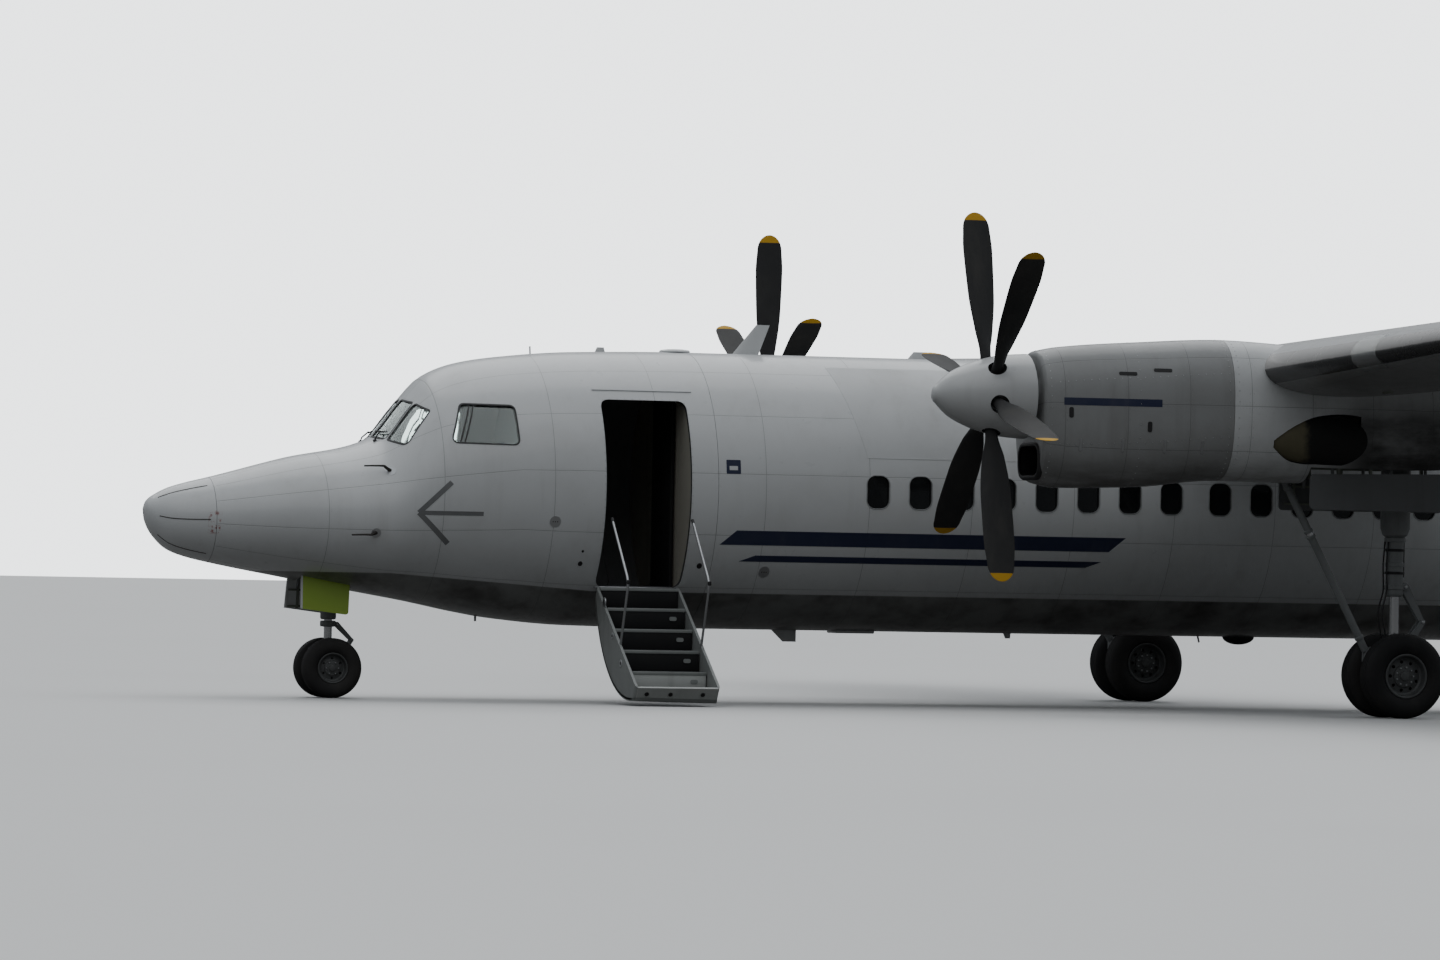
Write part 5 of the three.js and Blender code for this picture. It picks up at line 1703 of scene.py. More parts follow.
class AIRLINER_OT_wings(bpy.types.Operator):
    """Builds the wing, its flaps and its ailerons"""

    bl_idname = "airliner.wings"
    bl_label = "Wing, flaps and ailerons"

    def execute(self, context):
        paints = [finish("wing"), finish("ice_boot"), finish("primer")]
        middle_rings = [wing_ring(y) for y in stations(-WING_JOINT + SEAM / 2, WING_JOINT - SEAM / 2, 0.25)]
        centre = surface_mesh("wing_middle", blade_loft(middle_rings), paints)
        smooth(centre)
        fitted(centre, "airframe", ("wing_centre",), "wing_paint")
        lofted = blade_loft(wing_rings())
        aileron_line = span_line(AILERON_SPAN, AILERON_SHARE)
        r0, r1 = (hinge_point(wing_row(y), AILERON_SHARE)[2] for y in AILERON_SPAN)
        spread = 1 / math.cos(AILERON_SWING)
        for name, side in SIDES.items():
            whole = sided(lofted, side)
            fixed = surface_mesh(f"wing_skin_{name}", whole, paints)
            cuts = []
            for flap in FLAPS.values():
                opening = aft_block(*span_line(flap["span"], FLAP_SHARE), 0, 0)
                cuts.append(Shape().add(on_side(opening, side), 2))
            cuts.append(Shape().add(on_side(aft_block(*aileron_line, 0, 0), side), 2))
            nose = taper_bar(*aileron_line, r0 * spread, r1 * spread, 0, MOVING_GAP)
            cuts.append(Shape().add(on_side(nose, side), 2))
            carved(fixed, cuts)
            for flap in FLAPS.values():
                line = span_line(flap["span"], FLAP_SHARE)
                plates = flap_plates(*line, bracket_outline(flap["drop"]), flap["arms"], 0, BRACKET_WIDTH)
                plates.points = [(x, side * y, z) for x, y, z in plates.points]
                added(fixed, plates)
            plate_x, plate_y, plate_z = PLATE_SPOT
            plate = lathe(WING_PLATE, (plate_x, side * plate_y, plate_z), "z", 24)
            added(fixed, Shape().add(plate, 2))
            smooth(fixed)
            fitted(fixed, "airframe", (f"wing_{name}",), "wing_paint")
            for label, flap in FLAPS.items():
                line = span_line(flap["span"], FLAP_SHARE)
                moving = surface_mesh(f"flap_skin_{label}_{name}", whole, paints)
                behind = on_side(aft_block(*line, MOVING_GAP, MOVING_GAP), side)
                carved(moving, [Shape().add(behind, 2)], "INTERSECT")
                plates = flap_plates(
                    *line, arm_outline(flap["drop"]), flap["arms"], BRACKET_WIDTH + 0.0003, 0.02
                )
                plates.points = [(x, side * y, z) for x, y, z in plates.points]
                added(moving, plates)
                smooth(moving)
                fitted(moving, f"flap_{label}_{name}", (f"flap_{label}_{name}",), "wing_paint")
            moving = surface_mesh(f"aileron_skin_{name}", whole, paints)
            behind = on_side(aft_block(*aileron_line, MOVING_GAP, 0), side)
            carved(moving, [Shape().add(behind, 2)], "INTERSECT")
            extra = Shape().add(on_side(taper_bar(*aileron_line, r0, r1, MOVING_GAP, 0), side))
            added(moving, extra.add(on_side(pins(*aileron_line), side), 2))
            smooth(moving)
            fitted(moving, f"aileron_{name}", (f"aileron_{name}",), "wing_paint")
        return {"FINISHED"}


FIN_ROOT = {"z": 3.300, "edge": 18.600, "chord": 4.320, "thick": 0.475}
FIN_TOP = {"z": 8.150, "edge": 21.210, "chord": 1.560, "thick": 0.160}
FIN_END = {"z": 8.320, "edge": 21.480, "chord": 1.180, "thick": 0.060}
FIN_FOOT = {"z": 2.900, "edge": 18.390, "chord": 4.560, "thick": 0.500}
RUDDER_LINE = ((21.470, 0.0, 3.920), (22.235, 0.0, 8.080))
RUDDER_SWING = math.radians(25)
# The dorsal fillet's ridge: station and height
DORSAL = ((15.65, 3.44), (15.9, 3.47), (18.55, 3.95), (19.15, 4.45), (19.3, 4.62))
DORSAL_BEND = 18.55
TAIL_ROOT = {"y": 0.0, "edge": 20.330, "chord": 2.450, "thick": 0.295, "height": 3.600}
TAIL_TOP = {"y": 4.780, "edge": 21.080, "chord": 1.300, "thick": 0.145, "height": 4.100}
TAIL_END = {"y": 4.875, "edge": 21.250, "chord": 1.000, "thick": 0.050, "height": 4.110}
ELEVATOR_SPAN = (0.700, 4.640)
ELEVATOR_SHARE = 0.64
TAIL_SWING = math.radians(20)


def rounded_rows(start, end, count=10):
    """Rows from a full section to a small end section, along a quarter circle."""
    rows = []
    for i in range(1, count + 1):
        t = math.sin(math.pi / 2 * i / count)
        shrink = 1 - math.sqrt(max(1 - t * t, 0))
        row = mixed(start, end, shrink)
        for key in ("z", "y", "height"):
            if key in row:
                row[key] = start[key] + (end[key] - start[key]) * t
        rows.append(row)
    return rows


def fin_rings():
    rows = [FIN_FOOT, *(mixed(FIN_ROOT, FIN_TOP, i / 12) for i in range(13))]
    rows += rounded_rows(FIN_TOP, FIN_END)
    return [section(row, lambda x, y, z=row["z"]: (x, y, z)) for row in rows]


def tail_rings():
    rows = [mixed(TAIL_ROOT, TAIL_TOP, i / 12) for i in range(13)] + rounded_rows(TAIL_TOP, TAIL_END, 8)
    return [section(row, lambda x, z, row=row: (x, row["y"], row["height"] + z)) for row in rows]


def sweep_of(root, end, along, share=0.4):
    """How far aft a line at a share of the chord moves for each metre of span."""
    shift = end["edge"] + share * end["chord"] - root["edge"] - share * root["chord"]
    return shift / along


WING_SWEEP = sweep_of(WING_ROOT, WING_TIP, HALF_SPAN)
TAIL_SWEEP = sweep_of(TAIL_ROOT, TAIL_TOP, TAIL_TOP["y"])
FIN_SWEEP = sweep_of(FIN_ROOT, FIN_TOP, FIN_TOP["z"] - FIN_ROOT["z"])


class AIRLINER_OT_tail(bpy.types.Operator):
    """Builds the fin, rudder, tailplane and elevators"""

    bl_idname = "airliner.tail"
    bl_label = "Fin and tailplane"

    def execute(self, context):
        paints = [finish("tail"), finish("ice_boot"), finish("primer")]
        lofted = blade_loft(fin_rings())
        radii = []
        for x, _, z in RUDDER_LINE:
            row = mixed(FIN_ROOT, FIN_TOP, (z - FIN_ROOT["z"]) / (FIN_TOP["z"] - FIN_ROOT["z"]))
            share = (x - row["edge"]) / row["chord"]
            radii.append(half_thickness(share) * row["thick"] + EDGE_HALF * share)
        spread = 1 / math.cos(RUDDER_SWING)
        upright_paints = [finish("fin"), finish("ice_boot"), finish("primer")]
        fixed = surface_mesh("fin_skin", lofted, upright_paints)
        carved(fixed, [
            Shape().add(aft_block(*RUDDER_LINE, 0, 0), 2),
            Shape().add(taper_bar(*RUDDER_LINE, radii[0] * spread, radii[1] * spread, 0, MOVING_GAP), 2),
        ])
        rings = []
        front, rear = DORSAL[0][0], DORSAL[-1][0]
        for x in stations(front, rear, 0.12):
            ridge = float(np.interp(x, [spot[0] for spot in DORSAL], [spot[1] for spot in DORSAL]))
            ridge -= 0.05 * math.exp(-((x - DORSAL_BEND) / 0.35) ** 2)
            foot = crown_at(x) - 0.06
            wide = 0.03 + 0.13 * min(max((x - front) / 3.4, 0), 1)
            ring = []
            for k in range(21):
                t = k / 20 * 2 - 1
                rise = (1 - abs(t)) ** 1.7
                height = foot + (ridge - foot) * min(rise * 1.06, 1.0)
                ring.append((x, wide * t * (1 - 0.55 * rise), height))
            rings.append(ring)
        added(fixed, Shape().add(loft(rings)))
        smooth(fixed)
        fitted(fixed, "airframe", ("fin",), "white_paint")
        moving = surface_mesh("rudder_skin", lofted, upright_paints)
        carved(moving, [Shape().add(aft_block(*RUDDER_LINE, MOVING_GAP, 0), 2)], "INTERSECT")
        extra = Shape().add(taper_bar(*RUDDER_LINE, *radii, MOVING_GAP, 0))
        added(moving, extra.add(pins(*RUDDER_LINE), 2))
        smooth(moving)
        fitted(moving, "rudder", ("rudder",), "white_paint")

        lofted = blade_loft(tail_rings())
        line, radii = [], []
        for y in ELEVATOR_SPAN:
            row = mixed(TAIL_ROOT, TAIL_TOP, y / TAIL_TOP["y"])
            x, z, half = hinge_point(row, ELEVATOR_SHARE)
            line.append((x, y, z))
            radii.append(half)
        spread = 1 / math.cos(TAIL_SWING)
        for name, side in SIDES.items():
            whole = sided(lofted, side)
            fixed = surface_mesh(f"tailplane_skin_{name}", whole, paints)
            nose = taper_bar(*line, radii[0] * spread, radii[1] * spread, 0, MOVING_GAP)
            opening = aft_block(*line, 0, 0)
            carved(fixed, [Shape().add(on_side(opening, side), 2), Shape().add(on_side(nose, side), 2)])
            smooth(fixed)
            fitted(fixed, "airframe", (f"tailplane_{name}",), "white_paint")
            moving = surface_mesh(f"elevator_skin_{name}", whole, paints)
            carved(moving, [Shape().add(on_side(aft_block(*line, MOVING_GAP, 0), side), 2)], "INTERSECT")
            extra = Shape().add(on_side(taper_bar(*line, *radii, MOVING_GAP, 0), side))
            added(moving, extra.add(on_side(pins(*line), side), 2))
            smooth(moving)
            fitted(moving, f"elevator_{name}", (f"elevator_{name}",), "white_paint")
        return {"FINISHED"}


# Engines and propellers


def nacelle_ring(x, side, inset=0.0, points=72):
    return [oval(NACELLE_LINES, x, a, inset, NACELLE_POWER, side * ENGINE_SIDE) for a in around(points)]


def nacelle_loft(xs, side, inset=0.0, points=72):
    return loft([nacelle_ring(x, side, inset, points) for x in xs])


def nacelle_normal_at(side):
    def normal(co):
        x = min(max(co.x - AXLE, COWL_FRONT + 0.01), NACELLE_TIP - 0.01)
        crown, keel, half = NACELLE_LINES.at(x)
        u, v = (co.y - side * ENGINE_SIDE) / half, (co.z - (crown + keel) / 2) / ((crown - keel) / 2)
        bend = NACELLE_POWER / 2
        angle = math.atan2(math.copysign(abs(v) ** bend, v), math.copysign(abs(u) ** bend, u))
        step = 0.02

        def spot(station, turn):
            return Vector(oval(NACELLE_LINES, station, turn, 0, NACELLE_POWER))

        round_it = spot(x, angle + step) - spot(x, angle - step)
        along = spot(x + step, angle) - spot(x - step, angle)
        out = round_it.cross(along).normalized()
        return out if out.dot(Vector((0, u, v))) > 0 else -out
    return normal


# Spinner rows: radius and station
SPINNER = (
    (0.0, 4.960), (0.045, 4.968), (0.095, 5.010), (0.160, 5.075), (0.215, 5.145), (0.268, 5.245),
    (0.315, 5.360), (0.352, 5.480), (0.380, 5.600), (0.396, 5.740), (0.405, 5.890),
)
# Blade rows: radius, chord, thickness and twist
BLADE = (
    (0.150, 0.110, 0.110, 0.0),
    (0.400, 0.120, 0.090, 0.5),
    (0.620, 0.215, 0.050, 0.4),
    (1.000, 0.290, 0.034, 0.22),
    (1.450, 0.300, 0.022, 0.06),
    (1.660, 0.268, 0.016, 0.0),
)
BLADE_REACH = 1.830


def blade_shape():
    """One feathered blade, with its chord along the shaft and its root on the shaft's axis."""
    lines = Fair(BLADE)
    rings = []
    root, shoulder = BLADE[0][0], BLADE[-1][0]
    rows = [(radius, 1.0) for radius in stations(root, shoulder, 0.05)]
    for turn in stations(0.0, math.pi / 2 - 0.04, 0.13)[1:]:
        rows.append((shoulder + (BLADE_REACH - shoulder) * math.sin(turn), math.cos(turn)))
    for radius, share in rows:
        chord, thick, twist = lines.at(radius)
        chord, thick = chord * share, thick * max(share, 0.35)
        ring = []
        for a in around(24, 0):
            lean = 1 - 0.35 * max(0.0, math.cos(a)) if radius > 0.5 else 1.0
            u, v = math.cos(a) * chord / 2, math.sin(a) * thick / 2 * lean
            cos, sin = math.cos(twist), math.sin(twist)
            ring.append((u * cos - v * sin, u * sin + v * cos, radius))
        rings.append(ring)
    return loft(rings)


def about_shaft(turn, side):
    return Matrix.Translation((PROP_PLANE, side * ENGINE_SIDE, PROP_HEIGHT)) @ Matrix.Rotation(turn, 4, "X")


# Lathe rows of the hub and of the spinner's inside: radius and station
HUB = ((0, 5.39), (0.165, 5.39), (0.17, 5.40), (0.17, 5.92), (0.165, 5.93), (0, 5.93))
SPINNER_INSIDE = (
    (0.172, 5.890), (0.172, 5.872), (0.386, 5.872), (0.358, 5.600), (0.285, 5.360), (0.0, 5.060),
)
BLADE_HOLE = {"radius": 0.088, "from": 0.25, "to": 0.48}


class AIRLINER_OT_propellers(bpy.types.Operator):
    """Builds the six-bladed propellers and their spinners"""

    bl_idname = "airliner.propellers"
    bl_label = "Propellers"

    def execute(self, context):
        blade = blade_shape()
        for name, side in SIDES.items():
            shaft = (0.0, side * ENGINE_SIDE, PROP_HEIGHT)
            turns = [PROP_TURNS[name] + i * 2 * math.pi / BLADES for i in range(BLADES)]
            blades = Shape()
            for turn in turns:
                blades.add(changed(blade, about_shaft(turn, side)))
            blades.add(lathe(HUB, shaft, "x"), 1)
            paints = [finish("blade"), finish("metal")]
            body = f"propeller_{name}"
            piece(f"blades_{name}", blades, body, paints, (f"propeller_{name}",), "blade_black", 40)

            fine = Fair([(along, radius) for radius, along in SPINNER])
            point, back = SPINNER[0][1], SPINNER[-1][1]
            nose = [point + (back - point) * (i / 36) ** 1.7 for i in range(1, 37)]
            profile = [SPINNER[0], *((float(fine.at(x)[0]), x) for x in nose), *SPINNER_INSIDE]
            cone = Shape().add(lathe(profile, shaft, "x", 72))
            shell = mesh_of(f"spinner_shell_{name}", cone, [finish("spinner"), finish("boot")])
            holes = Shape()
            for turn in turns:
                hole = pipe(
                    [(0, 0, BLADE_HOLE["from"]), (0, 0, BLADE_HOLE["to"])], BLADE_HOLE["radius"], 24,
                )
                holes.add(changed(hole, about_shaft(turn, side)), 1)
            carved(shell, [holes])
            smooth(shell)
            fitted(shell, body, (f"spinner_{name}",), "white_paint")
        return {"FINISHED"}


def exhaust_ring(x, side, inset=0.0, points=48):
    crown, keel, half, out = EXHAUST_LINES.at(x)
    rise = (crown - keel) / 2 - inset
    centre = side * (ENGINE_SIDE + out)
    return [
        (
            x, centre + (half - inset) * math.cos(a), (crown + keel) / 2 + rise * math.sin(a),
        ) for a in around(points)
    ]


def exhaust_outline():
    """The pipe in side view, with a round end."""
    front, rear = EXHAUST[0][0] - 0.05, EXHAUST[-1][0] - 0.004
    crown, keel = EXHAUST[-1][1] + 0.02, EXHAUST[-1][2] - 0.02
    reach, half = 0.34, (crown - keel) / 2
    bend = [
        (rear - reach + reach * math.cos(a), (crown + keel) / 2 + half * math.sin(a))
        for a in stations(-math.pi / 2, math.pi / 2, 0.14)
    ]
    return [(front, keel), *bend, (front, crown)]


def exhaust_tube(side):
    """The outside of the pipe back to its rounded lip, and the bore forward again."""
    front, rear = EXHAUST[0][0], EXHAUST[-1][0]
    outside = [exhaust_ring(x, side) for x in stations(front, rear - 0.01, 0.05)]
    lip = [exhaust_ring(rear, side, EXHAUST_WALL * 0.3), exhaust_ring(rear, side, EXHAUST_WALL * 0.7)]
    bore = [
        exhaust_ring(x, side, EXHAUST_WALL) for x in reversed(stations(EXHAUST_FLOOR, rear - 0.01, 0.05))
    ]
    return loft(outside + lip + bore)


def at_engine(low, high, side, edge=0.0):
    """A block given by its corners on the starboard engine's plane."""
    (x0, y0, z0), (x1, y1, z1) = low, high
    return on_side(block((x0, ENGINE_SIDE + y0, z0), (x1, ENGINE_SIDE + y1, z1), edge), side)


def beside_engine(mesh, side):
    """Moves a mesh made about the plane of symmetry to an engine."""
    return on_side(changed(mesh, Matrix.Translation((0, ENGINE_SIDE, 0))), side)


COWL_WALL = 0.028
COWL_LIP = 0.045
INTAKE = {"half": 0.27, "low": 2.26, "high": 2.54, "corner": 0.12, "pitch": 0.04}
# The intake's rubber lip: how far out of the mouth's outline, and how far aft of the cowl's front
INTAKE_LIP = ((0.0, -0.012), (0.016, -0.018), (0.034, -0.012), (0.044, 0.004), (0.044, 0.030), (0.0, 0.030))
# The intake's duct: distance aft of the cowl's front, and how much it shrinks
INTAKE_DUCT = ((0.01, 0.0), (0.25, 0.03), (0.45, 0.08))
SHAFT_RING = ((0, 5.9), (0.18, 5.9), (0.18, 6.03), (0, 6.03))
# Fittings on the cowl's outboard face: stations and heights
COWL_HANDLES = ((6.77, 3.24), (7.12, 3.28))
COWL_LATCHES = (6.30, 6.72, 7.14, 7.52)
COWL_VENTS = ((6.20, 2.86), (6.98, 2.74))
COWL_STRIPE = {"front": 6.130, "rear": 7.100, "low": 2.930, "high": 3.000}
BAY_FRAMES = (8.95, 9.28, 10.12, 10.42)
BAY_STRINGERS = (-0.22, 0.2)
BAY_PIPES = (-0.34, -0.30, 0.31, 0.35)
DOOR_LEAF = ((8.650, 1.990), (10.350, 1.990), (10.350, 2.360), (8.650, 2.330))
DOOR_OFFSET = 0.412
DOOR_HALF = 0.012
DOOR_RIBS = (8.80, 9.20, 9.60, 10.00, 10.24)
DOOR_RAILS = (2.05, 2.22)
DOOR_ARMS = (8.90, 9.50, 10.15)
# An arm of a main door: how far inside the leaf, and height
DOOR_ARM = ((0.012, 2.20), (0.06, 2.36), (0.07, 2.62))


def band_of(rings):
    """A closed skin over rings whose last joins the first."""
    points = [p for ring in rings for p in ring]
    count = len(rings[0])
    faces = []
    for r in range(len(rings)):
        after = (r + 1) % len(rings)
        for i in range(count):
            k = (i + 1) % count
            faces.append([r * count + i, r * count + k, after * count + k, after * count + i])
    return points, faces


def nacelle_projector(side):
    """The nacelle's outboard face at a station and a height, lifted off the skin."""
    def onto(x, z, lift):
        crown, keel, half = NACELLE_LINES.at(x)
        share = min(max(2 * (z - (crown + keel) / 2) / (crown - keel), -0.99), 0.99)
        y = half * (1 - abs(share) ** NACELLE_POWER) ** (1 / NACELLE_POWER)
        at = Vector((x + AXLE, side * (ENGINE_SIDE + y), z))
        out = nacelle_normal_at(side)(at)
        at.x -= AXLE
        return at + out * lift
    return onto


def patch(outline, onto, lift, sunk=0.004):
    """A thin plate laid on a surface inside an outline."""
    count = len(outline)
    centre = sum((Vector(p) for p in outline), Vector((0, 0))) / count
    points = [tuple(onto(u, v, lift)) for u, v in outline]
    points += [tuple(onto(u, v, -sunk)) for u, v in outline]
    points += [tuple(onto(centre.x, centre.y, lift)), tuple(onto(centre.x, centre.y, -sunk))]
    faces = []
    for i in range(count):
        k = (i + 1) % count
        faces.append([i, k, 2 * count])
        faces.append([i, k, count + k, count + i])
        faces.append([count + k, count + i, 2 * count + 1])
    return points, faces


class AIRLINER_OT_nacelles(bpy.types.Operator):
    """Builds the engine cowls, the nacelles with their wheel bays, and the exhausts"""

    bl_idname = "airliner.nacelles"
    bl_label = "Nacelles and exhausts"

    def execute(self, context):
        for name, side in SIDES.items():
            self.cowl(name, side)
            self.rear(name, side)
            self.bay(name, side)
            tube = Shape().add(exhaust_tube(side))
            pipe_end = mesh_of(f"exhaust_pipe_{name}", tube, [finish("exhaust")])
            kept = on_side(prism(exhaust_outline(), "y", 3.0, 5.0), side)
            carved(pipe_end, [Shape().add(kept)], "INTERSECT")
            smooth(pipe_end, 45)
            fitted(pipe_end, "airframe", (f"exhaust_{name}",), "dark_metal")
        return {"FINISHED"}

    def cowl(self, name, side):
        shaft = (0.0, side * ENGINE_SIDE, PROP_HEIGHT)
        finishes = [finish(f"cowl_{name}"), finish("boot"), finish("dark"), finish("metal")]
        lip = COWL_LIP
        xs = stations(COWL_FRONT + lip, FIREWALL - SEAM / 2, 0.06)
        turns = stations(0, math.pi / 2, 0.2)[:-1]
        nose = [(COWL_FRONT + lip * (1 - math.cos(a)), lip * (1 - math.sin(a))) for a in turns]
        rings = [nacelle_ring(x, side, inset) for x, inset in nose]
        rings += [nacelle_ring(x, side) for x in xs]
        cowl = mesh_of(f"cowl_skin_{name}", Shape().add(loft(rings)), finishes)
        inside = nacelle_loft([COWL_FRONT + 0.035, *xs[2:-1], FIREWALL + 0.02], side, COWL_WALL)
        near, far = side * ENGINE_SIDE - INTAKE["half"], side * ENGINE_SIDE + INTAKE["half"]
        chin = rounded(box_outline(near, far, INTAKE["low"], INTAKE["high"]), INTAKE["corner"], 8)
        mouth = prism(chin, "x", COWL_FRONT - 0.05, COWL_FRONT + 0.08)
        carved(cowl, [
            Shape().add(inside, 2),
            Shape().add(lathe(SHAFT_RING, shaft, "x"), 1),
            Shape().add(mouth, 1),
        ])
        smooth(cowl, 40)
        faired(cowl, nacelle_normal_at(side))
        fitted(cowl, "airframe", (f"cowl_{name}",), "grey_paint")

        boot = Shape()
        mouth_line = denser(chin, INTAKE["pitch"])
        ringed = []
        for radius, along in INTAKE_LIP:
            ringed.append([(COWL_FRONT + along, y, z) for y, z in grown(mouth_line, radius)])
        boot.add(band_of(ringed))
        # Painted shade: the duct behind the rubber lip and the plate that closes it take the black rubber
        # finish for the shade inside the intake
        duct = []
        for along, shrink in INTAKE_DUCT:
            duct.append([(COWL_FRONT + along, y, z) for y, z in grown(mouth_line, -shrink - 0.002)])
        boot.add(loft(duct, ends=False))
        boot.add(prism(grown(chin, -0.08), "x", COWL_FRONT + 0.44, COWL_FRONT + 0.45))
        piece(f"intake_lip_{name}", boot, "airframe", [finish("boot")], slot="tyre", crease=50)

        fittings = Shape()
        onto = nacelle_projector(side)
        for x, z in COWL_HANDLES:
            line = denser(rounded(box_outline(x - 0.09, x + 0.09, z - 0.016, z + 0.016), 0.015), 0.02)
            fittings.add(patch(line, onto, 0.004), 0)
        for x in COWL_LATCHES:
            line = rounded(box_outline(x - 0.012, x + 0.012, 2.50, 2.62), 0.01)
            fittings.add(patch(line, onto, 0.005), 1)
        for x, z in COWL_VENTS:
            line = rounded(box_outline(x - 0.022, x + 0.022, z - 0.05, z + 0.05), 0.02)
            fittings.add(patch(line, onto, 0.003), 0)
        along = stations(COWL_STRIPE["front"], COWL_STRIPE["rear"], 0.05)
        heights = stations(COWL_STRIPE["low"], COWL_STRIPE["high"], 0.024)
        fittings.add(sheet([[(x, z) for x in along] for z in heights], onto, 0.0018), 2)
        paints = [finish("boot"), finish("metal"), finish("navy")]
        piece(f"cowl_latches_{name}", fittings, "airframe", paints, slot="bare_metal")

    def rear(self, name, side):
        finishes = [finish(f"nacelle_{name}"), finish("primer"), finish("dark")]
        xs = stations(FIREWALL + SEAM / 2, NACELLE_TIP - 0.01, 0.08)
        rear = mesh_of(f"nacelle_skin_{name}", Shape().add(nacelle_loft(xs, side)), finishes)
        bay = at_engine(
            (MAIN_BAY["front"], -MAIN_BAY["half"], 1.0),
            (MAIN_BAY["rear"], MAIN_BAY["half"], MAIN_BAY["top"]), side,
        )
        slot = at_engine((STAY_TOP[0] - 0.10, -0.075, 1.0), (MAIN_BAY["front"] + 0.05, 0.075, 2.46), side)
        front = EXHAUST[0][0] - 0.01
        hole = loft([exhaust_ring(x, side, -0.012) for x in stations(front, EXHAUST[-1][0], 0.05)])
        carved(rear, [Shape().add(bay, 1), Shape().add(slot, 1), Shape().add(hole, 2)])
        smooth(rear, 40)
        faired(rear, nacelle_normal_at(side))
        fitted(rear, "airframe", (f"nacelle_{name}",), "white_paint")

    def bay(self, name, side):
        """Frames, stringers and pipes inside a main wheel bay, and its doors."""
        inside = Shape()
        half, top = MAIN_BAY["half"], MAIN_BAY["top"]
        for x in BAY_FRAMES:
            inside.add(at_engine((x - 0.02, -half, top - 0.09), (x + 0.02, half, top), side, 0.006))
            for y in (-half, half - 0.035):
                inside.add(at_engine((x - 0.015, y, 2.30), (x + 0.015, y + 0.035, top), side, 0.005))
        for y in BAY_STRINGERS:
            inside.add(at_engine((8.70, y - 0.012, top - 0.05), (10.66, y + 0.012, top), side, 0.004))
        pipes = Shape()
        for i, y in enumerate(BAY_PIPES):
            run = [(8.68, y, 2.62), (9.30, y, 2.64), (9.50, y, 2.72 - 0.02 * i), (10.66, y, 2.74)]
            pipes.add(beside_engine(pipe(run, 0.010 + 0.002 * (i % 2), 10), side))
        piece(f"bay_frames_{name}", inside, "airframe", [finish("primer")], slot="inside_trim")
        piece(f"bay_pipes_{name}", pipes, "airframe", [finish("metal")], slot="bare_metal")
        for label, sign in (("outer", 1), ("inner", -1)):
            door = Shape()
            outline = denser(rounded(DOOR_LEAF, 0.05), 0.15)
            middle_y = ENGINE_SIDE + sign * DOOR_OFFSET
            door.add(on_side(prism(outline, "y", middle_y - DOOR_HALF, middle_y + DOOR_HALF), side), 0)
            inner = middle_y - sign * DOOR_HALF
            for x in DOOR_RIBS:
                rib = box_outline(x - 0.014, x + 0.014, 2.03, 2.26)
                door.add(on_side(prism(rib, "y", *sorted((inner, inner - sign * 0.014))), side), 1)
            for z in DOOR_RAILS:
                rib = box_outline(8.70, 10.30, z - 0.010, z + 0.010)
                door.add(on_side(prism(rib, "y", *sorted((inner, inner - sign * 0.016))), side), 1)
            for x in DOOR_ARMS:
                arm = [(x, middle_y - ENGINE_SIDE - sign * reach, z) for reach, z in DOOR_ARM]
                door.add(beside_engine(pipe(arm, 0.016, 10), side), 2)
            # The leaf's near-black paint is painted shade under the wing
            paints = [finish("bay_door"), finish("primer"), finish("steel")]
            piece(
                f"main_door_leaf_{label}_{name}", door, "airframe", paints, (f"main_door_{label}_{name}",),
                "white_paint",
            )


# Landing gear


def upright(x, y, profile, sides=32):
    """A turned post about an upright axis: the profile is radius and height."""
    return lathe([(0.0, profile[0][1]), *profile, (0.0, profile[-1][1])], (x, y, 0.0), "z", sides)


def across_wheel(x, y, z, half, radius, edge=0.004, sides=32):
    return bar((x, y - half, z), (x, y + half, z), radius, sides, edge)


def collar(at, radius, rise=0.012, half=0.022):
    """Profile rows of a raised ring on a post."""
    outer = radius + rise
    return [
        (radius, at - half), (outer, at - half + 0.004), (outer, at + half - 0.004), (radius, at + half),
    ]


def link_arm(start, end, half_start, half_end, thick, y):
    """A tapered link between two pins in a plane across the axle."""
    start, end = Vector(start), Vector(end)
    ahead = (end - start).normalized()
    aside = Vector((-ahead.y, ahead.x))
    outline = []
    for centre, size, facing in ((start, half_start, -1), (end, half_end, 1)):
        for k in range(9):
            angle = math.pi * (k / 8 - 0.5)
            turned = ahead * math.cos(angle) + aside * math.sin(angle)
            outline.append(tuple(centre + turned * (facing * size)))
    return prism(outline, "y", y - thick / 2, y + thick / 2)


def joined_to(spot):
    """A side view spot as the centre of a pin on the plane of symmetry."""
    x, z = spot
    return x, 0.0, z


def placed(shape, side):
    """A shape made about the plane of symmetry, moved to an engine's plane."""
    shape.points = [(x, y + side * ENGINE_SIDE, z) for x, y, z in shape.points]
    return shape


def smoothed(path, steps=6):
    """A fair path through points."""
    rows = [(float(i), *p) for i, p in enumerate(path)]
    line = Fair(rows)
    return [tuple(line.at(k / steps)) for k in range((len(path) - 1) * steps + 1)]


# Main leg: lathe rows of radius and height, the chrome rod, and the lug that holds the drag stay
ROD = {"radius": 0.052, "low": 0.700, "high": 1.210}
LEG_FOOT = [
    (0.058, 0.432), (0.062, 0.440), (0.062, 0.560), *collar(0.64, 0.062, 0.016, 0.035), (0.060, ROD["low"]),
]
LEG_SLEEVE = [
    (0.070, 1.170), (0.080, 1.180), (0.088, 1.200), *collar(1.26, 0.084), *collar(1.48, 0.084, 0.006),
    (0.086, 1.660), *collar(1.72, 0.090, 0.014), (0.120, 1.765), (0.143, 1.830), (0.145, 2.849),
]
STAY_LUG = (
    (9.650, 0.350), (9.650, 0.520), (9.490, 0.690), (9.400, 0.640), (9.400, 0.540), (9.560, 0.350),
)
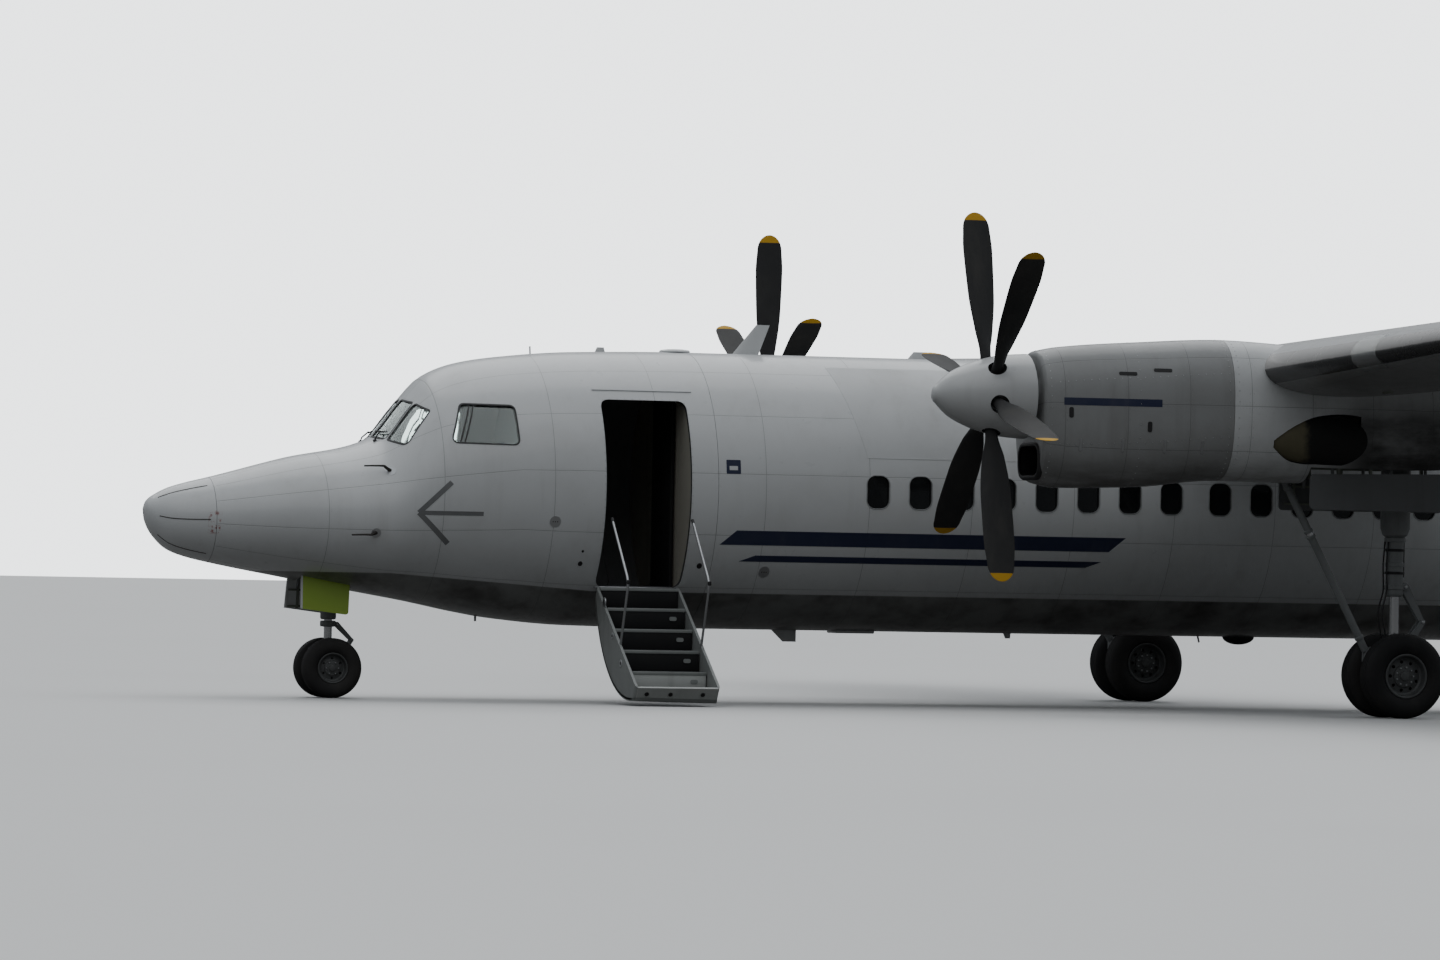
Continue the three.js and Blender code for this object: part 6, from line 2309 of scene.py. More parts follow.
# Torque links: station and height of the knee, the lower pin and the upper pin
MAIN_LINKS = ((9.985, 0.930), (9.775, 0.625), (9.800, 1.265))
NOSE_LINKS = ((0.235, 0.565), (0.075, 0.345), (0.085, 0.715))
# Brake hose: station, share of its distance from the middle, and height
BRAKE_HOSE = (
    (9.615, 1.0, 1.70), (9.600, 1.0, 1.45), (9.606, 1.0, 1.25), (9.560, 1.2, 1.02), (9.590, 1.3, 0.82),
    (9.640, 1.5, 0.68), (9.650, 1.6, 0.50),
)
HOSE_SIDES = (-0.045, 0.045)
HOSE_CLIPS = (1.62, 1.40)
STAY_RADIUS = 0.037
STAY_COLLARS = (0.10, 0.33, 0.36, 0.90)
STAY_CHROME = (0.335, 0.355)


class AIRLINER_OT_main_gear(bpy.types.Operator):
    """Builds the main legs, their torque links, hoses and drag stays"""

    bl_idname = "airliner.main_gear"
    bl_label = "Main landing gear legs"

    def execute(self, context):
        for name, side in SIDES.items():
            leg = Shape()
            rod = [(ROD["radius"], ROD["low"]), (ROD["radius"], ROD["high"])]
            leg.add(upright(MAIN_AXLE, 0.0, LEG_FOOT), 0)
            leg.add(upright(MAIN_AXLE, 0.0, rod), 1)
            leg.add(upright(MAIN_AXLE, 0.0, LEG_SLEEVE), 0)
            leg.add(across_wheel(MAIN_AXLE, 0.0, MAIN_RADIUS, 0.080, 0.090, 0.006), 0)
            leg.add(across_wheel(MAIN_AXLE, 0.0, 2.700, 0.395, 0.060, 0.004), 0)
            lug = rounded(STAY_LUG, 0.03, 4)
            leg.add(prism(lug, "y", -0.060, -0.022), 0)
            leg.add(prism(lug, "y", 0.022, 0.060), 0)
            leg.add(across_wheel(*joined_to(STAY_FOOT), 0.072, 0.022), 2)
            knee, low, high = MAIN_LINKS
            for y in (-0.040, 0.040):
                leg.add(link_arm(low, knee, 0.040, 0.026, 0.020, y), 0)
                leg.add(link_arm(high, knee, 0.044, 0.026, 0.018, y * 0.55), 0)
            for spot in (knee, low, high):
                leg.add(across_wheel(*joined_to(spot), 0.062, 0.016), 2)
            leg.add(block((9.700, -0.055, 0.590), (9.800, 0.055, 0.660), 0.010), 0)
            leg.add(block((9.700, -0.050, 1.230), (9.830, 0.050, 1.300), 0.010), 0)
            hoses = Shape()
            for y in HOSE_SIDES:
                run = [(x, y * share, z) for x, share, z in BRAKE_HOSE]
                hoses.add(pipe(smoothed(run), 0.0075, 10))
            hoses.add(pipe([(9.79, 0.02, 2.3), (9.80, 0.02, 1.62), (9.79, 0.0, 1.36)], 0.010, 10))
            for z in HOSE_CLIPS:
                hoses.add(upright(MAIN_AXLE, 0.0, collar(z, 0.094, 0.003, 0.012)))
            paints = [finish("steel"), finish("chrome"), finish("metal")]
            piece(
                f"main_leg_strut_{name}", placed(leg, side), "airframe", paints, (f"main_leg_{name}",),
                "steel",
            )
            piece(f"main_leg_hoses_{name}", placed(hoses, side), "airframe", [finish("boot")], slot="tyre")

            stay = Shape()
            top, low = Vector((STAY_TOP[0], 0, STAY_TOP[1])), Vector((STAY_FOOT[0], 0, STAY_FOOT[1]))
            ahead = (low - top).normalized()
            stay.add(bar(top, low - ahead * 0.06, STAY_RADIUS, 28, 0.004), 0)
            for share in STAY_COLLARS:
                at = top.lerp(low, share)
                stay.add(bar(at - ahead * 0.018, at + ahead * 0.018, STAY_RADIUS + 0.008, 28, 0.006), 0)
            chrome_top, chrome_low = (top.lerp(low, share) for share in STAY_CHROME)
            stay.add(bar(chrome_top, chrome_low, STAY_RADIUS + 0.0025, 28), 1)
            eye = Vector((0.040, 0.020, 0.045))
            stay.add(block(low - eye, low + eye, 0.012), 0)
            aside = Vector((0, 0.034, 0))
            stay.add(pipe([top + aside, low.lerp(top, 0.12) + aside], 0.007, 8), 2)
            paints = [finish("steel"), finish("chrome"), finish("boot")]
            piece(
                f"main_stay_tube_{name}", placed(stay, side), "airframe", paints, (f"main_stay_{name}",),
                "steel",
            )
        return {"FINISHED"}


# Repeated small parts made with Geometry Nodes


def node_tree(name, inputs):
    """An empty geometry tree that takes points and named sizes and gives geometry."""
    tree = bpy.data.node_groups.new(name, "GeometryNodeTree")
    tree.is_modifier = True
    tree.interface.new_socket("Geometry", in_out="INPUT", socket_type="NodeSocketGeometry")
    for label, kind in inputs:
        tree.interface.new_socket(label, in_out="INPUT", socket_type=kind)
    tree.interface.new_socket("Geometry", in_out="OUTPUT", socket_type="NodeSocketGeometry")
    nodes = Nodes(tree)
    return tree, nodes, nodes.add("NodeGroupInput").outputs, nodes.add("NodeGroupOutput").inputs


def close_tree(n, geometry, material, target):
    """Makes instances real, gives them their finish and ends the tree."""
    real = n.add("GeometryNodeRealizeInstances")
    n.put(real.inputs["Geometry"], geometry)
    painted = n.add("GeometryNodeSetMaterial")
    n.put(painted.inputs["Geometry"], real.outputs["Geometry"])
    n.put(painted.inputs["Material"], material)
    n.put(target["Geometry"], painted.outputs["Geometry"])


def repeated(n, source, shape):
    """Copies of a shape on the points, each turned along its own direction."""
    along = n.add("GeometryNodeInputNamedAttribute", data_type="FLOAT_VECTOR")
    along.inputs["Name"].default_value = "direction"
    turn = n.add("FunctionNodeAlignRotationToVector", axis="Z")
    n.put(turn.inputs["Vector"], along.outputs["Attribute"])
    copies = n.add("GeometryNodeInstanceOnPoints")
    n.put(copies.inputs["Points"], source["Geometry"])
    n.put(copies.inputs["Instance"], shape)
    n.put(copies.inputs["Rotation"], turn.outputs["Rotation"])
    return copies.outputs["Instances"]


def stud_tree():
    """Round or many-sided studs."""
    if "studs" not in GROUPS:
        inputs = (
            ("Radius", "NodeSocketFloat"), ("Top radius", "NodeSocketFloat"), ("Height", "NodeSocketFloat"),
            ("Sides", "NodeSocketInt"), ("Material", "NodeSocketMaterial"),
        )
        tree, n, source, target = node_tree("Studs", inputs)
        cone = n.add("GeometryNodeMeshCone")
        n.put(cone.inputs["Vertices"], source["Sides"])
        n.put(cone.inputs["Radius Top"], source["Top radius"])
        n.put(cone.inputs["Radius Bottom"], source["Radius"])
        n.put(cone.inputs["Depth"], source["Height"])
        close_tree(n, repeated(n, source, cone.outputs["Mesh"]), source["Material"], target)
        GROUPS["studs"] = tree
    return GROUPS["studs"]


def bar_tree():
    """Straight bars of one size."""
    if "bars" not in GROUPS:
        inputs = (("Size", "NodeSocketVector"), ("Material", "NodeSocketMaterial"))
        tree, n, source, target = node_tree("Bars", inputs)
        cube = n.add("GeometryNodeMeshCube")
        n.put(cube.inputs["Size"], source["Size"])
        close_tree(n, repeated(n, source, cube.outputs["Mesh"]), source["Material"], target)
        GROUPS["bars"] = tree
    return GROUPS["bars"]


def repeated_piece(name, spots, tree, values, body, slot, crease=32):
    """One mesh of a geometry tree's copies on (place, direction) spots."""
    mesh = bpy.data.meshes.new(name)
    mesh.from_pydata([(x + AXLE, y, z) for (x, y, z), _ in spots], [], [])
    attribute = mesh.attributes.new("direction", "FLOAT_VECTOR", "POINT")
    for item, (_, direction) in zip(attribute.data, spots):
        item.vector = direction
    obj = bpy.data.objects.new(name, mesh)
    bpy.context.scene.collection.objects.link(obj)
    modifier = obj.modifiers.new("copies", "NODES")
    modifier.node_group = tree
    for item in tree.interface.items_tree:
        if item.in_out == "INPUT" and item.name in values:
            modifier[item.identifier] = values[item.name]
    baked(obj)
    smooth(obj, crease)
    return fitted(obj, body, slot=slot)


def studs(name, spots, radius, height, paint, body, slot, sides=8, taper=0.8):
    values = {
        "Radius": radius, "Top radius": radius * taper, "Height": height, "Sides": sides,
        "Material": finish(paint),
    }
    return repeated_piece(name, spots, stud_tree(), values, body, slot)


def bars(name, spots, size, paint, body, slot):
    return repeated_piece(name, spots, bar_tree(), {"Size": size, "Material": finish(paint)}, body, slot)


# Wheels


MAIN_WHEEL = {
    "radius": MAIN_RADIUS, "half": 0.1365, "bore": 0.215, "axle": 0.042, "offset": 0.242, "nuts": 9,
}
NOSE_WHEEL = {
    "radius": NOSE_RADIUS, "half": 0.098, "bore": 0.150, "axle": 0.029, "offset": 0.172, "nuts": 6,
}


def tyre_profile(wheel):
    """Half profile rows of radius share and width share, then four grooves across the tread."""
    radius, half, bore = wheel["radius"], wheel["half"], wheel["bore"]
    wall = [
        (0.0, 0.70), (0.06, 0.80), (0.20, 0.92), (0.36, 0.99), (0.48, 1.0), (0.62, 0.975), (0.75, 0.91),
        (0.85, 0.82),
    ]
    side = [(bore + (radius - bore) * r, half * w) for r, w in wall]
    side += [(radius * 0.975, half * 0.68), (radius * 0.990, half * 0.56)]
    tread = []
    for middle_share in (0.40, 0.13):
        reach, depth, slope = 0.030, 0.011, 0.008
        at = half * middle_share
        top = radius if middle_share < 0.3 else radius * 0.9985
        tread += [
            (top, at + half * reach + slope / 4), (top - depth, at + half * reach),
            (top - depth, at - half * reach),
            (top, at - half * reach - slope / 4),
        ]
    starboard = side + tread
    port = [(r, -y) for r, y in reversed(starboard)]
    return starboard + port + [starboard[0]]


def rim_profile(wheel):
    """Rows of radius share of the bore and width share, from the hub cap out to the bead and back."""
    bore, half = wheel["bore"] - 0.0005, wheel["half"]
    face = [
        (0.0, 0.60), (0.13, 0.595), (0.20, 0.57), (0.225, 0.52), (0.23, 0.47), (0.30, 0.46), (0.315, 0.43),
        (0.49, 0.40),
        (0.52, 0.30), (0.76, 0.20), (0.84, 0.28), (0.875, 0.44), (0.89, 0.66), (0.91, 0.77), (0.96, 0.80),
        (1.0, 0.78),
    ]
    outer = [(bore * r, half * w) for r, w in face]
    return outer + [(r, -y) for r, y in reversed(outer)]


def shape_of(obj):
    """An object's faces as a shape, and the object removed."""
    mesh = obj.data
    shape = Shape()
    shape.points = [(v.co.x - AXLE, v.co.y, v.co.z) for v in mesh.vertices]
    shape.faces = [list(face.vertices) for face in mesh.polygons]
    shape.finishes = [face.material_index for face in mesh.polygons]
    bpy.data.objects.remove(obj)
    bpy.data.meshes.remove(mesh)
    return shape


def wheel_pair(name, wheel, centre):
    x, y, z = centre
    blank = Shape().add(lathe(rim_profile(wheel), (x, 0, z), "y", 64))
    rim = mesh_of("rim", blank, [finish("rim"), finish("dark")])
    holes = Shape()
    bore, half = wheel["bore"], wheel["half"]
    for k in range(wheel["nuts"]):
        angle = 2 * math.pi * (k + 0.5) / wheel["nuts"]
        spot = (x + 0.64 * bore * math.cos(angle), 0.0, z + 0.64 * bore * math.sin(angle))
        # The vent holes' walls take the dark finish as painted shade in the holes
        holes.add(across_wheel(*spot, half, 0.075 * bore, 0, 20), 1)
    carved(rim, [holes])
    rim = shape_of(rim)
    rims = Shape()
    nuts = []
    for sign in (-1, 1):
        middle_y = y + sign * wheel["offset"]
        start = len(rims.points)
        rims.points += [(px, middle_y + py, pz) for px, py, pz in rim.points]
        rims.faces += [[start + i for i in face] for face in rim.faces]
        rims.finishes += rim.finishes
        for facing in (-1, 1):
            for k in range(wheel["nuts"]):
                angle = 2 * math.pi * k / wheel["nuts"]
                reach = 0.40 * bore
                spot = (
                    x + reach * math.cos(angle), middle_y + facing * half * 0.39,
                    z + reach * math.sin(angle),
                )
                nuts.append((spot, (0, facing, 0)))
    rims.add(bar((x, y - wheel["offset"], z), (x, y + wheel["offset"], z), wheel["axle"], 32), 0)
    piece(f"{name}_hubs", rims, name, [finish("rim"), finish("dark")], (f"{name}_rims",), "bare_metal")
    studs(f"{name}_nuts", nuts, 0.042 * bore, 0.020, "metal", name, "bare_metal", 6, 1.0)
    for label, sign in (("a", -1), ("b", 1)):
        tyre = lathe(tyre_profile(wheel), (x, y + sign * wheel["offset"], z), "y", 96)
        piece(
            f"{name}_rubber_{label}", Shape().add(tyre), name, [finish("tyre")], (f"{name}_tyre_{label}",),
            "tyre", 50,
        )


class AIRLINER_OT_wheels(bpy.types.Operator):
    """Builds the wheels, their nuts and their grooved tyres"""

    bl_idname = "airliner.wheels"
    bl_label = "Wheels and tyres"

    def execute(self, context):
        for name, side in SIDES.items():
            wheel_pair(f"main_wheels_{name}", MAIN_WHEEL, (MAIN_AXLE, side * ENGINE_SIDE, MAIN_RADIUS))
        wheel_pair("nose_wheels", NOSE_WHEEL, (0.0, 0.0, NOSE_RADIUS))
        return {"FINISHED"}


def slanted(outline, inner, outer, side):
    """A plate in side view, leaning outwards as the nose doors hang."""
    top, low = (0.243, 1.400), (0.366, 0.790)
    rings = []
    for offset in (inner, outer):
        ring = []
        for x, z in outline:
            y = top[0] + (low[0] - top[0]) * (top[1] - z) / (top[1] - low[1])
            ring.append((x, side * (y + offset), z))
        rings.append(ring)
    return loft(rings)


# Nose leg: lathe rows of radius and height
NOSE_POST = [
    (0.064, 0.762), (0.076, 0.770), (0.078, 0.785), *collar(0.87, 0.078, 0.010),
    *collar(1.02, 0.078, 0.014, 0.03), (0.078, 1.180), (0.096, 1.220), (0.100, 1.649),
]
# Steering column: lathe rows of the foot and of the collar under the leg
COLUMN_FOOT = ((0.046, 0.300), (0.056, 0.320), (0.056, 0.400), (0.048, 0.430))
COLUMN_COLLAR = (
    (0.042, 0.690), (0.074, 0.694), (0.078, 0.704), (0.078, 0.740), (0.072, 0.750), (0.042, 0.752),
)
COLUMN_RADIUS = 0.040
STEERING_JACK = {"y": 0.105, "z": 1.140, "radius": 0.034, "rod": 0.014}
TAXI_LAMP = (-0.150, 0.0, 0.985)
TAXI_SHELL = (
    (0.0, 0.078), (0.045, 0.070), (0.062, 0.030), (0.066, 0.002), (0.066, -0.006), (0.058, -0.006),
    (0.0, 0.010),
)
TAXI_GLASS = ((0.0, -0.014), (0.030, -0.012), (0.058, -0.004), (0.058, -0.001), (0.0, 0.001))
NOSE_HOSE = ((0.085, 0.030, 1.60), (0.105, 0.032, 1.30), (0.095, 0.030, 1.05), (0.092, 0.026, 0.86))
# Nose bay doors in side view: the leaf, its front edge, ribs, rails and arms
NOSE_LEAF = ((-0.330, 1.260), (-0.360, 0.867), (0.110, 0.810), (0.145, 1.240))
NOSE_LEAF_EDGE = ((-0.345, 1.240), (-0.360, 0.867), (-0.343, 0.865), (-0.328, 1.240))
NOSE_RIBS = (-0.235, -0.105, 0.025)
NOSE_RAILS = (0.885, 1.045)
NOSE_ARMS = (-0.24, 0.03)


class AIRLINER_OT_nose_gear(bpy.types.Operator):
    """Builds the nose leg, its steering column and torque links, and the bay doors"""

    bl_idname = "airliner.nose_gear"
    bl_label = "Nose landing gear"

    def execute(self, context):
        leg = Shape()
        leg.add(upright(0.0, 0.0, NOSE_POST), 0)
        leg.add(across_wheel(0.0, 0.0, 1.480, 0.265, 0.042), 0)
        for side in (-1, 1):
            brace = [
                (-0.070, side * 0.060, 1.030), (-0.190, side * 0.115, 1.290), (-0.325, side * 0.170, 1.630),
            ]
            leg.add(pipe(brace, 0.024, 16), 0)
            y, z = side * STEERING_JACK["y"], STEERING_JACK["z"]
            leg.add(bar((-0.080, y, z), (0.110, y, z), STEERING_JACK["radius"], 20, 0.005), 0)
            leg.add(bar((-0.130, y, z), (-0.080, y, z), STEERING_JACK["rod"], 16), 1)
        leg.add(block((-0.055, -0.125, 1.100), (0.055, 0.125, 1.180), 0.012), 0)
        leg.add(lathe(TAXI_SHELL, TAXI_LAMP, "x", 28), 2)
        leg.add(block((-0.100, -0.014, 0.965), (-0.060, 0.014, 1.005), 0.004), 0)
        leg.add(pipe(smoothed(NOSE_HOSE), 0.007, 10), 3)
        paints = [finish("steel"), finish("chrome"), finish("metal"), finish("boot")]
        piece("nose_leg_strut", leg, "airframe", paints, ("nose_leg",), "steel")
        glass = Shape().add(lathe(TAXI_GLASS, TAXI_LAMP, "x", 28))
        piece("taxi_lamp_lens", glass, "airframe", [finish("lens")], slot="glass")

        turning = Shape()
        for low, high, sides in ((0.300, 0.560, 32), (0.560, 1.130, 24)):
            turning.add(upright(0.0, 0.0, [(COLUMN_RADIUS, low), (COLUMN_RADIUS, high)], sides), 1)
        turning.add(upright(0.0, 0.0, COLUMN_FOOT), 0)
        turning.add(upright(0.0, 0.0, COLUMN_COLLAR), 0)
        turning.add(across_wheel(0.0, 0.0, NOSE_RADIUS, 0.055, 0.062, 0.005), 0)
        turning.add(block((-0.095, -0.034, 0.410), (0.0, 0.034, 0.480), 0.010), 0)
        turning.add(bar((-0.094, 0.0, 0.400), (-0.094, 0.0, 0.490), 0.012, 16, 0.003), 2)
        knee, low, high = NOSE_LINKS
        for y in (-0.026, 0.026):
            turning.add(link_arm(low, knee, 0.026, 0.018, 0.014, y), 0)
            turning.add(link_arm(high, knee, 0.026, 0.018, 0.012, y * 0.4), 0)
        for spot in (knee, low, high):
            turning.add(across_wheel(*joined_to(spot), 0.042, 0.010), 2)
        turning.add(block((0.030, -0.036, 0.330), (0.085, 0.036, 0.370), 0.006), 0)
        turning.add(block((0.030, -0.032, 0.698), (0.095, 0.032, 0.738), 0.006), 0)
        paints = [finish("steel"), finish("chrome"), finish("metal")]
        piece("nose_steering_column", turning, "nose_steering", paints, ("nose_steering",), "steel")

        for name, side in SIDES.items():
            colour = "lime" if name == "left" else "white"
            paints = [finish(colour), finish("white"), finish("primer"), finish("steel")]
            door = Shape()
            outline = denser(rounded(NOSE_LEAF, 0.035), 0.05)
            door.add(slanted(outline, 0.0, 0.020, side), 0)
            door.add(slanted(rounded(NOSE_LEAF_EDGE, 0.004, 2), -0.006, 0.021, side), 1)
            for x in NOSE_RIBS:
                door.add(slanted(box_outline(x - 0.012, x + 0.012, 0.865, 1.15), -0.012, 0.004, side), 2)
            for z in NOSE_RAILS:
                door.add(slanted(box_outline(-0.330, 0.100, z - 0.009, z + 0.009), -0.014, 0.004, side), 2)
            for x in NOSE_ARMS:
                arm = [(x, side * 0.322, 1.05), (x, side * 0.265, 1.16), (x, side * 0.245, 1.36)]
                door.add(pipe(arm, 0.012, 10), 3)
            slot = f"{colour}_paint"
            piece(f"nose_door_leaf_{name}", door, "airframe", paints, (f"nose_door_{name}",), slot)
        return {"FINISHED"}


# Stairs


LEAF = {
    "front": DOOR["front"] + 0.008, "rear": DOOR["rear"] - 0.008, "low": DOOR["sill"] + 0.020,
    "high": DOOR["top"] - 0.008,
}
TREADS = ((-1.216, 0.930), (-1.471, 0.730), (-1.726, 0.530), (-1.981, 0.330), (-2.215, 0.140))
TREAD = {"half": 0.115, "thick": 0.028, "nose": 0.022, "ribs": 8}
# The leaf's shell, its side cheeks and its end plate
LEAF_SKIN = 0.030
LEAF_SIDES = (-1.5, -0.85)
CHEEK = {"thick": 0.026, "inset": 0.020, "far": -0.905, "skin": 0.012}
END_PLATE = {"low": 0.040, "high": 0.016}
STRAP = {"width": 0.060, "half": 0.007, "rise": 0.030}
# Bumpers on the end plate as shares of its length, and round covers on the front cheek: place and radius
BUMPERS = (0.14, 0.42, 0.80)
COVERS = (((-1.30, 0.98), 0.048), ((-1.62, 0.66), 0.034), ((-1.93, 0.40), 0.040))
STEP_LAMP = {"behind": 0.66, "half": 0.036, "rise": 0.020, "corner": 0.019}
RAIL_BEND = 0.09
RAIL_RADIUS = 0.012
RAIL = ((-1.470, 1.790), (-2.090, 1.180), (-1.790, 0.430))


def turn_stair(angle):
    y, z = STAIR_HINGE
    return Matrix.Translation((0, y, z)) @ Matrix.Rotation(angle, 4, "X") @ Matrix.Translation((0, -y, -z))


def leaf_zone(x0, x1, z0, z1, near):
    return block((x0, -1.6, z0), (x1, near, z1))


def add_shape(shape, other):
    start = len(shape.points)
    shape.points += other.points
    shape.faces += [[start + i for i in face] for face in other.faces]
    shape.finishes += other.finishes


class AIRLINER_OT_stairs(bpy.types.Operator):
    """Builds the passenger stairs with their treads, cheeks and rails"""

    bl_idname = "airliner.stairs"
    bl_label = "Passenger stairs"

    def execute(self, context):
        down = turn_stair(STAIR_OPEN)
        front, rear, low, high = LEAF["front"], LEAF["rear"], LEAF["low"], LEAF["high"]
        finishes = [finish("white"), finish("stair_grey"), finish("metal"), finish("stair_pale")]
        outline = rounded(box_outline(front, rear, low, high), DOOR["corner"] - 0.008, 8)

        def doorway(paint):
            return Shape().add(prism(outline, "y", *LEAF_SIDES), paint)

        leaf = mesh_of("stair_shell", doorway(1), finishes)
        hull = hull_loft(front - 0.05, rear + 0.05, 0.0, 0.07, 192)
        inside = hull_loft(front - 0.06, rear + 0.06, LEAF_SKIN, 0.07, 192)
        carved(leaf, [Shape().add(hull, 0)], "INTERSECT")
        carved(leaf, [Shape().add(inside, 1)])
        shut = shape_of(leaf)

        for x0, x1 in ((front, front + CHEEK["thick"]), (rear - CHEEK["thick"], rear)):
            side = leaf_zone(x0, x1, low + CHEEK["inset"], high - CHEEK["inset"], CHEEK["far"])
            cheek = mesh_of("cheek", Shape().add(side, 1), finishes)
            skin_line = Shape().add(hull_loft(x0 - 0.02, x1 + 0.02, CHEEK["skin"], 0.03, 192), 1)
            carved(cheek, [skin_line, doorway(1)], "INTERSECT")
            add_shape(shut, shape_of(cheek))
        low_end, high_end = high - END_PLATE["low"], high - END_PLATE["high"]
        plate = leaf_zone(front + 0.02, rear - 0.02, low_end, high_end, CHEEK["far"])
        end = mesh_of("end_plate", Shape().add(plate, 3), finishes)
        skin_line = Shape().add(hull_loft(front, rear, CHEEK["skin"], 0.2, 192), 3)
        carved(end, [skin_line, doorway(3)], "INTERSECT")
        add_shape(shut, shape_of(end))
        shut.points = [tuple(down @ Vector(p)) for p in shut.points]

        y, z = STAIR_HINGE
        shut.add(changed(bar((front, y, z), (rear, y, z), HINGE_ROD, 16), down), 2)
        middle_x = (front + rear) / 2
        for x in (front + 0.090, middle_x - 0.030, rear - 0.150):
            strap_end = (x + STRAP["width"], y + STRAP["half"], low + STRAP["rise"])
            shut.add(changed(block((x, y - STRAP["half"], z), strap_end, 0.003), down), 2)
        obj = mesh_of("stair_leaf_shell", shut, finishes)
        smooth(obj)
        fitted(obj, "stairs", ("stair_leaf",), "bare_metal")
        self.steps()
        self.fittings(down)
        self.rails()
        return {"FINISHED"}

    def steps(self):
        half, thick, nose, count = TREAD["half"], TREAD["thick"], TREAD["nose"], TREAD["ribs"]
        x0, x1 = LEAF["front"] + 0.028, LEAF["rear"] - 0.028
        boards = Shape()
        ribs = []

        def riser(front, low, high, paint):
            """An upright board between two steps; the black ones are painted shade for the open gaps
            between the treads.
            """
            boards.add(block((x0 + 0.01, front, low), (x1 - 0.01, front + 0.008, high), 0.002), paint)

        top_front, top_back, top_height = TREADS[0][0] + 0.140, STAIR_HINGE[0] - 0.034, DOOR["sill"] - 0.010
        boards.add(block((x0, top_front, top_height - thick), (x1, top_back, top_height), 0.003), 1)
        riser(top_front + 0.006, TREADS[0][1], top_height - thick, 2)
        for i, (y, z) in enumerate(TREADS):
            boards.add(block((x0, y - half + 0.018, z - thick), (x1, y + half, z - 0.004), 0.003), 0)
            boards.add(block((x0, y - half, z - thick - 0.006), (x1, y - half + nose, z - 0.001), 0.005), 1)
            if i + 1 < len(TREADS):
                below = TREADS[i + 1][1]
                riser(y - half + 0.006, below, z - thick, 3 if i + 2 == len(TREADS) else 2)
                x, mid_z = x0 + STEP_LAMP["behind"], (z + below) / 2
                wide, tall = STEP_LAMP["half"], STEP_LAMP["rise"]
                lamp_box = box_outline(x - wide, x + wide, mid_z - tall, mid_z + tall)
                lamp = rounded(lamp_box, STEP_LAMP["corner"], 6)
                boards.add(prism(lamp, "y", y - half - 0.001, y - half + 0.008), 1)
            for k in range(count):
                spot = y - half + 0.040 + k * (2 * half - 0.055) / (count - 1)
                ribs.append((((x0 + x1) / 2, spot, z - 0.0035), (0, 0, 1)))
        paints = [finish("tread"), finish("stair_edge"), finish("riser"), finish("stair_pale")]
        piece("stair_treads", boards, "stairs", paints, slot="bare_metal")
        bars("stair_tread_ribs", ribs, (x1 - x0 - 0.02, 0.006, 0.004), "tread", "stairs", "tyre")

    def fittings(self, down):
        """Bumpers on the end plate, and round covers of the balance gear on the front cheek."""
        front, rear, high = LEAF["front"], LEAF["rear"], LEAF["high"]
        parts = Shape()
        for share in BUMPERS:
            x = front + (rear - front) * share
            parts.add(
                changed(bar((x, -0.975, high - 0.018), (x, -0.975, high - 0.009), 0.022, 20, 0.003), down),
                0,
            )
        for (y, z), size in COVERS:
            parts.add(bar((front - 0.004, y, z), (front + 0.010, y, z), size, 28, 0.003), 1)
            parts.add(bar((front - 0.006, y, z), (front + 0.010, y, z), size * 0.45, 20, 0.002), 0)
        piece("stair_fittings", parts, "stairs", [finish("boot"), finish("metal")], slot="bare_metal")

    def rails(self):
        for name, x in (("front", LEAF["front"] + 0.018), ("rear", LEAF["rear"] - 0.018)):
            top, knee, foot = (Vector((x, y, z)) for y, z in RAIL)
            before, after = (top - knee).normalized(), (foot - knee).normalized()
            start, end = knee + before * RAIL_BEND, knee + after * RAIL_BEND
            path = [top]
            for k in range(9):
                t = k / 8
                path.append(start * (1 - t) ** 2 + knee * 2 * t * (1 - t) + end * t**2)
            path.append(foot)
            rail = Shape().add(pipe(path, RAIL_RADIUS, 18), 0)
            rail.add(bar(top - before * 0.05, top + before * 0.004, 0.0155, 18, 0.004), 1)
            rail.add(bar(foot - after * 0.10, foot, 0.016, 18, 0.003), 0)
            joint = Vector((0.014, 0.020, 0.020))
            rail.add(block(knee - joint, knee + joint, 0.006), 1)
            paints = [finish("metal"), finish("boot")]
            piece(f"stair_rail_tube_{name}", rail, "stairs", paints, (f"stair_rail_{name}",), "bare_metal")


# Flight deck and entrance


SEAT_SIDE = 0.420


def cushion(centre, half, power=3.4, rows=14, columns=28):
    """A crowned pad whose sides pull in between its corners."""
    points, faces = [], []
    cx, cy, cz = centre
    thin = min(range(3), key=lambda i: half[i])
    wide = [i for i in range(3) if i != thin]
    for r in range(rows + 1):
        lift = -math.pi / 2 + math.pi * r / rows
        for c in range(columns):
            turn = 2 * math.pi * c / columns
            u = math.copysign(abs(math.cos(turn)) ** (2 / power), math.cos(turn))
            v = math.copysign(abs(math.sin(turn)) ** (2 / power), math.sin(turn))
            ring = math.cos(lift) ** 0.45
            pull = 1 - 0.05 * math.cos(2 * turn) ** 2
            spot = [0.0, 0.0, 0.0]
            spot[wide[0]] = u * ring * pull * half[wide[0]]
            spot[wide[1]] = v * ring * pull * half[wide[1]]
            spot[thin] = math.sin(lift) * half[thin]
            points.append((cx + spot[0], cy + spot[1], cz + spot[2]))
    for r in range(rows):
        for c in range(columns):
            a, b = r * columns + c, r * columns + (c + 1) % columns
            faces.append([a, b, b + columns, a + columns])
    return points, faces


